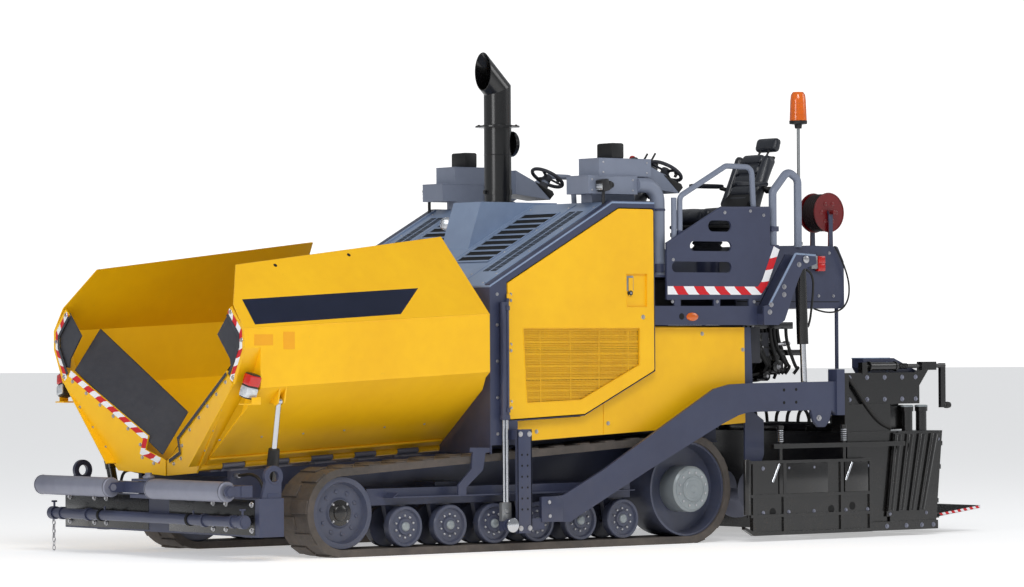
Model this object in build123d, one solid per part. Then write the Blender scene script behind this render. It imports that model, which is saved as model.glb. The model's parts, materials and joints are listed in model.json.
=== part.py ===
from build123d import *

import math
import os

# Tracked asphalt paver with a hopper at the front and an extending screed at the rear.
# Millimetres. X is forward, Y is to the left, Z is up. The origin is on the ground, under
# the middle of the machine. Left-hand pieces are modelled and mirrored for the right.

# Tracks
TRACK_OUTER_Y = 1100
TRACK_WIDTH = 356
TRACK_INNER_Y = TRACK_OUTER_Y - TRACK_WIDTH
BELT_THICKNESS = 53
DRIVE_X = -635
DRIVE_BELT_RADIUS = 403
IDLER_X = 2475
IDLER_BELT_RADIUS = 310
ROAD_WHEEL_RADIUS = 146
ROAD_WHEEL_FRONT_X = 1927
ROAD_WHEEL_PITCH = 392.3
ROAD_WHEEL_COUNT = 6
WHEEL_SEAT_GAP = 0.3
SEAT_CLEARANCE = 0.3
WHEEL_DISC_WIDTH = 70
WHEEL_EDGE_GAP = 20
AXLE_RADIUS = 34
AXLE_GAP = 0.3
TRACK_BEAM_WIDTH = 164
TRACK_BEAM_LOW_Z = 352
TRACK_BEAM_HIGH_Z = 470
BOGIE_PLATE_WIDTH = 44
HUB_RADIUS = 170
HUB_OUTER_Y = 1150

# Chassis
CHASSIS_SIDE_Y = 600
CHASSIS_PLATE = 40
CHASSIS_LOW_Z = 250
CHASSIS_FRONT_X = 3090
CHASSIS_REAR_X = -1180
CHASSIS_TOP_DROP = 40

# Front bumper and push rollers
BUMPER_HALF_WIDTH = 1269
BUMPER_REAR_X = 3096
BUMPER_FRONT_X = 3298
BUMPER_LOW_Z = 170
BUMPER_HIGH_Z = 435
BUMPER_PLATE = 12
BUMPER_BOX_INNER_Y = BUMPER_HALF_WIDTH - 201
PUSH_PIN_X = BUMPER_FRONT_X + 87
PUSH_PIN_RADIUS = 25
PUSH_BEAM_HALF_DEPTH = 45
PUSH_BEAM_HALF_HEIGHT = 40
ROLLER_REACH = 140
ROLLER_X = PUSH_PIN_X + ROLLER_REACH
ROLLER_Z = 486
ROLLER_RADIUS = 70
ROLLER_INNER_Y = 262
ROLLER_OUTER_Y = BUMPER_HALF_WIDTH - 47
ROLLER_SHAFT_RADIUS = 25
TOW_TUBE_X = BUMPER_FRONT_X + 114
TOW_TUBE_Z = 278
TOW_TUBE_RADIUS = 37
TUBE_CLAMP_YS = (BUMPER_HALF_WIDTH - 149, BUMPER_HALF_WIDTH * 0.6)
LIFT_EYE_X = BUMPER_REAR_X + 72
LIFT_EYE_Y = BUMPER_HALF_WIDTH - 27
LIFT_EYE_Z = 583
LIFT_EYE_RADIUS = 75
LIFT_EYE_HOLE_RADIUS = 37.5
LIFT_EYE_THICKNESS = 30

# Hopper
HINGE_Y = 530
HINGE_FRONT_X = 3310
HINGE_REAR_X = 1244
HINGE_FRONT_Z = 636
HINGE_SLOPE = 0.048
KNUCKLE_RADIUS = 24
KNUCKLE_COUNT = 11
KNUCKLE_GAP = 6
HINGE_PIN_RADIUS = 12
HINGE_PIN_GAP = 0.5
WING_SHEET = 10
WING_OUTER_Y = 1253
WING_LOWER_CREASE_Z = 553
WING_UPPER_CREASE_Z = 965
WING_TOP_Y = 815
WING_TOP_FRONT_X = 3240
WING_TOP_FRONT_Z = 2041
WING_TOP_REAR_X = 1415
WING_TOP_REAR_Z = 2256
WING_FRONT_X = 3400
WING_REAR_X = 1311
WING_POCKET_X = 3270
FLOOR_HALF_WIDTH = 500
FLOOR_DROP = 30
FLOOR_SHEET = 12
FLOOR_FRONT_X = 3190
SLAT_PITCH = 180
SLAT_HEIGHT = 26
APRON_TIP_X = 3223
APRON_SWEEP = 0.157
APRON_PLATE = 12
APRON_SPLIT_Y = 12

# Wing cylinders, square to the sloping hinge line
WING_PIN_X = 3069
WING_PIN_Y = 1173
WING_PIN_Z = 1100
WING_PIVOT_Y = 953
WING_PIVOT_Z = 212
WING_PIVOT_RADIUS = 12
WING_FOOT_RADIUS = 24
WING_FOOT_WIDTH = 64
WING_FOOT_GAP = 9
WING_BARREL_LENGTH = 454
WING_BARREL_RADIUS = 35
WING_ROD_RADIUS = 19
WING_ROD_LENGTH = 520
WING_EYE_RADIUS = 26
WING_EYE_WIDTH = 30
WING_LUG_GAP = 5.5
WING_LUG_PLATE = 12

# Body, doors and hood
BODY_OUTER_Y = 1128
BODY_SHEET = 12
BULKHEAD_X = 1217
BULKHEAD_TOP_Z = 1903
HOOD_TOP_Z = 2521
HOOD_TOP_FRONT_X = 93
BODY_REAR_X = -303
DOOR_GAP = 8
DOOR_THICKNESS = 20
DOOR_HINGE_X = 1066
DOOR_HINGE_Y = 1144
SIDE_PANEL_OUTER_Y = 1072
REAR_WALL_X = -1214
BODY_BASE_Z = 735
EXHAUST_X = 288
EXHAUST_RADIUS = 102
EXHAUST_WALL = 6
EXHAUST_BASE_Z = HOOD_TOP_Z + 20
EXHAUST_BEND_Z = 3388
EXHAUST_MOUTH_X = 421

# Operator station
BEAM_LOW_Z = 1616
BEAM_HIGH_Z = 1758
BEAM_REAR_X = -1290
FLOOR_Z = 1985
RAIL_RADIUS = 21
CONSOLE_TUBE_X = -427
CONSOLE_TUBE_RADIUS = 55
CONSOLE_TUBE_Y = 1010
CONSOLE_BASE_Z = HOOD_TOP_Z + 59
WHEEL_CENTRE = (-740, 725, HOOD_TOP_Z + 253)
WHEEL_RADIUS = 142
WHEEL_RIM_RADIUS = 14
WHEEL_TILT = 32
WHEEL_HUB_DEPTH = 35
SEAT_Y = 705

# Tow points, arms, lift cylinders and screed
TOW_PIN_X = 1117
TOW_PIN_Z = 190
TOW_PIN_RADIUS = 22
ARM_INNER_Y = 1190
ARM_OUTER_Y = 1215
LIFT_TOP_X = -1706
LIFT_TOP_Z = 2110
LIFT_LOW_X = -1740
LIFT_LOW_Z = 1130
LIFT_Y = 1140
LIFT_BARREL_RADIUS = 44
LIFT_ROD_RADIUS = 24
LIFT_BARREL_LENGTH = 640
AUGER_X = -1560
AUGER_Z = 330
AUGER_RADIUS = 180
AUGER_SHAFT_RADIUS = 45
AUGER_PITCH = 300
AUGER_INNER_Y = 90
AUGER_OUTER_Y = 1150
SCREED_FRONT_X = -2090
SCREED_MID_X = -2590
SCREED_REAR_X = -3060
SCREED_LOW_Z = 45
SCREED_TOP_Z = 800
SCREED_HALF_WIDTH = 1230
SCREED_SHEET = 12
EXTENSION_GAP = 15
GATE_INNER_Y = 1262
GATE_OUTER_Y = 1300
WALKWAY_HINGE_X = -3120
WALKWAY_REAR_X = -3595

CENTRE_LOW = (Align.CENTER, Align.CENTER, Align.MIN)

# Outlines (x, z), heights and counts of the door, hood, platform, hoses, arms and screed
WINDOW_OUTLINE = [(921, 1596), (-156, 1596), (-153, 1325), (395, 1074), (890, 1057)]
LATCH_X = (-227, -31)
LATCH_Z = (1749, 1993)
GRILLE_PITCH = 44
HINGE_HEIGHTS = (1010, 1420, 1780)
LOUVRE_COUNT = 9
PERFORATION_COUNT = 22
SIDE_OUTLINE = [
    (-416, 1803),
    (-419, 2216),
    (-943, 2489),
    (-1424, 2497),
    (-1421, 2215),
    (-1519, 2203),
    (-1328, 1811),
]
SIDE_SLOTS = [
    ((-1042, -818), (2312, 2395)),
    ((-1042, -642), (2166, 2238)),
    ((-1042, -467), (2007, 2087)),
]
HOSES = [
    (300, 1560, 1330, 60),
    (420, 1580, 1350, 120),
    (560, 1540, 1310, 90),
    (640, 1570, 1340, 90),
    (700, 1550, 1320, 60),
]
ARM_OUTLINE = [
    (828, 250),
    (828, 380),
    (629, 390),
    (260, 564),
    (-795, 1142),
    (-942, 1174),
    (-1137, 1181),
    (-1990, 1187),
    (-1990, 940),
    (-1949, 973),
    (-1924, 887),
    (-1880, 843),
    (-1815, 843),
    (-1767, 890),
    (-1741, 972),
    (-1135, 966),
    (-1031, 945),
    (-853, 874),
    (-166, 555),
    (567, 198),
    (810, 203),
    (828, 230),
]
SCREW_Z = 1298
COVER_LOW_Z = 1220
TUBE_XS = (-2740, -2900)
TUBE_Z = 560
TUBE_RADIUS = 45
TUBE_GAP = 0.3
EXTENSION_RIBS = 4
GATE_ROD_XS = (-1379, -2010)
GATE_ROD_RADIUS = 14


def block(x, y, z):
    """A box between two corners, each range given as (low, high)."""
    size = (x[1] - x[0], y[1] - y[0], z[1] - z[0])
    middle = ((x[0] + x[1]) / 2, (y[0] + y[1]) / 2, (z[0] + z[1]) / 2)
    return Pos(*middle) * Box(*size)


def plate_xz(points, y):
    """A side profile of (x, z) points, drawn out along Y between y[0] and y[1]."""
    outline = Polyline(*[(px, y[0], pz) for px, pz in points], close=True)
    return extrude(make_face(outline), amount=y[1] - y[0], dir=(0, 1, 0))


def plate_yz(points, x):
    """A front profile of (y, z) points, drawn out along X between x[0] and x[1]."""
    outline = Polyline(*[(x[0], py, pz) for py, pz in points], close=True)
    return extrude(make_face(outline), amount=x[1] - x[0], dir=(1, 0, 0))


def rod(start, end, radius):
    """A round bar between two points."""
    line = Vector(*end) - Vector(*start)
    return Plane(origin=start, z_dir=line) * Cylinder(radius, line.length, align=CENTRE_LOW)


def rod_y(x, z, radius, y):
    """A round bar along Y."""
    return rod((x, y[0], z), (x, y[1], z), radius)


def rod_z(x, y, radius, z):
    """A round bar along Z."""
    return rod((x, y, z[0]), (x, y, z[1]), radius)


def turned_y(x, z, profile):
    """A turned piece on an axle along Y, from (y, radius) points."""
    first, last = profile[0][0], profile[-1][0]
    points = [(0, first)] + [(radius, y) for y, radius in profile] + [(0, last)]
    return Pos(x, 0, z) * revolve(make_face(Polyline(*points, close=True)), axis=Axis.Y)


def bent_tube(points, radius, bend):
    """A tube along straight runs with round corners."""
    path = FilletPolyline(*points, radius=bend)
    return sweep(Plane(origin=path @ 0, z_dir=path % 0) * Circle(radius), path=path)


def mirrored(shape):
    """The same piece for the right-hand side."""
    return mirror(shape, about=Plane.XZ)


def pair(shape):
    """The left piece with its right-hand twin, as solids that don't touch."""
    return Part() + [shape, mirrored(shape)]


def hinge_z(x):
    """Height of the sloping wing hinge line."""
    return HINGE_FRONT_Z + (HINGE_FRONT_X - x) * HINGE_SLOPE


def hood_line(x):
    """Height of the hood's top surface."""
    slope = (HOOD_TOP_Z - BULKHEAD_TOP_Z) / (BULKHEAD_X - HOOD_TOP_FRONT_X)
    return HOOD_TOP_Z - max(0, x - HOOD_TOP_FRONT_X) * slope


def wing_cylinder_frame(at_pin):
    """Frame on the wing cylinder's foot or pin: Z along the cylinder, X along the hinge."""
    foot_x = WING_PIN_X - (WING_PIN_Z - WING_PIVOT_Z) * HINGE_SLOPE
    foot = Vector(foot_x, WING_PIVOT_Y, WING_PIVOT_Z)
    pin = Vector(WING_PIN_X, WING_PIN_Y, WING_PIN_Z)
    return Plane(origin=pin if at_pin else foot, x_dir=(1, 0, -HINGE_SLOPE), z_dir=pin - foot)


def cross_pin(radius, width):
    """A round bar across a cylinder's own frame, centred on it."""
    return Rot(0, 90, 0) * Cylinder(radius, width)


def belt_outline(inset):
    """The face inside the belt loop, brought in by inset from the outer surface."""
    rear_r = DRIVE_BELT_RADIUS - inset
    front_r = IDLER_BELT_RADIUS - inset
    span_x = IDLER_X - DRIVE_X
    span_z = IDLER_BELT_RADIUS - DRIVE_BELT_RADIUS
    span = math.hypot(span_x, span_z)
    lean = math.atan2(span_z, span_x) + math.acos((rear_r - front_r) / span)
    up_x, up_z = math.cos(lean), math.sin(lean)
    rear_low = (DRIVE_X, 0, inset)
    front_low = (IDLER_X, 0, inset)
    rear_top = (DRIVE_X + rear_r * up_x, 0, DRIVE_BELT_RADIUS + rear_r * up_z)
    front_top = (IDLER_X + front_r * up_x, 0, IDLER_BELT_RADIUS + front_r * up_z)
    rear_end = (DRIVE_X - rear_r, 0, DRIVE_BELT_RADIUS)
    front_end = (IDLER_X + front_r, 0, IDLER_BELT_RADIUS)
    edges = [
        Line(rear_low, front_low),
        ThreePointArc(front_low, front_end, front_top),
        Line(front_top, rear_top),
        ThreePointArc(rear_top, rear_end, rear_low),
    ]
    return make_face(edges)


def make_track_belts():
    """Endless rubber belts, one each side."""
    loop = belt_outline(0) - belt_outline(BELT_THICKNESS)
    belt = extrude(loop, amount=TRACK_WIDTH, dir=(0, 1, 0))
    return pair(Pos(0, TRACK_INNER_Y, 0) * belt)


def wheel_pair(x, z, radius, dish):
    """Two discs on one axle, rolling on the belt with the guide gap between them."""
    inner = TRACK_INNER_Y + WHEEL_EDGE_GAP
    outer = TRACK_OUTER_Y - WHEEL_EDGE_GAP
    hub = radius * 0.42
    neck = AXLE_RADIUS
    profile = [
        (inner, radius * 0.8),
        (inner + 8, radius - 4),
        (inner + 12, radius),
        (inner + WHEEL_DISC_WIDTH, radius),
        (inner + WHEEL_DISC_WIDTH, neck),
        (outer - WHEEL_DISC_WIDTH, neck),
        (outer - WHEEL_DISC_WIDTH, radius),
        (outer - 12, radius),
        (outer - 4, radius - 6),
        (outer - 4, radius * 0.84),
        (outer - dish, radius * 0.78),
        (outer - dish, hub),
        (outer - dish + 14, hub * 0.9),
        (outer - dish + 14, hub * 0.5),
        (outer - dish + 26, hub * 0.4),
    ]
    return turned_y(x, z, profile)


def make_road_wheels():
    """The front idler and the six road wheels of each side."""
    seat = BELT_THICKNESS + WHEEL_SEAT_GAP
    idler = wheel_pair(IDLER_X, IDLER_BELT_RADIUS, IDLER_BELT_RADIUS - seat, 46)
    wheels = [idler]
    for index in range(ROAD_WHEEL_COUNT):
        x = ROAD_WHEEL_FRONT_X - index * ROAD_WHEEL_PITCH
        wheels.append(wheel_pair(x, seat + ROAD_WHEEL_RADIUS, ROAD_WHEEL_RADIUS, 24))
    return Part() + wheels + [mirrored(wheel) for wheel in wheels]


def make_drive_wheels():
    """Rear drive wheels with a deep rim."""
    radius = DRIVE_BELT_RADIUS - BELT_THICKNESS - WHEEL_SEAT_GAP
    inner = TRACK_INNER_Y + WHEEL_EDGE_GAP
    outer = TRACK_OUTER_Y - WHEEL_EDGE_GAP
    bore = HUB_RADIUS + 1
    wall = 16
    ring = [
        (inner, radius),
        (outer, radius),
        (outer, radius - wall),
        (outer - 110, radius - wall - 14),
        (outer - 110, bore),
        (outer - 134, bore),
        (outer - 134, radius - wall - 14),
        (inner, radius - wall),
    ]
    outline = Polyline(*[(r, y) for y, r in ring], close=True)
    wheel = revolve(make_face(outline), axis=Axis.Y)
    return pair(Pos(DRIVE_X, 0, DRIVE_BELT_RADIUS) * wheel)


def make_final_drives():
    """Planetary hubs that carry the drive wheels, from the chassis side out to the cover."""
    outer = TRACK_OUTER_Y - WHEEL_EDGE_GAP
    profile = [
        (CHASSIS_SIDE_Y, 150),
        (TRACK_INNER_Y + 40, 150),
        (TRACK_INNER_Y + 60, 190),
        (outer - 135, 190),
        (outer - 135, HUB_RADIUS),
        (HUB_OUTER_Y - 24, HUB_RADIUS),
        (HUB_OUTER_Y - 8, HUB_RADIUS - 14),
        (HUB_OUTER_Y - 8, 92),
        (HUB_OUTER_Y, 88),
    ]
    return pair(turned_y(DRIVE_X, DRIVE_BELT_RADIUS, profile))


def make_track_frames():
    """Beam inside each belt with its hanging wheel plates, idler arm and side shelf."""
    middle = (TRACK_OUTER_Y + TRACK_INNER_Y) / 2
    beam_y = (middle - TRACK_BEAM_WIDTH / 2, middle + TRACK_BEAM_WIDTH / 2)
    plate_y = (middle - BOGIE_PLATE_WIDTH / 2, middle + BOGIE_PLATE_WIDTH / 2)
    last_x = ROAD_WHEEL_FRONT_X - (ROAD_WHEEL_COUNT - 1) * ROAD_WHEEL_PITCH
    beam_end = ROAD_WHEEL_FRONT_X + 290
    wheel_z = BELT_THICKNESS + WHEEL_SEAT_GAP + ROAD_WHEEL_RADIUS
    frame = block((last_x - 120, beam_end), beam_y, (TRACK_BEAM_LOW_Z, TRACK_BEAM_HIGH_Z))
    arm = [
        (beam_end - 60, TRACK_BEAM_LOW_Z),
        (beam_end - 60, TRACK_BEAM_HIGH_Z),
        (IDLER_X, IDLER_BELT_RADIUS + 60),
        (IDLER_X + 70, IDLER_BELT_RADIUS),
        (IDLER_X, IDLER_BELT_RADIUS - 60),
    ]
    frame += plate_xz(arm, plate_y)
    frame -= rod_y(IDLER_X, IDLER_BELT_RADIUS, AXLE_RADIUS + AXLE_GAP, (plate_y[0] - 1, plate_y[1] + 1))
    for index in range(ROAD_WHEEL_COUNT):
        x = ROAD_WHEEL_FRONT_X - index * ROAD_WHEEL_PITCH
        leg = [
            (x - 90, TRACK_BEAM_LOW_Z + 1),
            (x + 90, TRACK_BEAM_LOW_Z + 1),
            (x + 48, wheel_z - 48),
            (x - 48, wheel_z - 48),
        ]
        frame += plate_xz(leg, plate_y)
        frame -= rod_y(x, wheel_z, AXLE_RADIUS + AXLE_GAP, (plate_y[0] - 1, plate_y[1] + 1))
    shelf = [
        (-105, 405),
        (2075, 405),
        (2030, 440),
        (2022, 440),
        (2060, 413),
        (-105, 413),
    ]
    frame += plate_xz(shelf, (beam_y[1] - 1, TRACK_OUTER_Y + 24))
    crank = [
        (1394, 747),
        (BULKHEAD_X + WHEEL_SEAT_GAP, 743),
        (BULKHEAD_X + WHEEL_SEAT_GAP, 710),
        (1258, 706),
        (1280, 586),
        (1430, 464),
        (1430, 406),
        (1500, 406),
        (1500, 484),
        (1382, 594),
        (1370, 713),
        (1394, 714),
    ]
    frame += plate_xz(crank, (TRACK_OUTER_Y + 5, TRACK_OUTER_Y + 23))
    frame += block(
        (1240, 1500), (CHASSIS_SIDE_Y, beam_y[0] + 1), (TRACK_BEAM_LOW_Z + 20, TRACK_BEAM_HIGH_Z + 30)
    )
    return pair(frame)


def make_chassis_frame():
    """Two long side plates between the tracks, joined by cross beams."""
    inner = CHASSIS_SIDE_Y - CHASSIS_PLATE
    top_front = hinge_z(CHASSIS_FRONT_X) - CHASSIS_TOP_DROP
    top_rear = hinge_z(BULKHEAD_X) - CHASSIS_TOP_DROP
    side = [
        (CHASSIS_REAR_X, CHASSIS_LOW_Z + 180),
        (CHASSIS_REAR_X + 160, CHASSIS_LOW_Z),
        (CHASSIS_FRONT_X, CHASSIS_LOW_Z),
        (CHASSIS_FRONT_X, top_front),
        (BULKHEAD_X - BODY_SHEET - WHEEL_SEAT_GAP, top_rear),
        (BULKHEAD_X - BODY_SHEET - WHEEL_SEAT_GAP, BODY_BASE_Z - WHEEL_SEAT_GAP),
        (CHASSIS_REAR_X, BODY_BASE_Z - WHEEL_SEAT_GAP),
    ]
    plate = plate_xz(side, (inner, CHASSIS_SIDE_Y))
    frame = Part() + [plate, mirrored(plate)]
    for x in (CHASSIS_FRONT_X - 160, 1290, 200, CHASSIS_REAR_X + 30):
        frame += block((x, x + 130), (-inner - 1, inner + 1), (CHASSIS_LOW_Z + 200, CHASSIS_LOW_Z + 310))
    nose = block((CHASSIS_FRONT_X - 160, BUMPER_REAR_X), (-CHASSIS_SIDE_Y, CHASSIS_SIDE_Y), (260, 420))
    return frame + nose


def make_front_bumper():
    """Bumper plate with open end boxes, tow tube, lift eyes and the push beam's clevis.

    The seats of the wing cylinders are bolted on under its shelf.
    """
    front = block(
        (BUMPER_FRONT_X - BUMPER_PLATE, BUMPER_FRONT_X),
        (-BUMPER_HALF_WIDTH, BUMPER_HALF_WIDTH),
        (BUMPER_LOW_Z, BUMPER_HIGH_Z),
    )
    deep = (BUMPER_REAR_X, BUMPER_FRONT_X)
    tall = (BUMPER_LOW_Z, BUMPER_HIGH_Z)
    outer = block(deep, (BUMPER_HALF_WIDTH - BUMPER_PLATE, BUMPER_HALF_WIDTH), tall)
    inner = block(deep, (BUMPER_BOX_INNER_Y, BUMPER_BOX_INNER_Y + BUMPER_PLATE), tall)
    shelf_z = (BUMPER_LOW_Z, BUMPER_LOW_Z + BUMPER_PLATE)
    shelf = block(deep, (-BUMPER_HALF_WIDTH, BUMPER_HALF_WIDTH), shelf_z)
    bumper = front + shelf
    bumper += [outer, inner, mirrored(outer), mirrored(inner)]
    bumper += block(deep, (-CHASSIS_SIDE_Y, CHASSIS_SIDE_Y), (260, 420))

    frame = wing_cylinder_frame(at_pin=False)
    cheek = WING_FOOT_WIDTH / 2 + WING_FOOT_GAP
    seat = frame * cross_pin(WING_PIVOT_RADIUS, 2 * cheek + 20)
    base_z = (BUMPER_LOW_Z - SEAT_CLEARANCE - BUMPER_PLATE, BUMPER_LOW_Z - SEAT_CLEARANCE)
    cheek_y = (WING_PIVOT_Y - 30, WING_PIVOT_Y + 30)
    cheek_z = (base_z[1] - 1, WING_PIVOT_Z + 24)
    for x in (frame.origin.X - cheek - BUMPER_PLATE, frame.origin.X + cheek):
        seat += block((x, x + BUMPER_PLATE), cheek_y, cheek_z)
    base_x = (frame.origin.X - cheek - 24, BUMPER_REAR_X + 90)
    seat += block(base_x, (WING_PIVOT_Y - 60, WING_PIVOT_Y + 60), base_z)
    bumper += [seat, mirrored(seat)]

    eye_y = (LIFT_EYE_Y - LIFT_EYE_THICKNESS / 2, LIFT_EYE_Y + LIFT_EYE_THICKNESS / 2)
    eye = rod_y(LIFT_EYE_X, LIFT_EYE_Z, LIFT_EYE_RADIUS, eye_y)
    foot = [
        (LIFT_EYE_X - 60, BUMPER_HIGH_Z - 60),
        (LIFT_EYE_X + 100, BUMPER_HIGH_Z - 60),
        (LIFT_EYE_X + 100, BUMPER_HIGH_Z),
        (LIFT_EYE_X + 62, LIFT_EYE_Z - 20),
        (LIFT_EYE_X - 62, LIFT_EYE_Z - 20),
    ]
    eye += plate_xz(foot, eye_y)
    eye -= rod_y(LIFT_EYE_X, LIFT_EYE_Z, LIFT_EYE_HOLE_RADIUS, (eye_y[0] - 1, eye_y[1] + 1))
    bumper += [eye, mirrored(eye)]

    tube_y = (-BUMPER_HALF_WIDTH, BUMPER_HALF_WIDTH)
    bumper += rod_y(TOW_TUBE_X, TOW_TUBE_Z, TOW_TUBE_RADIUS, tube_y)
    for y in TUBE_CLAMP_YS:
        clamp = block(
            (BUMPER_FRONT_X - 1, TOW_TUBE_X), (y - 15, y + 15), (TOW_TUBE_Z - 30, TOW_TUBE_Z + 30)
        )
        clamp += rod_y(TOW_TUBE_X, TOW_TUBE_Z, TOW_TUBE_RADIUS + 9, (y - 18, y + 18))
        bumper += [clamp, mirrored(clamp)]

    beam_low = ROLLER_Z - PUSH_BEAM_HALF_HEIGHT
    beam_high = ROLLER_Z + PUSH_BEAM_HALF_HEIGHT
    clevis_x = (BUMPER_FRONT_X - 1, PUSH_PIN_X + 60)
    bumper += block(clevis_x, (-150, 150), (beam_low - 34, beam_low - 6))
    bumper += block((BUMPER_FRONT_X - 36, PUSH_PIN_X + 60), (-130, 130), (beam_high + 6, beam_high + 22))
    bumper += block(
        (BUMPER_FRONT_X - 36, BUMPER_FRONT_X + 10), (-100, 100), (beam_low - 34, beam_high + 22)
    )
    return bumper + rod_z(PUSH_PIN_X, 0, PUSH_PIN_RADIUS, (beam_low - 20, beam_high + 14))


def make_push_beam():
    """Swinging beam on the centre pin, with the brackets of both rollers."""
    low, high = ROLLER_Z - PUSH_BEAM_HALF_HEIGHT, ROLLER_Z + PUSH_BEAM_HALF_HEIGHT
    half = ROLLER_OUTER_Y + 28
    beam_x = (PUSH_PIN_X - PUSH_BEAM_HALF_DEPTH, PUSH_PIN_X + PUSH_BEAM_HALF_DEPTH)
    beam = block(beam_x, (-half, half), (low, high))
    beam -= rod_z(PUSH_PIN_X, 0, PUSH_PIN_RADIUS + AXLE_GAP, (low - 1, high + 1))
    lug = [
        (beam_x[1] - 5, low),
        (ROLLER_X + 10, low + 8),
        (ROLLER_X + 34, ROLLER_Z),
        (ROLLER_X + 10, high - 8),
        (beam_x[1] - 5, high),
    ]
    for y in (ROLLER_INNER_Y - 22, ROLLER_OUTER_Y + 6):
        bracket = plate_xz(lug, (y, y + 16))
        beam += [bracket, mirrored(bracket)]
    shaft_y = (ROLLER_INNER_Y - 23, ROLLER_OUTER_Y + 23)
    bore = rod_y(ROLLER_X, ROLLER_Z, ROLLER_SHAFT_RADIUS + AXLE_GAP, shaft_y)
    return beam - [bore, mirrored(bore)]


def make_push_roller():
    """Steel roller with its shaft ends in the brackets."""
    tip = 20
    profile = [
        (ROLLER_INNER_Y - tip, ROLLER_SHAFT_RADIUS),
        (ROLLER_INNER_Y, ROLLER_SHAFT_RADIUS),
        (ROLLER_INNER_Y, ROLLER_RADIUS - 6),
        (ROLLER_INNER_Y + 6, ROLLER_RADIUS),
        (ROLLER_OUTER_Y - 6, ROLLER_RADIUS),
        (ROLLER_OUTER_Y, ROLLER_RADIUS - 6),
        (ROLLER_OUTER_Y, ROLLER_SHAFT_RADIUS),
        (ROLLER_OUTER_Y + tip, ROLLER_SHAFT_RADIUS),
    ]
    return turned_y(ROLLER_X, ROLLER_Z, profile)


def knuckle_spans():
    """The x ranges of the hinge knuckles, front to rear, with a gap between them."""
    length = (HINGE_FRONT_X - HINGE_REAR_X) / KNUCKLE_COUNT
    spans = []
    for index in range(KNUCKLE_COUNT):
        front = HINGE_FRONT_X - index * length
        spans.append((front - KNUCKLE_GAP / 2, front - length + KNUCKLE_GAP / 2))
    return spans


def hinge_bar(x, radius):
    """A round bar on the sloping hinge line, between two x values."""
    return rod((x[0], HINGE_Y, hinge_z(x[0])), (x[1], HINGE_Y, hinge_z(x[1])), radius)


def sloped_plate(x, y, drop):
    """A sheet that follows the hinge slope, drop[0] to drop[1] below the hinge line."""
    points = [
        (x[0], hinge_z(x[0]) - drop[1]),
        (x[1], hinge_z(x[1]) - drop[1]),
        (x[1], hinge_z(x[1]) - drop[0]),
        (x[0], hinge_z(x[0]) - drop[0]),
    ]
    return plate_xz(points, y)


def make_hopper_floor():
    """Fixed floor of the hopper with its hinge knuckles, pins and centre ridge."""
    floor = sloped_plate(
        (BULKHEAD_X, FLOOR_FRONT_X),
        (-FLOOR_HALF_WIDTH, FLOOR_HALF_WIDTH),
        (FLOOR_DROP, FLOOR_DROP + FLOOR_SHEET),
    )
    for index, span in enumerate(knuckle_spans()):
        if index % 2 == 1:
            inner_y = FLOOR_HALF_WIDTH - 20
            web = sloped_plate((span[1], span[0]), (inner_y, HINGE_Y), (8, FLOOR_DROP + FLOOR_SHEET))
            seat_y = (inner_y, CHASSIS_SIDE_Y - 10)
            seat_x = (span[1], min(span[0], CHASSIS_FRONT_X - 2))
            seat = sloped_plate(seat_x, seat_y, (FLOOR_DROP, CHASSIS_TOP_DROP - WHEEL_SEAT_GAP))
            knuckle = hinge_bar(span, KNUCKLE_RADIUS) + web + seat
            floor += [knuckle, mirrored(knuckle)]
    pin = hinge_bar((HINGE_FRONT_X - 10, HINGE_REAR_X + 10), HINGE_PIN_RADIUS)
    floor += [pin, mirrored(pin)]
    ridge = [(-44, 0), (-14, 52), (14, 52), (44, 0)]
    base = [(FLOOR_FRONT_X, y, hinge_z(FLOOR_FRONT_X) - FLOOR_DROP + z) for y, z in ridge]
    face = make_face(Polyline(*base, close=True))
    length = FLOOR_FRONT_X - BULKHEAD_X
    return floor + extrude(face, amount=math.hypot(length, length * HINGE_SLOPE), dir=(-1, 0, HINGE_SLOPE))


def make_conveyor():
    """Slat bars on two chains each side of the ridge, lying on the hopper floor."""
    bars = Part()
    chain_y = (70, 430)
    span = (BULKHEAD_X + 20, FLOOR_FRONT_X - 30)
    for y in chain_y:
        bars += sloped_plate(span, (y, y + 22), (FLOOR_DROP - 14, FLOOR_DROP - WHEEL_SEAT_GAP))
    count = int((span[1] - span[0]) // SLAT_PITCH)
    for index in range(count + 1):
        x = span[1] - 30 - index * SLAT_PITCH
        bars += sloped_plate((x - 26, x), (58, 466), (FLOOR_DROP - SLAT_HEIGHT, FLOOR_DROP - 4))
    return pair(bars)


def wing_wall(outer, x, height):
    """Folded sheet that follows (y, rise) points above the hinge, along the slope."""
    start = [(x[0], y, hinge_z(x[0]) + rise) for y, rise in outer]
    inner = [(y - ny, rise - nz) for (y, rise), (ny, nz) in zip(outer, height)]
    back = [(x[0], y, hinge_z(x[0]) + rise) for y, rise in reversed(inner)]
    face = make_face(Polyline(*start, *back, close=True))
    length = x[1] - x[0]
    return extrude(face, amount=math.hypot(length, length * HINGE_SLOPE), dir=(1, 0, -HINGE_SLOPE))


def folded_sheet(outer, thickness):
    """The inward steps from each point of a folded line to the sheet's other face."""
    steps = []
    for index in range(len(outer)):
        here = outer[index]
        before = outer[max(index - 1, 0)]
        after = outer[min(index + 1, len(outer) - 1)]
        normals = []
        for a, b in ((before, here), (here, after)):
            length = math.hypot(b[0] - a[0], b[1] - a[1])
            if length > 0:
                normals.append(((b[1] - a[1]) / length, -(b[0] - a[0]) / length))
        ny = sum(n[0] for n in normals) / len(normals)
        nz = sum(n[1] for n in normals) / len(normals)
        scale = thickness / (ny * ny + nz * nz)
        steps.append((ny * scale, nz * scale))
    return steps


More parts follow.
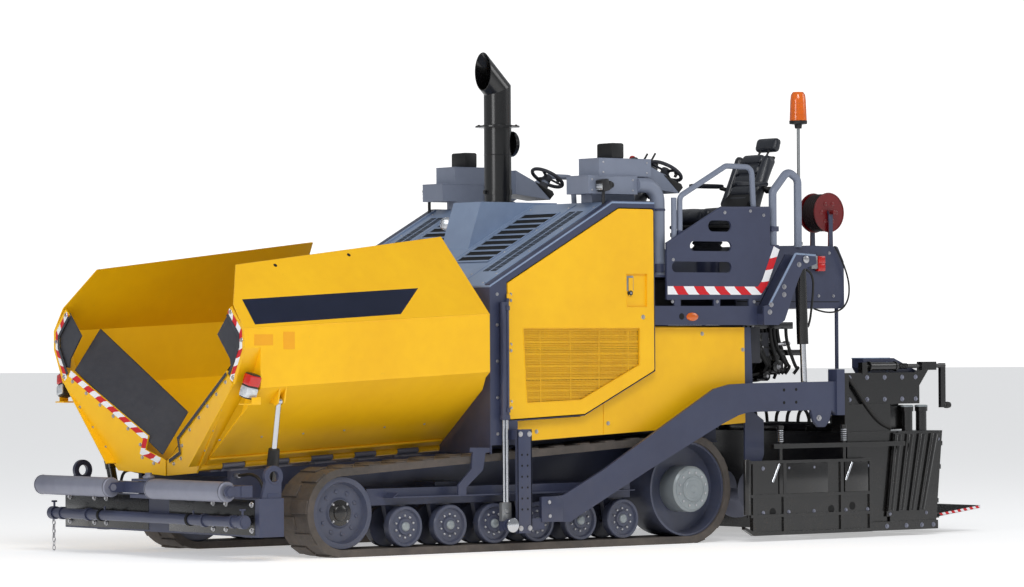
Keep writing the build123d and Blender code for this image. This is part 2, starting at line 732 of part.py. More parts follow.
def make_wing():
    """Left hopper wing: three folded panels, hinge knuckles, apron plate and front flange."""
    top_rise = WING_TOP_REAR_Z - hinge_z(WING_TOP_REAR_X)
    seat_y = HINGE_Y + KNUCKLE_RADIUS / 2
    section = [
        (seat_y, (seat_y - HINGE_Y) * WING_LOWER_CREASE_Z / (WING_OUTER_Y - HINGE_Y)),
        (WING_OUTER_Y, WING_LOWER_CREASE_Z),
        (WING_OUTER_Y, WING_UPPER_CREASE_Z),
        (WING_TOP_Y, top_rise),
    ]
    wing = wing_wall(section, (HINGE_REAR_X + 8, WING_POCKET_X), folded_sheet(section, WING_SHEET))
    pocket_low = (1128, 598)
    pocket_high = (WING_OUTER_Y, 830)
    front = [section[0], pocket_low, pocket_high, section[2], section[3]]
    wing += wing_wall(front, (WING_POCKET_X - 1, WING_FRONT_X), folded_sheet(front, WING_SHEET))
    closer = [
        (1000, hinge_z(WING_POCKET_X) + 350),
        (WING_OUTER_Y - 2, hinge_z(WING_POCKET_X) + WING_LOWER_CREASE_Z + 2),
        (WING_OUTER_Y - 2, hinge_z(WING_POCKET_X) + 842),
        (1120, hinge_z(WING_POCKET_X) + 598),
    ]
    wing += plate_yz(closer, (WING_POCKET_X - WING_SHEET, WING_POCKET_X))

    high = WING_TOP_REAR_Z + 300
    slope = (WING_TOP_REAR_Z - WING_TOP_FRONT_Z) / (WING_TOP_FRONT_X - WING_TOP_REAR_X)
    ends = (WING_REAR_X - 200, WING_FRONT_X + 100)
    top_line = [(x, WING_TOP_FRONT_Z + (WING_TOP_FRONT_X - x) * slope) for x in ends]
    above = plate_xz([top_line[0], (ends[0], high), (ends[1], high), top_line[1]], (700, 1400))
    front_cut = [
        (WING_FRONT_X + 1, 1761),
        (WING_FRONT_X + 1, high),
        (WING_TOP_FRONT_X, high),
        (WING_TOP_FRONT_X, WING_TOP_FRONT_Z),
    ]
    rear_cut = [
        (WING_REAR_X, hinge_z(WING_REAR_X) + WING_UPPER_CREASE_Z),
        (WING_TOP_REAR_X, WING_TOP_REAR_Z),
        (WING_TOP_REAR_X, high),
        (HINGE_REAR_X - 10, high),
        (HINGE_REAR_X - 10, hinge_z(WING_REAR_X) + 400),
        (WING_REAR_X, hinge_z(WING_REAR_X) + WING_LOWER_CREASE_Z - 40),
    ]
    wing -= above
    wing -= plate_xz(front_cut, (700, 1400))
    wing -= plate_xz(rear_cut, (700, 1400))

    for index, span in enumerate(knuckle_spans()):
        if index % 2 == 0:
            wing += hinge_bar(span, KNUCKLE_RADIUS)
            wing -= hinge_bar((span[0] + 5, span[1] - 5), HINGE_PIN_RADIUS + HINGE_PIN_GAP)
        else:
            room = (span[0] + KNUCKLE_GAP, span[1] - KNUCKLE_GAP)
            wing -= hinge_bar(room, KNUCKLE_RADIUS + 5)
    wing += make_apron()
    wing += make_wing_lugs()
    return wing


def make_apron():
    """Swept front plate under the wing's opening, with the upright flange above it."""
    lean = math.degrees(math.atan(APRON_SWEEP))
    low = [
        (APRON_SPLIT_Y, 566),
        (520, 596),
        (580, 652),
        (1120, 1218),
        (1036, 1312),
        (193, 846),
        (225, 748),
        (60, 694),
        (APRON_SPLIT_Y, 672),
    ]
    plate = plate_yz(low, (0, APRON_PLATE))
    plate = Pos(APRON_TIP_X, 0, 0) * Rot(0, 0, -lean) * plate
    rim = [
        (1128, 1216),
        (1246, 1450),
        (1246, 1596),
        (1090, 1752),
        (1040, 1714),
        (1186, 1570),
        (1186, 1462),
        (1060, 1262),
    ]
    return plate + plate_yz(rim, (WING_FRONT_X - APRON_PLATE, WING_FRONT_X))


def make_wing_lugs():
    """Two plates under the lower panel that take the rod's eye between them."""
    reach = WING_EYE_WIDTH / 2 + WING_LUG_GAP
    slope = WING_LOWER_CREASE_Z / (WING_OUTER_Y - HINGE_Y)
    ends = (WING_PIN_Y - 75, WING_PIN_Y + 65)
    panel = [(y, hinge_z(WING_PIN_X) + (y - HINGE_Y) * slope + 4 - WING_PIN_Z) for y in ends]
    lug = [
        panel[0],
        (WING_PIN_Y - 32, -14),
        (WING_PIN_Y, -32),
        (WING_PIN_Y + 32, -14),
        panel[1],
    ]
    square = Pos(WING_PIN_X, 0, WING_PIN_Z) * Rot(0, math.degrees(math.atan(HINGE_SLOPE)), 0)
    rear = square * plate_yz(lug, (-reach - WING_LUG_PLATE, -reach))
    front = square * plate_yz(lug, (reach, reach + WING_LUG_PLATE))
    return [rear, front]


def make_wing_flaps():
    """Rubber flaps: a long one leaning in from the apron's edge, and an upright one."""
    lean = math.degrees(math.atan(APRON_SWEEP))
    back = -236
    seat = -1
    top = [(seat, y, z) for y, z in ((60, 712), (1010, 1312))]
    far = [(seat + back, y, z + 292) for y, z in ((1010, 1312), (60, 712))]
    sheet = make_face(Polyline(*top, *far, close=True))
    flap = extrude(sheet, amount=14, dir=(-0.7, -0.3, 0.6))
    flap = Pos(APRON_TIP_X, 0, 0) * Rot(0, 0, -lean) * flap
    strip = [
        (1058, 1726), (1210, 1568), (1210, 1466), (1140, 1340), (1062, 1330), (1051, 1391), (894, 1560)
    ]
    strip_x = WING_FRONT_X - APRON_PLATE - SEAT_CLEARANCE
    return flap + plate_yz(strip, (strip_x - 12, strip_x))


def make_wing_lamp():
    """Combined lamp and its bracket in the pocket behind the wing's front flange."""
    lamp = block((3285, 3355), (1176, 1246), (1122, 1286))
    lens = block((3355, 3366), (1182, 1240), (1130, 1278))
    bracket = block((WING_POCKET_X + WHEEL_SEAT_GAP, 3380), (1150, 1246), (1104, 1112))
    post = block((WING_POCKET_X + WHEEL_SEAT_GAP, WING_POCKET_X + 13), (1150, 1200), (1104, 1240))
    return lamp + lens + bracket + post + block((3283, 3290), (1150, 1180), (1200, 1230))


def make_wing_barrel():
    """Wing cylinder barrel, standing on its pivot behind the bumper."""
    length = WING_BARREL_LENGTH
    barrel = cross_pin(WING_FOOT_RADIUS, WING_FOOT_WIDTH)
    barrel += Pos(0, 0, 20) * Cylinder(WING_BARREL_RADIUS, length - 20, align=CENTRE_LOW)
    barrel += Pos(0, 0, length - 60) * Cylinder(WING_BARREL_RADIUS + 5, 56, align=CENTRE_LOW)
    barrel -= Pos(0, 0, 28) * Cylinder(WING_ROD_RADIUS + AXLE_GAP, length, align=CENTRE_LOW)
    barrel -= cross_pin(WING_PIVOT_RADIUS + AXLE_GAP, WING_FOOT_WIDTH + 2)
    return wing_cylinder_frame(at_pin=False) * barrel


def make_wing_rod():
    """Chromed rod with the eye that sits between the wing's lugs."""
    piece = cross_pin(WING_EYE_RADIUS, WING_EYE_WIDTH)
    piece += Pos(0, 0, -WING_ROD_LENGTH) * Cylinder(WING_ROD_RADIUS, WING_ROD_LENGTH - 10, align=CENTRE_LOW)
    return wing_cylinder_frame(at_pin=True) * piece


def door_outline():
    """Outline of the engine door, its top edge along the hood's line."""
    return [
        (1058, hood_line(1058) - 71),
        (35, HOOD_TOP_Z - 52),
        (-289, HOOD_TOP_Z - 53),
        (-291, 1285),
        (362, 973),
        (1050, 943),
    ]


def side_face(points, grow=0.0, corner=0.0):
    """A flat side outline, optionally grown all round and with rounded corners."""
    sketch = Polygon(*points, align=None)
    if grow:
        sketch = offset(sketch, amount=grow, kind=Kind.INTERSECTION)
    if corner:
        sketch = fillet(sketch.vertices(), corner)
    return sketch


def side_panel(sketch, y):
    """A flat outline in X and Z, drawn out between two y values."""
    plane = Plane(origin=(0, y[0], 0), x_dir=(1, 0, 0), z_dir=(0, -1, 0))
    return extrude(plane * sketch, amount=y[1] - y[0], dir=(0, 1, 0))


def make_door():
    """Left engine door with its mesh window, latch recess and hinge knuckles."""
    inner_y = BODY_OUTER_Y + 4 - DOOR_THICKNESS
    skin = (inner_y, BODY_OUTER_Y + 4)
    door = side_panel(side_face(door_outline(), corner=18), skin)
    door -= side_panel(side_face(WINDOW_OUTLINE, corner=14), (skin[0] - 1, skin[1] + 1))
    bars = Part()
    for index in range(12):
        z = 1100 + index * GRILLE_PITCH
        bars += block((-180, 940), (skin[0] + 6, skin[0] + 10), (z - 5, z + 5))
    for x in (-60, 210, 480, 750):
        bars += block((x, x + 10), (skin[0] + 6, skin[0] + 10), (1040, 1610))
    for z in (1190, 1460):
        bars += block((-180, 940), (skin[0], skin[0] + 6), (z, z + 22))
    door += bars & side_panel(side_face(WINDOW_OUTLINE, grow=6), (skin[0] - 1, skin[1] + 1))
    door -= block(LATCH_X, (skin[1] - 12, skin[1] + 1), LATCH_Z)
    door += block(
        (LATCH_X[0] + 130, LATCH_X[0] + 168),
        (skin[1] - 13, skin[1] - 3),
        (LATCH_Z[0] + 80, LATCH_Z[1] - 30),
    )
    for z in HINGE_HEIGHTS:
        door += block((DOOR_HINGE_X - 26, DOOR_HINGE_X), (skin[1] - 1, DOOR_HINGE_Y + 3), (z + 31, z + 60))
        door += rod_z(DOOR_HINGE_X, DOOR_HINGE_Y, 9, (z + 31, z + 60))
        door -= rod_z(DOOR_HINGE_X, DOOR_HINGE_Y, 4 + AXLE_GAP, (z + 30, z + 61))
    return door


def make_body_frame():
    """Slate frame of the engine bay: bulkhead, posts, top rails, base and rear wall."""
    outline = [
        (BULKHEAD_X, 760),
        (BULKHEAD_X, BULKHEAD_TOP_Z - 14),
        (HOOD_TOP_FRONT_X, HOOD_TOP_Z - 14),
        (BODY_REAR_X, HOOD_TOP_Z - 14),
        (BODY_REAR_X, 1620),
        (BODY_REAR_X, 1278),
        (362, 960),
        (972, 932),
        (972, 760),
    ]
    opening = side_face(door_outline(), grow=DOOR_GAP)
    ring = side_panel(side_face(outline), (1096, BODY_OUTER_Y))
    ring -= side_panel(opening, (1095, BODY_OUTER_Y + 1))
    knuckles = Part()
    for z in HINGE_HEIGHTS:
        knuckles += block(
            (DOOR_HINGE_X, DOOR_HINGE_X + 14), (BODY_OUTER_Y - 1, DOOR_HINGE_Y + 3), (z, z + 29)
        )
        knuckles += rod_z(DOOR_HINGE_X, DOOR_HINGE_Y, 9, (z, z + 29))
        knuckles += rod_z(DOOR_HINGE_X, DOOR_HINGE_Y, 4, (z, z + 60))
    ring += knuckles
    wall_z = (700, BULKHEAD_TOP_Z - 14)
    wall = block((BULKHEAD_X - BODY_SHEET, BULKHEAD_X), (-BODY_OUTER_Y, BODY_OUTER_Y), wall_z)
    wall -= block((BULKHEAD_X - 20, BULKHEAD_X + 1), (-470, 470), (690, 940))
    frame = wall + [ring, mirrored(ring)]
    base = block(
        (REAR_WALL_X, BULKHEAD_X - 1),
        (-TRACK_INNER_Y + 6, TRACK_INNER_Y - 6),
        (BODY_BASE_Z, BODY_BASE_Z + 12),
    )
    cover = [(REAR_WALL_X, 884), (BULKHEAD_X - 1, 762), (BULKHEAD_X - 1, 774), (REAR_WALL_X, 896)]
    left_cover = plate_xz(cover, (TRACK_INNER_Y - 30, SIDE_PANEL_OUTER_Y - BODY_SHEET))
    web = [(REAR_WALL_X, 736), (BULKHEAD_X - 1, 736), (BULKHEAD_X - 1, 774), (REAR_WALL_X, 896)]
    left_web = plate_xz(web, (TRACK_INNER_Y - 30, TRACK_INNER_Y - 18))
    frame += [base, left_cover, mirrored(left_cover), left_web, mirrored(left_web)]
    wall_y = SIDE_PANEL_OUTER_Y - BODY_SHEET
    rear = block((REAR_WALL_X, REAR_WALL_X + BODY_SHEET), (-wall_y, wall_y), (884, 1604))
    rear -= block((REAR_WALL_X - 1, REAR_WALL_X + 20), (-470, 470), (880, 960))
    frame += rear
    for x in (BODY_REAR_X, 700):
        frame += block((x, x + 50), (-1100, 1100), (hood_line(x) - 120, hood_line(x) - 60))
    return frame


def make_side_panels():
    """Yellow lower and rear side panels, set in behind the doors."""
    outline = [
        (BODY_REAR_X - 44, 1606),
        (-1209, 1599),
        (REAR_WALL_X, 883),
        (957, 778),
        (963, 928),
        (356, 953),
        (BODY_REAR_X - 6, 1270),
        (BODY_REAR_X - 44, 1290),
    ]
    panel = side_panel(
        side_face(outline, corner=8), (SIDE_PANEL_OUTER_Y - BODY_SHEET + 0.2, SIDE_PANEL_OUTER_Y + 0.2)
    )
    seam = block((140, 150), (SIDE_PANEL_OUTER_Y - 4, SIDE_PANEL_OUTER_Y + 1), (700, 1060))
    return pair(panel - seam)


def hood_point(along, lift=0.0):
    """A point on the sloping hood, measured down the slope from its top edge."""
    drop = HOOD_TOP_Z - BULKHEAD_TOP_Z
    reach = BULKHEAD_X - HOOD_TOP_FRONT_X
    length = math.hypot(drop, reach)
    x = HOOD_TOP_FRONT_X + along * reach / length + lift * drop / length
    return x, HOOD_TOP_Z - along * drop / length + lift * reach / length


def make_hood():
    """Sloping hood with two louvre banks, perforation rows and the exhaust housing."""
    drop = HOOD_TOP_Z - BULKHEAD_TOP_Z
    reach = BULKHEAD_X - HOOD_TOP_FRONT_X
    outer = [
        (BULKHEAD_X, BULKHEAD_TOP_Z - 13.5),
        (BULKHEAD_X, BULKHEAD_TOP_Z),
        (HOOD_TOP_FRONT_X, HOOD_TOP_Z),
        (BODY_REAR_X, HOOD_TOP_Z),
        (BODY_REAR_X, HOOD_TOP_Z - 13.5),
        (HOOD_TOP_FRONT_X, HOOD_TOP_Z - 13.5),
    ]
    hood = plate_xz(outer, (-BODY_OUTER_Y, BODY_OUTER_Y))
    tilt = math.degrees(math.atan2(drop, reach))
    cuts = Part()
    for index in range(LOUVRE_COUNT):
        x, z = hood_point(190 + index * 84)
        slot = Pos(x, 0, z) * Rot(0, tilt, 0) * Box(44, 400, 60)
        cuts += [Pos(0, 470, 0) * slot, Pos(0, -470, 0) * slot]
    for index in range(PERFORATION_COUNT):
        x, z = hood_point(150 + index * 42)
        hole = Pos(x, 0, z) * Rot(0, tilt, 0) * Box(16, 70, 60)
        cuts += [Pos(0, 820, 0) * hole, Pos(0, -820, 0) * hole]
        cuts += [Pos(0, 910, 0) * hole, Pos(0, -910, 0) * hole]
    hood -= cuts
    x_foot, z_foot = hood_point(690)
    housing = [
        (x_foot, z_foot - 2),
        (575, EXHAUST_BASE_Z),
        (-140, EXHAUST_BASE_Z),
        (-140, HOOD_TOP_Z - 2),
        (HOOD_TOP_FRONT_X, HOOD_TOP_Z - 2),
    ]
    hood += plate_xz(housing, (-170, 170))
    return hood


def make_exhaust_stack():
    """Upright pipe mitred into a forward mouth, with a ring plate and hanging cap."""
    mouth_r = EXHAUST_RADIUS
    mitre = Plane(
        origin=(EXHAUST_X, 0, EXHAUST_BEND_Z),
        z_dir=(math.sin(math.radians(22.5)), 0, math.cos(math.radians(22.5))),
    )
    axis_end = (EXHAUST_X + 400, 0, EXHAUST_BEND_Z + 400)
    axis_start = (EXHAUST_X - 200, 0, EXHAUST_BEND_Z - 200)

    def limb(radius, low_z):
        upright = rod_z(EXHAUST_X, 0, radius, (low_z, EXHAUST_BEND_Z + 200))
        upright = split(upright, bisect_by=mitre, keep=Keep.BOTTOM)
        leaning = split(rod(axis_start, axis_end, radius), bisect_by=mitre, keep=Keep.TOP)
        return upright + leaning

    pipe = limb(mouth_r, EXHAUST_BASE_Z) - limb(mouth_r - EXHAUST_WALL, EXHAUST_BASE_Z + 40)
    pipe -= block(
        (EXHAUST_MOUTH_X, EXHAUST_MOUTH_X + 600),
        (-300, 300),
        (EXHAUST_BEND_Z - 300, EXHAUST_BEND_Z + 700),
    )
    ring_z = 3106
    pipe += rod_z(EXHAUST_X, 0, 166, (ring_z, ring_z + 12)) - rod_z(
        EXHAUST_X, 0, mouth_r - 3, (ring_z - 1, ring_z + 13)
    )
    cap = rod((EXHAUST_X - mouth_r - 34, 0, 2985), (EXHAUST_X - mouth_r - 4, 0, 2985), 96)
    hook = block((EXHAUST_X - mouth_r - 22, EXHAUST_X - mouth_r - 12), (-5, 5), (3070, ring_z + 1))
    return pipe + cap + hook + rod_z(EXHAUST_X, 0, mouth_r + 26, (EXHAUST_BASE_Z, EXHAUST_BASE_Z + 8))


def make_engine_block():
    """The engine as one plain block on the base plate."""
    return block((-250, 880), (-400, 400), (1000, 1740)) + block((-150, 780), (-300, 300), (747, 1001))


def make_operator_platform():
    """Side beams, decks and seat pedestals of the operator station."""
    beam = [
        (BODY_REAR_X - 1, BEAM_LOW_Z),
        (BODY_REAR_X - 1, BEAM_HIGH_Z),
        (BEAM_REAR_X, BEAM_HIGH_Z),
        (BEAM_REAR_X, BEAM_LOW_Z),
    ]
    left = plate_xz(beam, (1060, BODY_OUTER_Y))
    deck = block((BEAM_REAR_X, BODY_REAR_X - 1), (-1100, 1100), (BEAM_HIGH_Z - 14, BEAM_HIGH_Z))
    floor = block((-1290, BODY_REAR_X - 1), (-1095, 1095), (FLOOR_Z - 14, FLOOR_Z))
    front = block((BODY_REAR_X - 13, BODY_REAR_X - 1), (-1095, 1095), (BEAM_HIGH_Z - 1, HOOD_TOP_Z))
    rear = block((-1280, -1268), (-900, 900), (BEAM_HIGH_Z - 1, FLOOR_Z - 1))
    station = deck + floor + front + rear + [left, mirrored(left)]
    pedestal = rod_z(-1160, SEAT_Y, 90, (FLOOR_Z - 1, 2290))
    plate = block((-1380, -960), (SEAT_Y - 200, SEAT_Y + 200), (2288, 2318))
    return station + [pedestal, plate, mirrored(pedestal), mirrored(plate)]


def make_platform_sides():
    """Side panels of the station with three rounded slots each."""
    panel = side_panel(side_face(SIDE_OUTLINE, corner=12), (1110, BODY_OUTER_Y))
    for (x0, x1), (z0, z1) in SIDE_SLOTS:
        slot = Pos((x0 + x1) / 2, (z0 + z1) / 2) * SlotOverall(x1 - x0, z1 - z0)
        panel -= side_panel(slot, (1100, BODY_OUTER_Y + 10))
    for x in (-520, -900, -1240):
        panel += block((x - 30, x + 30), (1110, BODY_OUTER_Y - 2), (BEAM_HIGH_Z, BEAM_HIGH_Z + 54))
    return pair(panel)


def make_handrails():
    """Bent tube rails of the station and the big tubes that carry the consoles."""
    y = 1110 - RAIL_RADIUS - WHEEL_SEAT_GAP
    front = bent_tube(
        [(-575, y, 2215), (-577, y, 2570), (-1024, y, 2805), (-1275, y, 2800), (-1296, y, 2430)],
        RAIL_RADIUS,
        60,
    )
    post = rod_z(-520, y, RAIL_RADIUS, (2110, 2560))
    rear_y = 1110 - 30 - WHEEL_SEAT_GAP
    rear_route = [(-1490, 2120), (-1490, 2620), (-1640, 2780), (-1740, 2720), (-1740, 2205)]
    rear = bent_tube([(x, rear_y, z) for x, z in rear_route], 30, 60)
    low = CONSOLE_TUBE_X
    tube_z = CONSOLE_BASE_Z + 70
    tube = bent_tube(
        [(low, CONSOLE_TUBE_Y, FLOOR_Z), (low, CONSOLE_TUBE_Y, tube_z), (-225, CONSOLE_TUBE_Y, tube_z)],
        CONSOLE_TUBE_RADIUS,
        120,
    )
    return Part() + [front, post, rear, tube] + [mirrored(piece) for piece in (front, post, rear, tube)]


def make_consoles():
    """Control consoles: a lower and an upper box, a display hood and the wheel housing."""
    low = CONSOLE_BASE_Z
    lower = block((-224.7, 236), (770, 1030), (low, low + 132))
    upper = block((-370, 120), (770, 1010), (low + 132, low + 262))
    hood = block((-120, -20), (820, 990), (low + 261, low + 370))
    side = [(-369, low + 242), (-369, low + 60), (-700, low + 20), (-735, low + 60), (-720, low + 85)]
    wedge = plate_xz(side, (640, 930))
    column_x, column_z = -math.sin(math.radians(WHEEL_TILT)), math.cos(math.radians(WHEEL_TILT))
    wheel_x, wheel_y, wheel_z = WHEEL_CENTRE
    ends = [
        (wheel_x - column_x * d, wheel_y, wheel_z - column_z * d)
        for d in (150, WHEEL_HUB_DEPTH + WHEEL_SEAT_GAP)
    ]
    neck = rod(ends[0], ends[1], 30)
    foot = block((-300, 100), (770, 900), (HOOD_TOP_Z, low + 1))
    tube_room = block((-500, -224.7), (CONSOLE_TUBE_Y - 62, 1100), (low - 20, low + 133))
    return pair(lower + upper + hood + wedge + neck + foot - tube_room)


def make_steering_wheel():
    """Steering wheel with three spokes, tilted on its column."""
    rim = Torus(WHEEL_RADIUS - WHEEL_RIM_RADIUS, WHEEL_RIM_RADIUS)
    wheel = rim + Pos(0, 0, 23 - WHEEL_HUB_DEPTH) * Cylinder(34, 46)
    for angle in (90, 210, 330):
        wheel += Rot(0, 0, angle) * Pos(WHEEL_RADIUS / 2 - 4, 0, 0) * Box(WHEEL_RADIUS - 24, 26, 8)
    return Pos(*WHEEL_CENTRE) * Rot(0, -WHEEL_TILT, 0) * wheel


def make_seat():
    """Seat cushion, back, headrest and armrests on the pedestal plate."""
    cushion = plate_xz(
        [(-930, 2330), (-930, 2470), (-960, 2512), (-1400, 2500), (-1400, 2318.5), (-960, 2318.5)],
        (SEAT_Y - 240, SEAT_Y + 240),
    )
    back = plate_xz(
        [(-1340, 2490), (-1400, 2480), (-1530, 2500), (-1800, 2900), (-1700, 2930), (-1540, 2830)],
        (SEAT_Y - 220, SEAT_Y + 220),
    )
    rest = plate_xz(
        [(-1706, 2920), (-1770, 2905), (-1830, 3040), (-1790, 3070), (-1740, 3065)],
        (SEAT_Y - 140, SEAT_Y + 140),
    )
    arm = block(
        (-1540, -1200), (SEAT_Y + 246, SEAT_Y + 296), (2660, 2700)
    ) + block((-1560, -1500), (SEAT_Y + 200, SEAT_Y + 290), (2600, 2690))
    return cushion + back + rest + arm


def make_beacon():
    """Amber beacon on its pole at the left rear of the station."""
    x, y = -1954, 846
    dome = rod_z(x, y, 62, (3160, 3340)) + Pos(x, y, 3340) * Sphere(62)
    return dome + rod_z(x, y, 16, (2230.3, 3150)) + rod_z(x, y, 70, (3140, 3162))


def make_rear_brackets():
    """Bracket plates that hold the lift cylinders' upper pins beside the station."""
    outline = [
        (-1610, 2151),
        (-1807, 2140),
        (-1815, 2077),
        (-1677, 2033),
        (-1631, 1953),
        (-1495, 1650),
        (-1432, 1615),
        (BEAM_REAR_X - 0.3, 1616),
        (BEAM_REAR_X - 0.3, 1758),
        (-1347, 1764),
    ]
    sketch = side_face(outline, corner=9)
    outer_y = LIFT_Y + LIFT_BARREL_RADIUS + 6
    inner_y = LIFT_Y - LIFT_BARREL_RADIUS - 6
    bracket = side_panel(sketch, (outer_y, outer_y + 16)) + side_panel(sketch, (inner_y - 16, inner_y))
    bracket += block((-1425, BEAM_REAR_X - 0.3), (inner_y - 16, outer_y + 1), (BEAM_LOW_Z + 4, 1700))
    return pair(bracket + rod_y(LIFT_TOP_X, LIFT_TOP_Z, 20, (inner_y - 4, outer_y + 10)))


def make_rear_cabinet():
    """Cabinet and tank behind the station, with the reel stand on top."""
    outline = [
        (-1290.3, 1744),
        (-1290.3, 1980),
        (-1430, 2215),
        (-2060, 2226),
        (-2345, 2222),
        (-2408, 2105),
        (-2410, 1744),
    ]
    cabinet = side_panel(
        side_face(outline, corner=20), (-846, 0)
    ) + side_panel(side_face(outline, corner=20), (-1, 846))
    stand = block(
        (-2330, -2290), (590, 602), (2000, 2490)
    ) + block((-2330, -2290), (798, 810), (2000, 2490))
    cabinet += stand + rod_y(-2310, 2484, 18, (589, 811))
    post = rod_z(-2370, 800, 15, (1278, 1745))
    return cabinet + [post, mirrored(post)] + rod_z(-1954, 846 - 17, 30, (2200, 2230))


def make_hose_reel():
    """Red hose reel: two flanges on a drum."""
    y0, y1 = 612, 788
    profile = [
        (y0, 150),
        (y0 + 8, 150),
        (y0 + 8, 96),
        (y1 - 8, 96),
        (y1 - 8, 150),
        (y1, 150),
    ]
    return turned_y(-2310, 2484, profile) - rod_y(-2310, 2484, 18 + AXLE_GAP, (y0 - 1, y1 + 1))


def make_lamps():
    """Work lamps on the hood's edges, the round front lamp and the tail lamps."""
    seat_z = hood_line(125) + 0.6
    post = rod_z(137, 1080, 12, (seat_z, seat_z + 96))
    head = block((110, 170), (1040, 1120), (seat_z + 94, seat_z + 176))
    work = post + head
    x, z = hood_point(600, 0.3)
    round_lamp = rod((x, -235, z + 100), (x + 52, -235, z + 90), 46) + rod_z(x, -235, 12, (z + 7.3, z + 70))
    tail = block(
        (-2115, -2050), (846.3, 880), (2046, 2147)
    ) + block((-2186, -2114), (846.3, 884), (2028, 2145))
    return Part() + [work, mirrored(work), round_lamp, tail, mirrored(tail)]


def make_auger():
    """Helical auger flight on its shaft."""
    section = make_face(
        Polyline(
            (AUGER_SHAFT_RADIUS - 8, -7),
            (AUGER_RADIUS, -7),
            (AUGER_RADIUS, 7),
            (AUGER_SHAFT_RADIUS - 8, 7),
            close=True,
        ),
    ).face()
    length = AUGER_OUTER_Y - AUGER_INNER_Y - 40
    flight = Solid.extrude_linear_with_rotation(
        section, (0, 0, 0), (0, 0, length), 360 * length / AUGER_PITCH
    )
    screw = flight + Pos(0, 0, -15) * Cylinder(AUGER_SHAFT_RADIUS, length + 30, align=CENTRE_LOW)
    return Plane(origin=(AUGER_X, AUGER_INNER_Y + 20, AUGER_Z), z_dir=(0, 1, 0)) * screw


def make_auger_carrier():
    """Auger gearbox on its hanger, and the side plates behind the tracks."""
    gearbox = rod_y(AUGER_X, AUGER_Z, 78, (-AUGER_INNER_Y + 1, AUGER_INNER_Y - 1))
    stub_y = AUGER_INNER_Y + 5 - AXLE_GAP
    gearbox += rod_y(AUGER_X, AUGER_Z, AUGER_SHAFT_RADIUS, (-stub_y, stub_y))
    hanger = block((AUGER_X - 40, AUGER_X + 60), (-60, 60), (AUGER_Z, 1560))
    tie = block((AUGER_X - 1, REAR_WALL_X - 0.3), (-60, 60), (1440, 1560))
    box = block((REAR_WALL_X - 200, REAR_WALL_X - 0.3), (-800, 800), (1180, 1300))
    carrier = gearbox + hanger + tie + box
    outline = [
        (REAR_WALL_X - 0.3, 500),
        (REAR_WALL_X - 0.3, 1600),
        (REAR_WALL_X - 60, 1600),
        (REAR_WALL_X - 90, 960),
        (-1400, 900),
        (-1400, 640),
        (-1330, 500),
    ]
    plate = side_panel(side_face(outline, corner=10), (1050, 1066))
    brace = block((REAR_WALL_X - 60, REAR_WALL_X - 0.3), (799, 1051), (1200, 1280))
    return carrier + [plate, mirrored(plate), brace, mirrored(brace)]


def make_hydraulics():
    """Valve blocks and hoses between the rear wall and the auger box."""
    rear_x = REAR_WALL_X - SEAT_CLEARANCE
    parts = [
        block((rear_x - 210, rear_x), (770, 1000), (1330, 1600)),
        block((rear_x - 330, rear_x - 209), (800, 960), (1380, 1560)),
    ]
    for y, high, low, sag in HOSES:
        x = REAR_WALL_X - 0.3
        route = [
            (x, y, high), (x - 120, y, high), (x - 150, y + sag, low + 110), (x - 150, y + sag, 1300.3)
        ]
        parts.append(bent_tube(route, 14, 40))
    return Part() + parts + [mirrored(hose) for hose in parts]


def make_tow_points():
    """Guide column, tow point cylinder and the yoke with the tow pin."""
    column = block((935, 1067), (1222, 1234), (130, 872))
    column += [block((935, 945), (1222, 1246), (130, 872)), block((1057, 1067), (1222, 1246), (130, 872))]
    column += block((980, 1060), (BODY_OUTER_Y, 1223), (800, 866))
    barrel = rod_z(1114, 1166, 33, (941, 1783)) + rod_z(1114, 1166, 38, (941, 975))
    for z in (1040, 1650):
        barrel += block((1094, 1134), (BODY_OUTER_Y, 1150), (z, z + 50))
    rods = rod_z(1100, 1166, 9, (340, 960)) + rod_z(1128, 1166, 9, (340, 960))
    yoke = block((1078, 1156), (1148, 1183), (150, 350)) + rod_y(
        TOW_PIN_X, TOW_PIN_Z, TOW_PIN_RADIUS, (1160, 1250)
    )
    roller = rod_y(TOW_PIN_X, TOW_PIN_Z, 40, (1222, 1246))
    return pair(column + barrel + rods + yoke + roller)


def make_tow_arms():
    """Tow arms: cranked plates from the tow pin to the screed, with the lift cradles."""
    arm_y = (ARM_INNER_Y, ARM_OUTER_Y)
    arm = side_panel(side_face(ARM_OUTLINE), arm_y)
    arm += block((800, TOW_PIN_X), arm_y, (150, 232)) + rod_y(TOW_PIN_X, TOW_PIN_Z, 42, arm_y)
    arm -= rod_y(TOW_PIN_X, TOW_PIN_Z, TOW_PIN_RADIUS + AXLE_GAP, (ARM_INNER_Y - 1, ARM_OUTER_Y + 1))
    arm += block((-2067, -1989), (1130, 1232), (931, 1279))
    arm += block((LIFT_LOW_X - 60, LIFT_LOW_X + 60), (1078, ARM_INNER_Y + 1), (985, 1050))
    arm += block((LIFT_LOW_X - 45, LIFT_LOW_X + 45), (1078, 1090), (985, 1180))
    return pair(arm)


def lift_axis():
    """Start, unit direction and length of the lift cylinder at rest."""
    dx, dz = LIFT_LOW_X - LIFT_TOP_X, LIFT_LOW_Z - LIFT_TOP_Z
    length = math.hypot(dx, dz)
    return (dx / length, dz / length), length


def lift_point(distance):
    """A point on the lift cylinder's axis, measured down from its top pin."""
    (ux, uz), _ = lift_axis()
    return (LIFT_TOP_X + ux * distance, LIFT_Y, LIFT_TOP_Z + uz * distance)


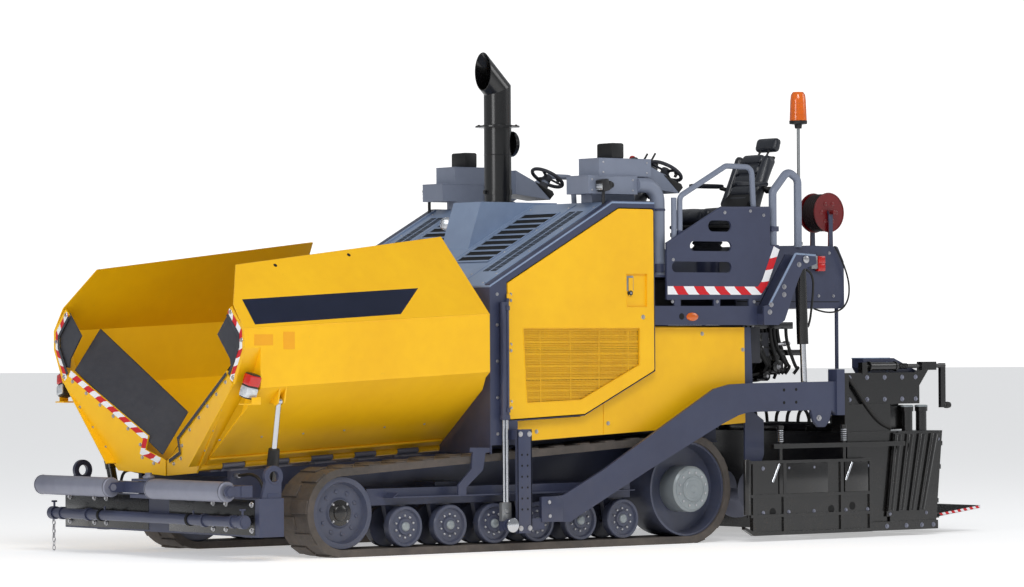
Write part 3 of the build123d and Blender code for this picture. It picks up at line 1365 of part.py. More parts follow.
def make_lift_barrels():
    """Barrels of the screed lift cylinders, hung from their top pins."""
    eye_y = (LIFT_Y - 24, LIFT_Y + 24)
    barrel = rod_y(LIFT_TOP_X, LIFT_TOP_Z, 38, eye_y) + rod(
        lift_point(20), lift_point(LIFT_BARREL_LENGTH), LIFT_BARREL_RADIUS
    )
    barrel -= rod_y(LIFT_TOP_X, LIFT_TOP_Z, 20 + AXLE_GAP, (LIFT_Y - 60, LIFT_Y + 60))
    barrel -= rod(lift_point(60), lift_point(LIFT_BARREL_LENGTH + 1), LIFT_ROD_RADIUS + AXLE_GAP)
    return pair(barrel)


def make_lift_rods():
    """Rods of the lift cylinders, their eyes in the arms' cradles."""
    _, length = lift_axis()
    eye_y = (LIFT_Y - 24, LIFT_Y + 24)
    eye = rod_y(LIFT_LOW_X, LIFT_LOW_Z, 34, eye_y) + rod_y(
        LIFT_LOW_X, LIFT_LOW_Z, 18, (LIFT_Y - 40, LIFT_Y + 40)
    )
    return pair(eye + rod(lift_point(LIFT_BARREL_LENGTH - 90), lift_point(length - 8), LIFT_ROD_RADIUS))


def make_screed_main():
    """Main screed: plate, front wall, ribs, guide tubes, side beams and depth cranks."""
    width = (-SCREED_HALF_WIDTH, SCREED_HALF_WIDTH)
    mid = SCREED_MID_X
    front = block((SCREED_FRONT_X - SCREED_SHEET, SCREED_FRONT_X), width, (SCREED_LOW_Z + 20, SCREED_TOP_Z))
    sole = block((mid, SCREED_FRONT_X), width, (SCREED_LOW_Z, SCREED_LOW_Z + 30))
    deck = block((mid, SCREED_FRONT_X), width, (SCREED_TOP_Z - SCREED_SHEET, SCREED_TOP_Z))
    back = block((mid, mid + SCREED_SHEET), width, (SCREED_LOW_Z, SCREED_TOP_Z))
    screed = front + sole + deck + back
    for y in (-SCREED_HALF_WIDTH, -640, -12, 628, SCREED_HALF_WIDTH - SCREED_SHEET):
        screed += block((mid, SCREED_FRONT_X), (y, y + SCREED_SHEET), (SCREED_LOW_Z, SCREED_TOP_Z))
    hanger = block((-3000, mid + 1), (-8, 8), (TUBE_Z - 120, TUBE_Z + 120))
    screed += hanger
    for x in TUBE_XS:
        screed += rod_y(x, TUBE_Z, TUBE_RADIUS, (-1215, 1215))
    beam = block((-2880, -2067.3), (1140, 1180), (1009, 1249))
    beam += block((-2560, -2100), (1100, 1200), (SCREED_TOP_Z - 1, 1010))
    beam += block((-2110, -2067.3), (1080, 1230), (SCREED_TOP_Z - 1, 1249))
    beam += block((-2680, -2400), (1000, 1141), (COVER_LOW_Z - 12, COVER_LOW_Z))
    screw = rod((-2300, 1160, SCREW_Z), (-3160, 1160, SCREW_Z), 17)
    screw += rod((-2375, 1160, SCREW_Z), (-2645, 1160, SCREW_Z), 32)
    screw += block((-2340, -2290), (1135, 1185), (1239, SCREW_Z + 30))
    screw += block((-3050, -2900), (1130, 1190), (SCREW_Z - 32, SCREW_Z + 32))
    stay = plate_xz([(-2700, 1110), (-2860, 1110), (-3000, 1290), (-2930, 1310)], (1150, 1170))
    crank = block((-3160, -3110), (1146, 1174), (975, SCREW_Z + 20))
    crank += rod((-3150, 1160, 993), (-3215, 1160, 993), 18)
    left = beam + screw + stay + crank
    return screed + [left, mirrored(left)]


def make_screed_boxes():
    """Slate cover boxes on shelves beside the depth screws."""
    outline = [
        (-2356, 1360),
        (-2670, 1360),
        (-2931, 1251),
        (-2931, COVER_LOW_Z + SEAT_CLEARANCE),
        (-2410, COVER_LOW_Z + SEAT_CLEARANCE),
        (-2356, 1290),
    ]
    return pair(plate_xz(outline, (990, 1120)))


def make_screed_extension():
    """Left screed extension on the guide tubes, with its ribbed end and gate holder."""
    front_x = SCREED_MID_X - EXTENSION_GAP
    inner = 20
    outer = 1240
    span = (inner, outer)
    sole = block((SCREED_REAR_X + 76, front_x), span, (SCREED_LOW_Z, SCREED_LOW_Z + 26))
    front = block((front_x - SCREED_SHEET, front_x), span, (SCREED_LOW_Z, SCREED_TOP_Z))
    low_rear_x = SCREED_REAR_X + 75
    rear_profile = [
        (low_rear_x, SCREED_LOW_Z),
        (low_rear_x + 14, SCREED_LOW_Z),
        (SCREED_REAR_X + 14, SCREED_TOP_Z),
        (SCREED_REAR_X, SCREED_TOP_Z),
    ]
    rear = plate_xz(rear_profile, span)
    top = block((SCREED_REAR_X + 1, front_x), span, (SCREED_TOP_Z - SCREED_SHEET, SCREED_TOP_Z))
    body = sole + front + rear + top
    end = [
        (front_x, SCREED_LOW_Z),
        (front_x, SCREED_TOP_Z),
        (SCREED_REAR_X + 1, SCREED_TOP_Z),
        (low_rear_x + 1, SCREED_LOW_Z),
    ]
    walls = plate_xz(
        end, (inner, inner + 16)
    ) + plate_xz(end, (outer - 16, outer)) + plate_xz(end, (620, 636))
    for x in TUBE_XS:
        walls -= rod_y(x, TUBE_Z, TUBE_RADIUS + TUBE_GAP, (inner - 1, outer - 17))
    body += walls
    for index in range(EXTENSION_RIBS):
        low_x = front_x + 130 - index * 106
        top_x = front_x + 53 - index * 123
        flute = [
            (low_x, 190), (low_x - 72, 190), (top_x - 90, SCREED_TOP_Z - 20), (top_x, SCREED_TOP_Z - 20)
        ]
        body += plate_xz(flute, (outer + 7, outer + 22))
    end_plate = [
        (front_x + 136, 150), (-2900, 150), (-3052, SCREED_TOP_Z - 10), (front_x + 60, SCREED_TOP_Z - 10)
    ]
    body += plate_xz(end_plate, (outer - 1, outer + 8))
    body += block((-2990, -2300), (outer - 1, outer + 22), (SCREED_LOW_Z, 112))
    body += block((-2900, front_x + 100), (outer - 1, outer + 8), (111, 151))
    for x in (-2748, -2895):
        body += rod_z(x, 1180, 42, (SCREED_TOP_Z - 1, 960)) + rod_z(x, 1180, 50, (950, 985))
    body += block((-2620, -2400), (outer - 1, GATE_OUTER_Y), (690, 725)) + block(
        (-2420, -1300), (GATE_INNER_Y, GATE_OUTER_Y), (690, 725)
    )
    for x in GATE_ROD_XS:
        body -= rod_z(x, (GATE_INNER_Y + GATE_OUTER_Y) / 2, GATE_ROD_RADIUS + AXLE_GAP, (680, 735))
    lug_z = 140
    for y in (100, 1100):
        body += block((WALKWAY_HINGE_X - 4, low_rear_x + 5), (y, y + 30), (lug_z - 20, lug_z + 20))
    bar = rod_y(WALKWAY_HINGE_X, lug_z, 9, (90, 1140))
    return body + bar


def make_end_gate():
    """End gate plate with ski, stiffeners and its two hanging rods."""
    y = (GATE_INNER_Y, GATE_OUTER_Y)
    mid = (y[0] + y[1]) / 2
    plate = block((-2281, -1100), (mid - 6, mid + 6), (70, 600))
    ski = plate_xz([(-2281, 45), (-1100, 45), (-1010, 95), (-1010, 115), (-1110, 72), (-2281, 72)], y)
    gate = plate + ski
    for z in (180, 330, 580):
        gate += block((-2281, -1070), y, (z, z + 22))
    for x in (-2281, -1990, -1420, -1120):
        gate += block((x, x + 30), y, (60, 600))
    gate += rod_z(-1060, mid, 20, (200, 610)) + block((-1100, -1050), (mid - 8, mid + 8), (180, 600))
    for x in GATE_ROD_XS:
        gate += rod_z(x, mid, GATE_ROD_RADIUS, (590, 860))
        gate += rod_z(x, mid, 26, (835, 860))
    return gate


def make_walkway():
    """Folding walkway behind the extension."""
    hinge = WALKWAY_HINGE_X
    profile = [(hinge - 16, 126), (WALKWAY_REAR_X, 182), (WALKWAY_REAR_X, 204), (hinge - 16, 150)]
    plate = plate_xz(profile, (140, 1090))
    knuckle = rod_y(hinge, 140, 18, (140, 1090)) - rod_y(hinge, 140, 9 + HINGE_PIN_GAP, (130, 1100))
    neck = block((hinge - 30, hinge - 13), (140, 1090), (128, 148))
    return plate + knuckle + neck


LEFT_ONLY = {
    "push_roller": make_push_roller,
    "wing": make_wing,
    "wing_flap": make_wing_flaps,
    "wing_lamp": make_wing_lamp,
    "wing_barrel": make_wing_barrel,
    "wing_rod": make_wing_rod,
    "door": make_door,
    "steering_wheel": make_steering_wheel,
    "seat": make_seat,
    "auger": make_auger,
    "screed_extension": make_screed_extension,
    "end_gate": make_end_gate,
    "walkway": make_walkway,
}
SINGLE = {
    "track_belts": make_track_belts,
    "road_wheels": make_road_wheels,
    "drive_wheels": make_drive_wheels,
    "final_drives": make_final_drives,
    "track_frames": make_track_frames,
    "chassis_frame": make_chassis_frame,
    "front_bumper": make_front_bumper,
    "push_beam": make_push_beam,
    "hopper_floor": make_hopper_floor,
    "conveyor": make_conveyor,
    "body_frame": make_body_frame,
    "side_panels": make_side_panels,
    "hood": make_hood,
    "exhaust_stack": make_exhaust_stack,
    "engine_block": make_engine_block,
    "operator_platform": make_operator_platform,
    "platform_sides": make_platform_sides,
    "handrails": make_handrails,
    "consoles": make_consoles,
    "beacon": make_beacon,
    "rear_brackets": make_rear_brackets,
    "rear_cabinet": make_rear_cabinet,
    "hose_reel": make_hose_reel,
    "lamps": make_lamps,
    "auger_carrier": make_auger_carrier,
    "hydraulics": make_hydraulics,
    "tow_points": make_tow_points,
    "tow_arms": make_tow_arms,
    "lift_barrels": make_lift_barrels,
    "lift_rods": make_lift_rods,
    "screed_main": make_screed_main,
    "screed_boxes": make_screed_boxes,
}

if __name__ == "__main__":
    os.makedirs("parts", exist_ok=True)
    for name, make in SINGLE.items():
        export_step(make(), f"parts/{name}.step")
    for name, make in LEFT_ONLY.items():
        left = make()
        export_step(left, f"parts/{name}_left.step")
        export_step(mirrored(left), f"parts/{name}_right.step")
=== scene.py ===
"""The looks of a rubber-tracked asphalt paver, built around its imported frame.

Every length is in metres. +X is forward, +Y the machine's left and +Z up.
"""

import json
import logging
import math
from dataclasses import dataclass
from enum import Enum
from typing import Callable, Iterable, Optional, Sequence

import bmesh
import bpy
from mathutils import Matrix, Vector


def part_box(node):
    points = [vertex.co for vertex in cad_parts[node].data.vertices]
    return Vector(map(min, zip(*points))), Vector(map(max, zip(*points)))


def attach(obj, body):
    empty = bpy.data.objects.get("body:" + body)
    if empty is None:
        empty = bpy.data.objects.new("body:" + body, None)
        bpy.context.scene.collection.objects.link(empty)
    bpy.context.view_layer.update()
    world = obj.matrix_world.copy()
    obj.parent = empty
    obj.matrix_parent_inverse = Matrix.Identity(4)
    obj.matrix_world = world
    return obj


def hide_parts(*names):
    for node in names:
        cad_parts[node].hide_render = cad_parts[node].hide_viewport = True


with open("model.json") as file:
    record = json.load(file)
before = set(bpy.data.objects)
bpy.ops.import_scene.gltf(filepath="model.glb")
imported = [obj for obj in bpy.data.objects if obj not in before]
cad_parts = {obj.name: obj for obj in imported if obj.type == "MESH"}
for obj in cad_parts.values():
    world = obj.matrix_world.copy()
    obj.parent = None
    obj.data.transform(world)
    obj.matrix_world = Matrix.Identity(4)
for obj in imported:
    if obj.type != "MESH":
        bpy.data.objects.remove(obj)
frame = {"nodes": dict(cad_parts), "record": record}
log = logging.getLogger("paver")

Point = tuple[float, float, float]
Flat = tuple[float, float]
Colour = tuple[float, float, float]

SIDES = (("left", 1), ("right", -1))
FORWARD: Point = (1.0, 0.0, 0.0)
OUTWARD: Point = (0.0, 1.0, 0.0)
UPWARD: Point = (0.0, 0.0, 1.0)
TAPE_MAP = "tape"
WELD = 1e-5
SMOOTH_BELOW = math.radians(38.0)


class Axis(Enum):
    """The direction that a flat outline is drawn out along."""

    X = "x"
    Y = "y"
    Z = "z"


def linear(colour: Colour) -> tuple[float, float, float, float]:
    """Turn a display colour from 0 to 1 into a linear one with alpha.

    Args:
        colour: Red, green and blue as they look on a screen.

    Returns:
        The same colour for a shader socket.
    """
    parts = [c / 12.92 if c <= 0.04045 else ((c + 0.055) / 1.055) ** 2.4 for c in colour]
    return (parts[0], parts[1], parts[2], 1.0)


class Tree:
    """A thin hand for wiring shader nodes."""

    def __init__(self, tree: bpy.types.NodeTree) -> None:
        """Keep the tree that is wired."""
        self.tree = tree

    def add(self, kind: str, **settings: object) -> bpy.types.Node:
        """Add a node.

        Args:
            kind: The node's class, such as ShaderNodeMix.
            settings: Properties of the node, set after it is made.

        Returns:
            The new node.
        """
        node = self.tree.nodes.new(kind)
        for name, value in settings.items():
            setattr(node, name, value)
        return node

    def link(self, source: bpy.types.NodeSocket, target: bpy.types.NodeSocket) -> None:
        """Join two sockets."""
        self.tree.links.new(source, target)

    def maths(self, operation: str, first: object, second: object = 0.0,
              third: object = 0.0) -> bpy.types.NodeSocket:
        """Add a Math node and return its output.

        Args:
            operation: The Math node's operation.
            first: A socket or a number.
            second: A socket or a number.
            third: A socket or a number.

        Returns:
            The node's value socket.
        """
        node = self.add("ShaderNodeMath", operation=operation)
        for index, value in enumerate((first, second, third)):
            if isinstance(value, bpy.types.NodeSocket):
                self.link(value, node.inputs[index])
            else:
                node.inputs[index].default_value = value
        return node.outputs[0]

    def ramp(self, value: bpy.types.NodeSocket, low: float, high: float) -> bpy.types.NodeSocket:
        """Spread the values between low and high over 0 to 1.

        Args:
            value: The socket to spread.
            low: The value that becomes 0.
            high: The value that becomes 1.

        Returns:
            The spread value, held within 0 and 1.
        """
        node = self.add("ShaderNodeMapRange", clamp=True)
        self.link(value, node.inputs[0])
        node.inputs[1].default_value = low
        node.inputs[2].default_value = high
        return node.outputs[0]

    def mix(self, mask: object, first: object, second: object) -> bpy.types.NodeSocket:
        """Blend two colours by a mask.

        Args:
            mask: A socket or a number from 0 to 1.
            first: The colour or socket at mask 0.
            second: The colour or socket at mask 1.

        Returns:
            The blended colour socket.
        """
        node = self.add("ShaderNodeMix", data_type="RGBA")
        for value, socket in ((mask, node.inputs[0]), (first, node.inputs[6]), (second, node.inputs[7])):
            if isinstance(value, bpy.types.NodeSocket):
                self.link(value, socket)
            else:
                socket.default_value = value
        return node.outputs[2]


class Effect:
    """A shared effect: a shader group that turns the object's place into masks."""

    made: dict[str, bpy.types.NodeTree] = {}

    @classmethod
    def group(cls, name: str, inputs: dict[str, float], outputs: Sequence[str],
              wire: Callable[[Tree, bpy.types.Node, bpy.types.Node], None]) -> bpy.types.NodeTree:
        """Make the group once and keep it.

        Args:
            name: The group's name.
            inputs: Each input's name and its usual value.
            outputs: The names of the outputs.
            wire: A function that wires the inside.

        Returns:
            The group.
        """
        if name not in cls.made:
            tree = bpy.data.node_groups.new(name, "ShaderNodeTree")
            for label, value in inputs.items():
                socket = tree.interface.new_socket(label, in_out="INPUT", socket_type="NodeSocketFloat")
                socket.default_value = value
            for label in outputs:
                tree.interface.new_socket(label, in_out="OUTPUT", socket_type="NodeSocketFloat")
            hand = Tree(tree)
            wire(hand, hand.add("NodeGroupInput"), hand.add("NodeGroupOutput"))
            cls.made[name] = tree
        return cls.made[name]

    @classmethod
    def place(cls, hand: Tree, tree: bpy.types.NodeTree, **values: float) -> bpy.types.Node:
        """Put the group in a material.

        Args:
            hand: The material's tree.
            tree: The group.
            values: Numbers for the group's inputs, with spaces as underscores.

        Returns:
            The group node.
        """
        node = hand.add("ShaderNodeGroup", node_tree=tree)
        for name, value in values.items():
            node.inputs[name.replace("_", " ")].default_value = value
        return node


def cloudiness() -> bpy.types.NodeTree:
    """Broad soft patches, as on sprayed paint that has been outdoors."""

    def wire(hand: Tree, start: bpy.types.Node, end: bpy.types.Node) -> None:
        """Wire two noises of unlike sizes into one mask."""
        place = hand.add("ShaderNodeTexCoord")
        broad = hand.add("ShaderNodeTexNoise")
        fine = hand.add("ShaderNodeTexNoise")
        for noise, times in ((broad, 1.0), (fine, 7.0)):
            hand.link(place.outputs["Object"], noise.inputs["Vector"])
            hand.link(hand.maths("MULTIPLY", start.outputs["Scale"], times), noise.inputs["Scale"])
            noise.inputs["Detail"].default_value = 4.0
        both = hand.maths("MULTIPLY_ADD", fine.outputs["Fac"], 0.35,
                          hand.maths("MULTIPLY", broad.outputs["Fac"], 0.65))
        hand.link(hand.ramp(both, 0.35, 0.65), end.inputs["Mask"])

    return Effect.group("cloudiness", {"Scale": 1.5}, ["Mask"], wire)


def road_dust() -> bpy.types.NodeTree:
    """Pale dust that thickens towards the ground and on faces that look up."""

    def wire(hand: Tree, start: bpy.types.Node, end: bpy.types.Node) -> None:
        """Wire height, upward faces and noise into one mask."""
        place = hand.add("ShaderNodeTexCoord")
        split = hand.add("ShaderNodeSeparateXYZ")
        hand.link(place.outputs["Object"], split.inputs[0])
        facing = hand.add("ShaderNodeSeparateXYZ")
        geometry = hand.add("ShaderNodeNewGeometry")
        hand.link(geometry.outputs["Normal"], facing.inputs[0])
        low = hand.maths("SUBTRACT", 1.0, hand.ramp(split.outputs["Z"], 0.0, 1.5))
        up = hand.ramp(facing.outputs["Z"], 0.55, 1.0)
        noise = hand.add("ShaderNodeTexNoise")
        hand.link(place.outputs["Object"], noise.inputs["Vector"])
        noise.inputs["Scale"].default_value = 9.0
        noise.inputs["Detail"].default_value = 6.0
        noise.inputs["Roughness"].default_value = 0.65
        patch = hand.ramp(noise.outputs["Fac"], 0.38, 0.72)
        both = hand.maths("MULTIPLY_ADD", up, 0.5, low)
        spread = hand.maths("MULTIPLY", both, hand.maths("MULTIPLY_ADD", patch, 0.8, 0.2))
        amount = hand.maths("MULTIPLY", spread, start.outputs["Amount"])
        hand.link(hand.maths("MINIMUM", amount, 1.0), end.inputs["Mask"])

    return Effect.group("road_dust", {"Amount": 0.5}, ["Mask"], wire)


def orange_peel() -> bpy.types.NodeTree:
    """The faint dimpling of thick paint, as a height."""

    def wire(hand: Tree, start: bpy.types.Node, end: bpy.types.Node) -> None:
        """Wire a fine noise into a height."""
        place = hand.add("ShaderNodeTexCoord")
        noise = hand.add("ShaderNodeTexNoise")
        hand.link(place.outputs["Object"], noise.inputs["Vector"])
        hand.link(start.outputs["Scale"], noise.inputs["Scale"])
        noise.inputs["Detail"].default_value = 2.0
        hand.link(noise.outputs["Fac"], end.inputs["Height"])

    return Effect.group("orange_peel", {"Scale": 220.0}, ["Height"], wire)


def scuffs() -> bpy.types.NodeTree:
    """Thin scratches and small chips, as a mask."""

    def wire(hand: Tree, start: bpy.types.Node, end: bpy.types.Node) -> None:
        """Wire stretched noise and spots into one mask."""
        place = hand.add("ShaderNodeTexCoord")
        stretch = hand.add("ShaderNodeMapping")
        stretch.inputs["Scale"].default_value = (3.0, 9.0, 40.0)
        stretch.inputs["Rotation"].default_value = (0.3, 0.5, 0.2)
        hand.link(place.outputs["Object"], stretch.inputs["Vector"])
        lines = hand.add("ShaderNodeTexNoise")
        hand.link(stretch.outputs[0], lines.inputs["Vector"])
        lines.inputs["Scale"].default_value = 2.5
        lines.inputs["Detail"].default_value = 8.0
        lines.inputs["Roughness"].default_value = 0.7
        spots = hand.add("ShaderNodeTexNoise")
        hand.link(place.outputs["Object"], spots.inputs["Vector"])
        spots.inputs["Scale"].default_value = 34.0
        spots.inputs["Detail"].default_value = 3.0
        chips = hand.ramp(spots.outputs["Fac"], 0.72, 0.76)
        thin = hand.ramp(lines.outputs["Fac"], 0.70, 0.74)
        hand.link(hand.maths("MULTIPLY", hand.maths("MAXIMUM", chips, thin), start.outputs["Amount"]),
                  end.inputs["Mask"])

    return Effect.group("scuffs", {"Amount": 0.5}, ["Mask"], wire)


DUST_COLOUR = (0.52, 0.48, 0.43)


@dataclass(frozen=True)
class Finish:
    """One finish of the machine: a Principled surface with dust, clouding and grain."""

    name: str
    colour: Colour
    shade: Colour
    roughness: float = 0.4
    metallic: float = 0.0
    coat: float = 0.0
    cloud_scale: float = 1.5
    dust: float = 0.3
    scuff: float = 0.3
    scuff_colour: Colour = (0.30, 0.30, 0.31)
    grain: float = 220.0
    bump: float = 0.02
    round_edges: float = 0.003
    transmission: float = 0.0
    slot: str = ""

    @property
    def record_slot(self) -> str:
        """The record's material slot, which is the finish's own name unless another is given."""
        return self.slot or self.name

    def material(self) -> bpy.types.Material:
        """Build the material, or return the one already built."""
        known = bpy.data.materials.get(f"finish_{self.name}")
        if known:
            return known
        material = bpy.data.materials.new(f"finish_{self.name}")
        material.use_nodes = True
        hand = Tree(material.node_tree)
        surface = material.node_tree.nodes["Principled BSDF"]
        self.wire(hand, surface)
        return material

    def base(self, hand: Tree) -> bpy.types.NodeSocket:
        """The clean colour, before scuffs and dust."""
        cloud = Effect.place(hand, cloudiness(), Scale=self.cloud_scale)
        return hand.mix(cloud.outputs["Mask"], linear(self.colour), linear(self.shade))

    def wire(self, hand: Tree, surface: bpy.types.Node) -> None:
        """Wire the finish.

        Args:
            hand: The material's tree.
            surface: The material's Principled node.
        """
        colour = self.base(hand)
        rough: object = self.roughness
        if self.scuff:
            worn = Effect.place(hand, scuffs(), Amount=self.scuff).outputs["Mask"]
            colour = hand.mix(worn, colour, linear(self.scuff_colour))
        if self.dust:
            dust = Effect.place(hand, road_dust(), Amount=self.dust).outputs["Mask"]
            colour = hand.mix(dust, colour, linear(DUST_COLOUR))
            rough = hand.maths("MULTIPLY_ADD", dust, 0.9 - self.roughness, self.roughness)
        hand.link(colour, surface.inputs["Base Color"])
        if isinstance(rough, bpy.types.NodeSocket):
            hand.link(rough, surface.inputs["Roughness"])
        else:
            surface.inputs["Roughness"].default_value = rough
        surface.inputs["Metallic"].default_value = self.metallic
        surface.inputs["Coat Weight"].default_value = self.coat
        surface.inputs["Coat Roughness"].default_value = 0.12
        surface.inputs["Transmission Weight"].default_value = self.transmission
        self.relief(hand, surface)

    def relief(self, hand: Tree, surface: bpy.types.Node) -> None:
        """Give the surface its grain, over edges that catch the light."""
        bump = hand.add("ShaderNodeBump")
        bump.inputs["Strength"].default_value = 1.0
        bump.inputs["Distance"].default_value = self.bump * 0.01
        height = Effect.place(hand, orange_peel(), Scale=self.grain)
        hand.link(height.outputs["Height"], bump.inputs["Height"])
        if self.round_edges:
            edge = hand.add("ShaderNodeBevel", samples=4)
            edge.inputs["Radius"].default_value = self.round_edges
            hand.link(edge.outputs[0], bump.inputs["Normal"])
        hand.link(bump.outputs[0], surface.inputs["Normal"])


YELLOW = Finish("yellow_paint", (0.98, 0.755, 0.00), (0.95, 0.715, 0.00), roughness=0.44, coat=0.06,
                dust=0.0, scuff=0.06)
SLATE = Finish("slate_paint", (0.23, 0.255, 0.355), (0.205, 0.225, 0.32), roughness=0.40, coat=0.15,
               dust=0.06, scuff=0.15)
HOOD = Finish("hood_paint", (0.54, 0.61, 0.72), (0.49, 0.56, 0.67), roughness=0.36, coat=0.2, dust=0.05,
              scuff=0.12)
CONSOLE = Finish("console_paint", (0.50, 0.53, 0.60), (0.46, 0.49, 0.56), roughness=0.42, dust=0.04,
                 scuff=0.12)
BLACK = Finish("black_paint", (0.030, 0.030, 0.034), (0.055, 0.055, 0.060), roughness=0.26, coat=0.45,
               dust=0.04, scuff=0.25, scuff_colour=(0.16, 0.155, 0.15))
RED = Finish("red_paint", (0.45, 0.03, 0.05), (0.36, 0.02, 0.04), roughness=0.35, coat=0.3, dust=0.08)
BELT = Finish("track_rubber", (0.34, 0.31, 0.295), (0.25, 0.235, 0.225), roughness=0.8, dust=0.25,
              scuff=0.5, scuff_colour=(0.42, 0.39, 0.36), grain=60.0, bump=0.12, cloud_scale=3.0)
FLAP = Finish("black_rubber", (0.19, 0.195, 0.225), (0.235, 0.24, 0.265), roughness=0.75, dust=0.10,
              scuff=0.6, scuff_colour=(0.33, 0.33, 0.35), grain=90.0, bump=0.08, cloud_scale=3.0)
WHEEL = Finish("wheel_paint", (0.27, 0.295, 0.38), (0.23, 0.25, 0.33), roughness=0.38, coat=0.2,
               dust=0.12, scuff=0.3, scuff_colour=(0.45, 0.45, 0.46))
HUB = Finish("hub_paint", (0.60, 0.63, 0.64), (0.53, 0.56, 0.58), roughness=0.38, metallic=0.3, dust=0.08,
             scuff=0.3)
STEEL = Finish("bare_steel", (0.54, 0.55, 0.61), (0.47, 0.48, 0.54), roughness=0.42, metallic=0.3,
               dust=0.05, scuff=0.5, scuff_colour=(0.55, 0.52, 0.48), grain=120.0)
CHROME = Finish("chrome", (0.80, 0.81, 0.83), (0.74, 0.75, 0.77), roughness=0.12, metallic=1.0, dust=0.02,
                scuff=0.1)
AMBER = Finish("amber_lens", (1.0, 0.48, 0.02), (0.95, 0.42, 0.02), roughness=0.15, coat=0.6, dust=0.0,
               scuff=0.0, transmission=0.35, round_edges=0.0)
LAMP = Finish("lamp_plastic", (0.10, 0.10, 0.11), (0.13, 0.13, 0.14), roughness=0.45, dust=0.1)
SEAT = Finish("seat_vinyl", (0.13, 0.15, 0.19), (0.16, 0.18, 0.22), roughness=0.55, dust=0.05, scuff=0.2,
              scuff_colour=(0.25, 0.26, 0.29), grain=300.0, bump=0.08, round_edges=0.0)
CAST = Finish("cast_block", (0.22, 0.22, 0.23), (0.17, 0.17, 0.18), roughness=0.7, dust=0.3, grain=80.0,
              bump=0.1)

FINISHES = {finish.name: finish for finish in (
    YELLOW, SLATE, HOOD, CONSOLE, BLACK, RED, BELT, FLAP, WHEEL, HUB, STEEL, CHROME, AMBER, LAMP, SEAT,
    CAST,
)}

ZINC = Finish("zinc_bolt", (0.80, 0.80, 0.81), (0.68, 0.68, 0.70), roughness=0.28, metallic=0.9,
              dust=0.05, scuff=0.2, round_edges=0.0, slot="chrome")
PLASTIC = Finish("black_plastic", (0.045, 0.045, 0.05), (0.06, 0.06, 0.065), roughness=0.5, dust=0.04,
                 scuff=0.1, grain=400.0, bump=0.04, round_edges=0.0, slot="black_paint")
HOSE = Finish("hose_rubber", (0.07, 0.07, 0.075), (0.10, 0.10, 0.10), roughness=0.6, dust=0.12, scuff=0.1,
              round_edges=0.0, slot="black_rubber")
BAND = Finish("band_paint", (0.16, 0.19, 0.30), (0.14, 0.17, 0.27), roughness=0.35, coat=0.3, dust=0.0,
              scuff=0.05, round_edges=0.0, slot="slate_paint")
RED_LENS = Finish("red_lens", (0.85, 0.08, 0.03), (0.70, 0.05, 0.02), roughness=0.15, coat=0.6, dust=0.0,
                  scuff=0.0, round_edges=0.0, slot="lamp_plastic")
CLEAR_LENS = Finish("clear_lens", (0.88, 0.89, 0.90), (0.70, 0.72, 0.74), roughness=0.10, coat=0.6,
                    metallic=0.3, dust=0.0, scuff=0.0, cloud_scale=30.0, round_edges=0.0,
                    slot="lamp_plastic")
BLANK_PLATE = Finish("blank_plate", (0.95, 0.66, 0.04), (0.90, 0.62, 0.04), roughness=0.5, dust=0.0,
                     scuff=0.05, round_edges=0.0, slot="yellow_paint")
POLE = Finish("grey_pole", (0.60, 0.61, 0.62), (0.52, 0.53, 0.54), roughness=0.35, metallic=0.6,
              dust=0.02, scuff=0.1, slot="bare_steel")
# Flat black used as painted shade in holes, slots, the tow tube's open ends, the door's board gaps and the
# louvre openings; it also colours some seams, plugs, strips and grilles.
DARK = Finish("shade_black", (0.02, 0.02, 0.022), (0.03, 0.03, 0.033), roughness=0.8, dust=0.0, scuff=0.0,
              round_edges=0.0, slot="black_paint")
SEAT_VINYL = Finish("padded_vinyl", (0.10, 0.115, 0.15), (0.13, 0.145, 0.18), roughness=0.36, coat=0.15,
                    dust=0.03, scuff=0.1, scuff_colour=(0.22, 0.23, 0.26), grain=340.0, bump=0.10,
                    round_edges=0.0, slot="seat_vinyl")
RED_HOSE = Finish("reel_hose", (0.10, 0.02, 0.025), (0.13, 0.02, 0.03), roughness=0.55, dust=0.02,
                  scuff=0.1, round_edges=0.0, slot="red_paint")


@dataclass(frozen=True)
class TapeFinish(Finish):
    """Red and white hazard tape, striped along the piece's own UV map."""

    red: Colour = (0.80, 0.03, 0.10)
    slant: float = 0.75
    pairs: float = 0.31

    def base(self, hand: Tree) -> bpy.types.NodeSocket:
        """Slanted stripes, one pair for about three widths of tape."""
        place = hand.add("ShaderNodeUVMap", uv_map=TAPE_MAP)
        split = hand.add("ShaderNodeSeparateXYZ")
        hand.link(place.outputs[0], split.inputs[0])
        along = hand.maths("MULTIPLY_ADD", split.outputs["Y"], self.slant, split.outputs["X"])
        wave = hand.maths("FRACT", hand.maths("MULTIPLY", along, self.pairs))
        mask = hand.maths("GREATER_THAN", wave, 0.5)
        return hand.mix(mask, linear(self.colour), linear(self.red))


@dataclass(frozen=True)
class MeshFinish(Finish):
    """A fine woven guard: the surface is open between the wires."""

    pitch: float = 0.0125
    wire_share: float = 0.42

    def wire(self, hand: Tree, surface: bpy.types.Node) -> None:
        """Wire the finish, then open the gaps between the wires."""
        super().wire(hand, surface)
        place = hand.add("ShaderNodeTexCoord")
        split = hand.add("ShaderNodeSeparateXYZ")
        hand.link(place.outputs["Object"], split.inputs[0])
        rows = []
        for letter in ("X", "Z"):
            wave = hand.maths("FRACT", hand.maths("DIVIDE", split.outputs[letter], self.pitch))
            rows.append(hand.maths("LESS_THAN", wave, self.wire_share))
        hand.link(hand.maths("MAXIMUM", rows[0], rows[1]), surface.inputs["Alpha"])


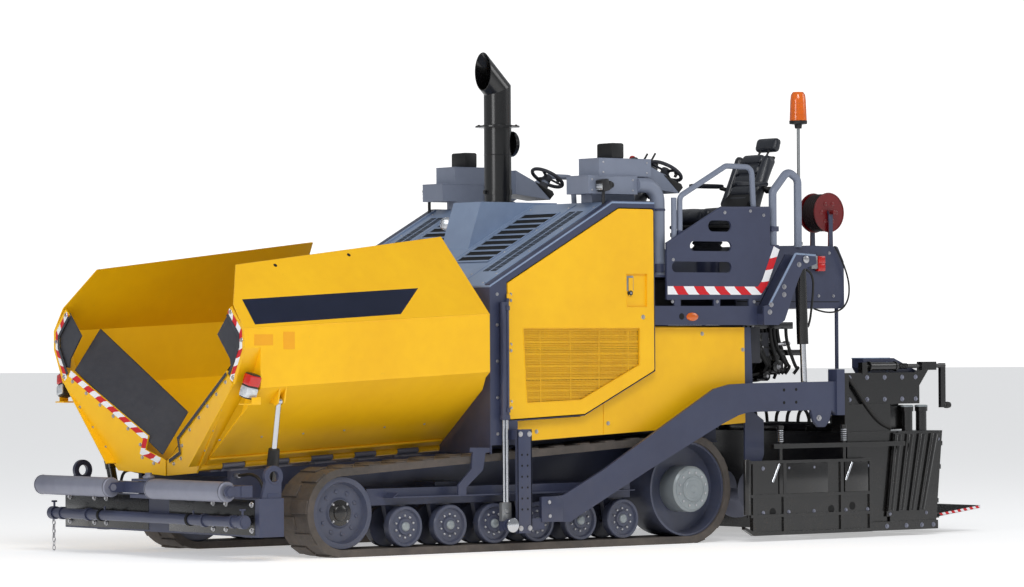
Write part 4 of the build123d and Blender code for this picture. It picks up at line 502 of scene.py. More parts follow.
TAPE = TapeFinish("hazard_tape", (0.93, 0.93, 0.94), (0.9, 0.9, 0.9), roughness=0.45, dust=0.0,
                  scuff=0.05, round_edges=0.0, slot="yellow_paint")
GUARD = MeshFinish("guard_mesh", (0.90, 0.68, 0.02), (0.82, 0.60, 0.02), roughness=0.45, dust=0.05,
                   scuff=0.0, round_edges=0.0, slot="yellow_paint")


def offset_line(points: Sequence[Flat], step: float) -> list[Flat]:
    """Move a flat line sideways, keeping its corners.

    Args:
        points: The line's points.
        step: How far it moves to the left of its own direction.

    Returns:
        The moved points.
    """
    moved = []
    for index, here in enumerate(points):
        normals = []
        for first, second in ((index - 1, index), (index, index + 1)):
            if first >= 0 and second < len(points):
                run = Vector(points[second]) - Vector(points[first])
                normals.append(Vector((-run.y, run.x)).normalized())
        whole = sum(normals, Vector((0.0, 0.0))) / len(normals)
        shift = whole * (step / whole.length_squared)
        moved.append((here[0] + shift.x, here[1] + shift.y))
    return moved


def smooth_line(name: str, points: Sequence[Point], steps: int) -> bpy.types.Curve:
    """Make a smooth curve that starts and ends at its first and last control point.

    Args:
        name: The curve's name.
        points: Its control points.
        steps: The steps of each stretch.

    Returns:
        The curve's data.
    """
    data = bpy.data.curves.new(name, "CURVE")
    data.dimensions = "3D"
    data.resolution_u = steps
    spline = data.splines.new("NURBS")
    spline.points.add(len(points) - 1)
    for knot, place in zip(spline.points, points):
        knot.co = (*place, 1.0)
    spline.order_u = 3
    spline.use_endpoint_u = True
    spline.resolution_u = steps
    return data


def at_y(points: Iterable[Flat], y: float) -> list[Point]:
    """Places in the upright plane at a given y, from their x and z."""
    return [(x, y, z) for x, z in points]


class Shape:
    """One piece of the scene, gathered in a single mesh from simple forms."""

    def __init__(self) -> None:
        """Start an empty mesh."""
        self.bm = bmesh.new()

    def soften(self, verts: Iterable[bmesh.types.BMVert], width: float, segments: int = 2,
               sharpest: float = 0.5) -> None:
        """Bevel the sharp edges among some vertices.

        Args:
            verts: The vertices of the form.
            width: The bevel's width.
            segments: Its steps.
            sharpest: The least angle between two faces, in radians, that is bevelled.
        """
        edges = {edge for vert in verts for edge in vert.link_edges}
        sharp = [edge for edge in edges if len(edge.link_faces) == 2 and edge.calc_face_angle(0.0) > sharpest]
        bmesh.ops.bevel(self.bm, geom=sharp, offset=width, segments=segments, profile=0.5, affect="EDGES",
                        material=-1)

    def box(self, x: Flat, y: Flat, z: Flat, bevel: float = 0.002,
            turn: Optional[Matrix] = None) -> "Shape":
        """Add a box between two corners.

        Args:
            x: Low and high x.
            y: Low and high y.
            z: Low and high z.
            bevel: The width of its rounded edges.
            turn: A turn about the box's own middle.

        Returns:
            The shape itself.
        """
        middle = Vector(((x[0] + x[1]) / 2, (y[0] + y[1]) / 2, (z[0] + z[1]) / 2))
        size = Matrix.Diagonal((x[1] - x[0], y[1] - y[0], z[1] - z[0], 1.0))
        place = Matrix.Translation(middle) @ (turn or Matrix.Identity(4)) @ size
        made = bmesh.ops.create_cube(self.bm, size=1.0, matrix=place)
        if bevel:
            self.soften(made["verts"], bevel)
        return self

    def rod(self, start: Point, end: Point, radius: float, end_radius: Optional[float] = None,
            segments: int = 24, bevel: float = 0.0) -> "Shape":
        """Add a round bar, or a cone, between two points.

        Args:
            start: The middle of one end.
            end: The middle of the other end.
            radius: The radius at the start.
            end_radius: The radius at the end, where it differs.
            segments: The sides of the circle.
            bevel: The width of its rounded rims.

        Returns:
            The shape itself.
        """
        run = Vector(end) - Vector(start)
        turn = run.to_track_quat("Z", "Y").to_matrix().to_4x4()
        place = Matrix.Translation((Vector(start) + Vector(end)) / 2) @ turn
        made = bmesh.ops.create_cone(
            self.bm, cap_ends=True, cap_tris=False, segments=segments, radius1=radius,
            radius2=radius if end_radius is None else end_radius, depth=run.length, matrix=place,
        )
        if bevel:
            self.soften(made["verts"], bevel)
        return self

    def rail(self, points: Sequence[Point], radius: float, segments: int) -> "Shape":
        """Add round bars from each point of a line to the next.

        Args:
            points: The line's points.
            radius: The bars' radius.
            segments: The sides of their section.

        Returns:
            The shape itself.
        """
        for start, end in zip(points, points[1:]):
            self.rod(start, end, radius, segments=segments)
        return self

    def lathe(self, centre: Point, axis: Point, profile: Sequence[Flat], steps: int = 32) -> "Shape":
        """Turn a profile of (distance along the axis, radius) points about an axis.

        Args:
            centre: A point on the axis, where the distance is 0.
            axis: The axis's direction.
            profile: The profile's points.
            steps: The steps of the full turn.

        Returns:
            The shape itself.
        """
        along = Vector(axis).normalized()
        side = along.orthogonal().normalized()
        verts = [self.bm.verts.new(Vector(centre) + along * d + side * r) for d, r in profile]
        edges = [self.bm.edges.new(pair) for pair in zip(verts, verts[1:])]
        bmesh.ops.spin(self.bm, geom=verts + edges, cent=centre, axis=along, angle=math.tau, steps=steps)
        whole = [v for v in self.bm.verts if v.is_valid]
        bmesh.ops.remove_doubles(self.bm, verts=whole, dist=WELD)
        return self

    def prism(self, points: Sequence[Flat], axis: Axis, span: Flat, bevel: float = 0.001) -> "Shape":
        """Draw a flat outline out along an axis.

        Args:
            points: The outline, as (y, z), (x, z) or (x, y) for the X, Y or Z axis.
            axis: The axis along which it is drawn out.
            span: Where it starts and ends on that axis.
            bevel: The width of its rounded edges.

        Returns:
            The shape itself.
        """
        def place(a: float, b: float, along: float) -> Point:
            """Put an outline's point at a distance along the axis."""
            return {Axis.X: (along, a, b), Axis.Y: (a, along, b), Axis.Z: (a, b, along)}[axis]

        start = [self.bm.verts.new(place(a, b, span[0])) for a, b in points]
        face = self.bm.faces.new(start)
        made = bmesh.ops.extrude_face_region(self.bm, geom=[face])
        moved = [item for item in made["geom"] if isinstance(item, bmesh.types.BMVert)]
        shift = Vector(place(0.0, 0.0, span[1])) - Vector(place(0.0, 0.0, span[0]))
        bmesh.ops.translate(self.bm, verts=moved, vec=shift)
        if bevel:
            self.soften(start + moved, bevel)
        return self

    def bolt(self, place: Point, facing: Point, head: float = 0.011) -> "Shape":
        """Add a hexagonal bolt head on its washer.

        Args:
            place: A point on the surface.
            facing: The direction away from the surface.
            head: Half the head's width over its corners.

        Returns:
            The shape itself.
        """
        out = Vector(facing).normalized()
        base = Vector(place)
        self.rod(tuple(base), tuple(base + out * head * 0.22), head * 1.45, head * 1.35, segments=16)
        self.rod(tuple(base + out * head * 0.22), tuple(base + out * head * 0.95), head, head * 0.9,
                 segments=6)
        return self

    def side_bolts(self, places: Iterable[Flat], y: float, head: float) -> "Shape":
        """Add bolts that face outward, at places given by their x and z.

        Args:
            places: The bolts' x and z.
            y: The surface that they sit on.
            head: Half of each head's width over its corners.

        Returns:
            The shape itself.
        """
        for place in at_y(places, y):
            self.bolt(place, OUTWARD, head)
        return self

    def dome(self, place: Point, facing: Point, radius: float, height: float,
             segments: int = 20) -> "Shape":
        """Add a low round cap.

        Args:
            place: A point on the surface.
            facing: The direction away from the surface.
            radius: The cap's radius.
            height: How far it stands out.
            segments: The steps round it.

        Returns:
            The shape itself.
        """
        rise = ((0.0, 1.0), (0.45, 0.96), (0.8, 0.78), (0.97, 0.42), (1.0, 0.0))
        return self.lathe(place, facing, [(height * h, radius * r) for h, r in rise], segments)

    def loop(self, centre: Point, axis: Point, radius: float, thick: float, steps: int = 28,
             sides: int = 8) -> "Shape":
        """Add a round ring.

        Args:
            centre: The ring's middle.
            axis: The direction through its hole.
            radius: From the middle to the wire's own middle.
            thick: The wire's radius.
            steps: The steps round the ring.
            sides: The sides of the wire.

        Returns:
            The shape itself.
        """
        wire = [
            (thick * math.sin(math.tau * k / sides), radius + thick * math.cos(math.tau * k / sides))
            for k in range(sides + 1)
        ]
        return self.lathe(centre, axis, wire, steps)

    def tube(self, points: Sequence[Point], radius: float, sides: int = 12, steps: int = 8) -> "Shape":
        """Add a smooth tube held along its whole route.

        Args:
            points: The control points of its line.
            radius: The tube's radius.
            sides: The sides of its section.
            steps: The steps of each stretch.

        Returns:
            The shape itself.
        """
        curve = smooth_line("route", points, steps)
        curve.bevel_depth = radius
        curve.bevel_resolution = max(1, sides // 4 - 1)
        curve.use_fill_caps = True
        holder = bpy.data.objects.new("route", curve)
        mesh = bpy.data.meshes.new_from_object(holder)
        self.bm.from_mesh(mesh)
        bpy.data.objects.remove(holder)
        bpy.data.curves.remove(curve)
        bpy.data.meshes.remove(mesh)
        return self

    def ribbon(self, line: Sequence[Point], out: Point, width: float, lift: float = 0.0012) -> "Shape":
        """Lay a flat strip of tape along a line, with its own UV map.

        Args:
            line: The middle of the tape, on the surface.
            out: The surface's outward direction.
            width: The tape's width.
            lift: How far the tape's outer face stands off the surface.

        Returns:
            The shape itself.
        """
        facing = Vector(out).normalized()
        layer = self.bm.loops.layers.uv.get(TAPE_MAP) or self.bm.loops.layers.uv.new(TAPE_MAP)
        middle = [Vector(point) for point in line]
        sides = []
        for index, here in enumerate(middle):
            runs = []
            if index > 0:
                runs.append((here - middle[index - 1]).normalized())
            if index < len(middle) - 1:
                runs.append((middle[index + 1] - here).normalized())
            crosses = [facing.cross(run) for run in runs]
            whole = sum(crosses, Vector()) / len(crosses)
            reach = whole * (width / 2 / whole.length_squared)
            sides.append([self.bm.verts.new(here + facing * lift + reach * s) for s in (-1, 1)])
        travelled = 0.0
        for index in range(len(middle) - 1):
            run = (middle[index + 1] - middle[index]).length
            face = self.bm.faces.new((sides[index][0], sides[index + 1][0], sides[index + 1][1],
                                      sides[index][1]))
            span = (travelled / width, (travelled + run) / width)
            for corner, (u, v) in zip(face.loops,
                                      ((span[0], 0), (span[1], 0), (span[1], 1), (span[0], 1))):
                corner[layer].uv = (u, v)
            travelled += run
        return self

    def both_sides(self) -> "Shape":
        """Add the mirrored copy for the machine's other side."""
        whole = self.bm.verts[:] + self.bm.edges[:] + self.bm.faces[:]
        copied = bmesh.ops.duplicate(self.bm, geom=whole)
        verts = [item for item in copied["geom"] if isinstance(item, bmesh.types.BMVert)]
        faces = [item for item in copied["geom"] if isinstance(item, bmesh.types.BMFace)]
        bmesh.ops.scale(self.bm, vec=(1.0, -1.0, 1.0), verts=verts)
        bmesh.ops.reverse_faces(self.bm, faces=faces)
        return self

    def for_side(self, sign: int) -> "Shape":
        """Turn the shape into its mirrored copy where the side is the right-hand one."""
        if sign < 0:
            bmesh.ops.scale(self.bm, vec=(1.0, -1.0, 1.0), verts=self.bm.verts[:])
            bmesh.ops.reverse_faces(self.bm, faces=self.bm.faces[:])
        return self

    def build(self, name: str, finish: Finish, body: str = "machine", slot: str = "", smooth: bool = True,
              flat_tape: bool = False) -> bpy.types.Object:
        """Turn the shape into a piece of the scene.

        Args:
            name: The piece's name.
            finish: Its finish.
            body: The CAD body that it rides on.
            slot: The record's material slot, where it isn't the finish's; not used.
            smooth: Whether its low angles are shaded smooth.
            flat_tape: Whether it is an open strip, whose faces keep their direction.

        Returns:
            The new object.
        """
        if not flat_tape:
            bmesh.ops.recalc_face_normals(self.bm, faces=self.bm.faces[:])
        mesh = bpy.data.meshes.new(name)
        self.bm.to_mesh(mesh)
        self.bm.free()
        if smooth:
            mesh.shade_smooth()
            mesh.set_sharp_from_angle(angle=SMOOTH_BELOW)
        mesh.materials.append(finish.material())
        piece = bpy.data.objects.new(name, mesh)
        bpy.context.scene.collection.objects.link(piece)
        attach(piece, body)
        slot or finish.record_slot
        log.info("%s: %d faces on %s", name, len(mesh.polygons), body)
        return piece


def circle_of(centre: Point, facing: Axis, radius: float, count: int, start: float = 0.0) -> list[Point]:
    """Even places on a circle round X, Y or Z.

    Args:
        centre: The circle's middle.
        facing: The axis through it.
        radius: Its radius.
        count: The number of places.
        start: The first place's angle in degrees.

    Returns:
        The places.
    """
    places = []
    for index in range(count):
        angle = math.radians(start + 360.0 * index / count)
        a, b = radius * math.cos(angle), radius * math.sin(angle)
        across = {Axis.X: (0.0, a, b), Axis.Y: (a, 0.0, b), Axis.Z: (a, b, 0.0)}[facing]
        places.append(tuple(c + d for c, d in zip(centre, across)))
    return places


def on_side(side: int, places: Iterable[Point]) -> list[Point]:
    """Places on the left or, where side is -1, their mirrored places on the right."""
    return [(x, side * y, z) for x, y, z in places]


def free_hose(name: str, points: Sequence[Point], diameter: float,
              body: str = "machine") -> bpy.types.Object:
    """Args:
        name: The piece's name.
        points: The line's points, from its exit to its far end.
        diameter: Its thickness.
        body: The body that it rides on.

    Returns:
        The curve object.
    """
    data = smooth_line(name, points, 8)
    data.bevel_resolution = 3
    piece = bpy.data.objects.new(name, data)
    bpy.context.scene.collection.objects.link(piece)
    bpy.context.view_layer.update()
    seen = piece.evaluated_get(bpy.context.evaluated_depsgraph_get())
    line = seen.to_mesh()
    seen.to_mesh_clear()
    data.bevel_depth = diameter / 2
    data.use_fill_caps = True
    data.materials.append(HOSE.material())
    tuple(points[0])
    HOSE.record_slot
    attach(piece, body)
    return piece


@dataclass
class Undercarriage:
    """Wheel bolts, hub caps, belt treads and the drive hubs' rings."""

    wheel_front_x: float = 1.927
    wheel_pitch: float = 0.3923
    wheel_count: int = 6
    wheel_z: float = 0.1993
    dish_y: float = 1.056
    idler: Flat = (2.475, 0.310)
    drive: Flat = (-0.635, 0.403)
    belt_y: Flat = (0.744, 1.100)
    tread_pitch: float = 0.118
    tread_height: float = 0.010

    def build(self) -> None:
        """Make every piece of the undercarriage."""
        self.bolts()
        self.caps()
        self.tread()

    def bolts(self) -> None:
        """Bright bolts round the wheels and hubs."""
        bolts = Shape()
        for index in range(self.wheel_count):
            x = self.wheel_front_x - index * self.wheel_pitch
            for place in circle_of((x, self.dish_y, self.wheel_z), Axis.Y, 0.078, 10, 18.0):
                bolts.dome(place, OUTWARD, 0.0095, 0.013, 10)
        idler_x, idler_z = self.idler
        for place in circle_of((idler_x, 1.048, idler_z), Axis.Y, 0.083, 4, 45.0):
            bolts.bolt(place, OUTWARD, 0.009)
        drive_x, drive_z = self.drive
        for place in circle_of((drive_x, 1.1415, drive_z), Axis.Y, 0.124, 12, 15.0):
            bolts.bolt(place, OUTWARD, 0.010)
        bolts.both_sides().build("wheel_bolts", ZINC)

    def caps(self) -> None:
        """Hub caps of the wheels, the idler's dark cap and its ring of studs."""
        caps = Shape()
        for index in range(self.wheel_count):
            x = self.wheel_front_x - index * self.wheel_pitch
            caps.dome((x, 1.070, self.wheel_z), OUTWARD, 0.034, 0.018)
        caps.both_sides().build("wheel_caps", HUB)
        idler_x, idler_z = self.idler
        dark = Shape()
        dark.rod((idler_x, 1.0475, idler_z), (idler_x, 1.052, idler_z), 0.092, bevel=0.002)
        dark.dome((idler_x, 1.052, idler_z), OUTWARD, 0.058, 0.022)
        dark.both_sides().build("idler_caps", BLACK)
        studs = Shape()
        for place in circle_of((idler_x, 1.034, idler_z), Axis.Y, 0.150, 10, 9.0):
            studs.dome(place, OUTWARD, 0.015, 0.009, 14)
        studs.both_sides().build("idler_studs", WHEEL)
        drive_x, drive_z = self.drive
        ring = Shape()
        ring.lathe((drive_x, 1.1420, drive_z), OUTWARD,
                   [(0.0, 0.152), (0.004, 0.150), (0.004, 0.108), (0.0, 0.106)])
        ring.lathe((drive_x, 1.1500, drive_z), OUTWARD,
                   [(0.0, 0.070), (0.004, 0.066), (0.004, 0.030), (0.001, 0.028), (0.001, 0.0)])
        ring.both_sides().build("hub_rings", HUB)

    def belt_path(self) -> list[tuple[float, float, float]]:
        """Even places round the belt's outer face, each with its outward angle."""
        (x0, r0), (x1, r1) = self.drive, self.idler
        run = math.hypot(x1 - x0, r1 - r0)
        lean = math.atan2(r1 - r0, x1 - x0) + math.acos((r0 - r1) / run)
        stretches = []
        flat = math.sqrt(run * run - (r0 - r1) ** 2)
        stretches.append((x1 - x0, lambda d: (x0 + d, 0.0, -math.pi / 2)))
        front_turn = lean + math.pi / 2
        stretches.append((front_turn * r1, lambda d: self.on_arc(x1, r1, -math.pi / 2 + d / r1)))
        start = (x1 + r1 * math.cos(lean), r1 + r1 * math.sin(lean))
        back = (-math.sin(lean), math.cos(lean))
        stretches.append((flat, lambda d: (start[0] + back[0] * d, start[1] + back[1] * d, lean)))
        stretches.append(((3 * math.pi / 2 - lean) * r0, lambda d: self.on_arc(x0, r0, lean + d / r0)))
        total = sum(length for length, _ in stretches)
        count = round(total / self.tread_pitch)
        places = []
        for index in range(count):
            distance = total * index / count
            for length, place in stretches:
                if distance <= length:
                    places.append(place(distance))
                    break
                distance -= length
        return places

    @staticmethod
    def on_arc(x: float, radius: float, angle: float) -> tuple[float, float, float]:
        """A place on a wheel's arc that touches the ground at its lowest point."""
        return x + radius * math.cos(angle), radius + radius * math.sin(angle), angle

    def tread(self) -> None:
        """Low tread blocks in two staggered rows on the belts' outer faces."""
        blocks = Shape()
        width = self.belt_y[1] - self.belt_y[0]
        for index, (x, z, angle) in enumerate(self.belt_path()):
            if z < 0.004:
                continue
            turn = Matrix.Rotation(-angle, 4, "Y")
            first = index % 2 == 0
            low = self.belt_y[0] + (0.006 if first else width * 0.46)
            high = self.belt_y[0] + (width * 0.54 if first else width - 0.006)
            half = self.tread_pitch * 0.40
            out = self.tread_height / 2 - 0.002
            cx, cz = x + out * math.cos(angle), z + out * math.sin(angle)
            thick = self.tread_height / 2 + 0.001
            blocks.box((cx - thick, cx + thick), (low, high), (cz - half, cz + half), 0.003, turn)
        blocks.both_sides().build("belt_treads", BELT)


@dataclass
class Bumper:
    """Collars, pins, nuts, chain and hose of the front bumper and its rollers."""

    face_x: float = 3.298
    tube: Flat = (3.412, 0.278)
    tube_radius: float = 0.037
    roller: Flat = (3.525, 0.486)
    roller_y: Flat = (0.262, 1.222)
    collar_ys: tuple[float, ...] = (1.235, 0.58)
    chain_links: int = 8
    link_pitch: float = 0.030
    link_stretch: float = 1.55
    nut_ys: tuple[float, ...] = (1.18, 0.86, 0.70, -0.70, -0.86, -1.20)
    nut_zs: Flat = (0.215, 0.392)
    face_plates: tuple[Flat, ...] = ((-1.262, -0.135), (0.135, 1.215))
    hose_route: tuple[Point, ...] = (
        (3.050, 0.620, 0.575), (3.050, 0.690, 0.578), (3.050, 0.780, 0.590), (3.045, 0.880, 0.570),
        (3.034, 0.935, 0.490), (3.028, 0.932, 0.410), (3.026, 0.930, 0.345),
    )

    def build(self) -> None:
        """Make every piece of the bumper."""
        self.collars()
        self.nuts()
        self.roller_ends()
        self.chain()
        self.hose()
        self.push_bar_blocks()

    def collars(self) -> None:
        """Collars and dark rings on the tow tube, with their cross pins, and dark discs of painted shade in
        the tube's open ends.
        """
        x, z = self.tube
        grey = Shape()
        dark = Shape()
        for y in (self.collar_ys[0], -self.collar_ys[0]):
            sign = 1 if y > 0 else -1
            grey.lathe((x, y, z), (0, sign, 0),
                       [(-0.024, 0.0385), (-0.024, 0.047), (0.030, 0.047), (0.030, 0.026), (0.0, 0.026)])
            # Painted shade: a thin dark disc that stands for the dark bore of the tube's open end.
            dark.rod((x, y + sign * 0.031, z), (x, y + sign * 0.0315, z), 0.025)
            grey.rod((x, y, z + 0.03), (x, y, z + 0.088), 0.008, bevel=0.002)
            grey.rod((x - 0.022, y, z + 0.083), (x + 0.022, y, z + 0.083), 0.007, bevel=0.002)
        for y in (self.collar_ys[1], -self.collar_ys[1]):
            dark.lathe((x, y, z), OUTWARD,
                       [(-0.012, 0.037), (-0.012, 0.0445), (0.012, 0.0445), (0.012, 0.037)])
            grey.rod((x, y + 0.04, z + 0.03), (x, y + 0.04, z + 0.064), 0.007, bevel=0.002)
        grey.build("tube_collars", SLATE)
        dark.build("tube_rings_and_bore_shades", DARK)

    def nuts(self) -> None:
        """Nuts on the bumper's face in pairs, and bolts on its end boxes and clevis."""
        nuts = Shape()
        for y in self.nut_ys:
            for z in self.nut_zs:
                nuts.bolt((self.face_x + 0.003, y, z), FORWARD, 0.014)
        for y in (-0.12, 0.12):
            nuts.bolt((self.face_x + 0.012, y, 0.452), FORWARD, 0.013)
        nuts.build("bumper_bolts", ZINC, slot="bare_steel")
        # Thin black plates on the bumper's face: partly the bumper's own black paint, partly painted shade
        # that falls under the rollers and hopper.
        face = Shape()
        for span in self.face_plates:
            face.box((self.face_x - 0.001, self.face_x + 0.0030), span, (0.182, 0.425), 0.001)
        face.build("bumper_face_black_and_shade", BLACK)
        eyes = Shape()
        for side in (1, -1):
            eyes.lathe((3.168, side * 1.257, 0.583), (0, side, 0),
                       [(0.0, 0.052), (0.004, 0.050), (0.004, 0.039), (0.0, 0.0385)])
            eyes.box((3.112, 3.224), (side * 1.250 - 0.010, side * 1.250 + 0.010), (0.400, 0.470), 0.002)
        eyes.build("lift_eye_rings", SLATE)

    def roller_ends(self) -> None:
        """Stepped discs and shaft caps at the outer ends of the push rollers."""
        x, z = self.roller
        for name, side in SIDES:
            dark = Shape()
            outer = side * (self.roller_y[1] + 0.022)
            dark.lathe((x, outer, z), (0, side, 0),
                       [(0.0, 0.045), (0.008, 0.043), (0.008, 0.030), (0.018, 0.028), (0.018, 0.0)])
            dark.build(f"roller_cap_{name}", SLATE, "push_beam")
            rings = Shape()
            for y in self.roller_y:
                inward = 1 if y == self.roller_y[0] else -1
                rings.loop((x, side * (y + inward * 0.018), z), OUTWARD, 0.0695, 0.0022, 40, 6)
            rings.build(f"roller_seams_{name}", DARK, f"push_roller_{name}", slot="bare_steel")

    def chain(self) -> None:
        """A short chain that hangs from the tube's far collar."""
        x, z = self.tube
        links = Shape()
        top = z - 0.030
        for index in range(self.chain_links):
            centre = (x + 0.004, -self.collar_ys[0], top - 0.014 - index * self.link_pitch)
            axis = FORWARD if index % 2 == 0 else OUTWARD
            before = len(links.bm.verts)
            links.loop(centre, axis, 0.0115, 0.0032, 14, 6)
            links.bm.verts.ensure_lookup_table()
            for vert in links.bm.verts[before:]:
                vert.co.z = centre[2] + (vert.co.z - centre[2]) * self.link_stretch
        links.build("tow_chain", ZINC, slot="bare_steel")

    def hose(self) -> None:
        """Fittings and free hoses from the frame to the wing cylinders."""
        ends = Shape()
        ends.rod((3.050, 0.6005, 0.575), (3.050, 0.650, 0.575), 0.017, segments=6)
        ends.rod((3.026, 0.9300, 0.352), (3.026, 0.9300, 0.310), 0.017, segments=6)
        ends.both_sides().build("hose_fittings", ZINC)
        for name, side in SIDES:
            free_hose(f"wing_hose_{name}", on_side(side, self.hose_route), 0.022)

    def push_bar_blocks(self) -> None:
        """Pads and nuts round the push beam's centre pin."""
        blocks = Shape()
        blocks.rod((3.385, 0, 0.549), (3.385, 0, 0.566), 0.042, bevel=0.003)
        blocks.bolt((3.385, 0, 0.566), UPWARD, 0.026)
        blocks.build("push_pin_head", STEEL)


@dataclass
class Wings:
    """Hazard tape, bolts, rubber edges, lamps, band and plates of the hopper wings."""

    hinge_front: Flat = (3.310, 0.636)
    hinge_slope: float = 0.048
    hinge_y: float = 0.530
    outer_y: float = 1.253
    crease_rises: Flat = (0.553, 0.965)
    fold: Flat = (0.613, 0.790)
    front_x: float = 3.400
    apron_tip_x: float = 3.223
    apron_sweep: float = 0.157
    rim: tuple[Flat, ...] = ((1.094, 1.239), (1.216, 1.456), (1.216, 1.583), (1.065, 1.733))
    edge: tuple[Flat, ...] = ((1.036, 1.312), (0.193, 0.846), (0.225, 0.748), (0.060, 0.694))
    tape_width: float = 0.046
    rim_tape: float = 0.040
    rim_inset: float = 0.012
    band: tuple[Flat, ...] = ((3.318, 0.250), (1.821, 0.264), (2.069, 0.045), (3.302, 0.030))
    edge_stops: tuple[tuple[int, float], ...] = (
        (0, 0.06), (0, 0.25), (0, 0.44), (0, 0.62), (0, 0.82), (1, 0.3), (2, 0.2), (2, 0.75),
    )
    rim_bolts: tuple[Flat, ...] = ((1.082, 1.712), (1.216, 1.520), (1.108, 1.265))
    flap_bolts: tuple[Flat, ...] = ((0.66, 0.76), (0.80, 0.90), (0.94, 1.045))
    hinge_bolts: tuple[float, ...] = (3.30, 2.95, 2.60, 2.25, 1.90, 1.55)
    # Places of the round holes in the top panels, drawn as dark discs of painted shade.
    shaded_hole_places: tuple[Flat, ...] = ((2.926, 0.530), (2.277, 0.590))
    rear_x: float = 1.330
    bead: Flat = (0.12, 0.010)
    rim_strip: tuple[Flat, ...] = (
        (1.052, 1.700), (1.190, 1.560), (1.190, 1.470), (1.070, 1.275),
        (1.052, 1.292), (1.168, 1.478), (1.168, 1.552), (1.034, 1.690),
    )
    blank_plates: tuple[tuple[float, ...], ...] = ((3.245, 1.520, 0.155, 0.075),
                                                   (3.035, 1.515, 0.095, 0.120))

    def build(self) -> None:
        """Make every piece of both wings."""
        for name, side in SIDES:
            self.tape(name, side)
            self.bolts(name, side)
            self.lamp(name, side)
            self.flange(name, side)
            self.plugs(name, side)
        self.stripe()
        self.plates()

    def hinge_z(self, x: float) -> float:
        """Height of the sloping hinge line."""
        return self.hinge_front[1] + (self.hinge_front[0] - x) * self.hinge_slope

    def top_panel(self, x: float, up: float, lift: float = 0.0) -> Point:
        """A point on the top panel, measured up its slope from the upper crease."""
        run, rise = self.fold
        y = self.outer_y - up * run + lift * rise
        return x, y, self.hinge_z(x) + self.crease_rises[1] + up * rise + lift * run

    def lower_panel(self, x: float, share: float, lift: float = 0.0) -> Point:
        """A point on the lower panel, from the hinge at share 0 to the crease at share 1."""
        run, rise = self.outer_y - self.hinge_y, self.crease_rises[0]
        length = math.hypot(run, rise)
        y = self.hinge_y + run * share + lift * rise / length
        return x, y, self.hinge_z(x) + rise * share - lift * run / length

    def apron_point(self, along: float, z: float, lift: float = 0.0) -> Point:
        """A point on the swept apron plate's front face."""
        lean = math.atan(self.apron_sweep)
        out = 0.012 + lift
        return (
            self.apron_tip_x + out * math.cos(lean) + along * math.sin(lean),
            along * math.cos(lean) - out * math.sin(lean),
            z,
        )

    def apron_facing(self) -> Point:
        """The apron plate's outward direction."""
        lean = math.atan(self.apron_sweep)
        return math.cos(lean), -math.sin(lean), 0.0

    def tape(self, name: str, side: int) -> None:
        """Red and white tape down the rim and along the apron's edge."""
        tape = Shape()
        rim = offset_line(self.rim, self.rim_inset)
        tape.ribbon([(self.front_x, y, z) for y, z in rim], FORWARD, self.rim_tape)
        inner = offset_line(self.edge, self.tape_width / 2 + 0.002)
        if side < 0:
            tape.ribbon([self.apron_point(y, z) for y, z in inner], self.apron_facing(), self.tape_width)
        else:
            rubber = Shape()
            rubber.ribbon([self.apron_point(y, z) for y, z in inner], self.apron_facing(), 0.026, 0.010)
            rubber.build("apron_rubber", FLAP, f"wing_{name}")
        tape.for_side(side).build(f"wing_tape_{name}", TAPE, f"wing_{name}", smooth=False, flat_tape=True)

    def bolts(self, name: str, side: int) -> None:
        """Bolts along the taped edges, the flap's strip and the lamp's bracket."""
        bolts = Shape()
        line = offset_line(self.edge, self.tape_width + 0.016)
        for index, share in self.edge_stops:
            (y0, z0), (y1, z1) = line[index], line[index + 1]
            place = self.apron_point(y0 + (y1 - y0) * share, z0 + (z1 - z0) * share)
            bolts.bolt(place, self.apron_facing(), 0.010)
        for y, z in self.rim_bolts:
            bolts.bolt((self.front_x + 0.0012, y, z), FORWARD, 0.011)
        for y, z in self.flap_bolts:
            bolts.bolt(self.apron_point(y, z), self.apron_facing(), 0.009)
        down = (0.0, self.crease_rises[0], self.hinge_y - self.outer_y)
        for x in self.hinge_bolts:
            bolts.dome(self.lower_panel(x, 0.35), down, 0.009, 0.005, 10)
        bolts.for_side(side).build(f"wing_bolts_{name}", ZINC, f"wing_{name}")

    def lamp(self, name: str, side: int) -> None:
        """The wing's leaning two-part lamp on its yellow bracket."""
        lean = Matrix.Rotation(math.radians(-14.0), 4, "X") @ Matrix.Rotation(math.radians(-10.0), 4, "Y")
        middle_z = 1.205
        case = Shape()
        case.box((3.285, 3.372), (1.166, 1.252), (middle_z - 0.088, middle_z + 0.088), 0.012, lean)
        piece = case.for_side(side).build(f"lamp_case_{name}", LAMP, f"wing_{name}")
        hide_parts(f"wing_lamp_{name}")
        for label, finish, low, high in (("clear", CLEAR_LENS, -0.080, -0.004),
                                         ("red", RED_LENS, 0.004, 0.080)):
            lens = Shape()
            lens.box((3.283, 3.379), (1.172, 1.258), (middle_z + low, middle_z + high), 0.010)
            pivot = Vector((3.3285, 1.209, middle_z))
            bmesh.ops.rotate(lens.bm, verts=lens.bm.verts, cent=pivot, matrix=lean.to_3x3())
            lens.for_side(side).build(f"lamp_{label}_{name}", finish, f"wing_{name}")
        bracket = Shape()
        bracket.box((3.276, 3.384), (1.150, 1.262), (1.076, 1.086), 0.002)
        bracket.box((3.276, 3.350), (1.256, 1.263), (1.080, 1.128), 0.002)
        bracket.for_side(side).build(f"lamp_bracket_{name}", YELLOW, f"wing_{name}")

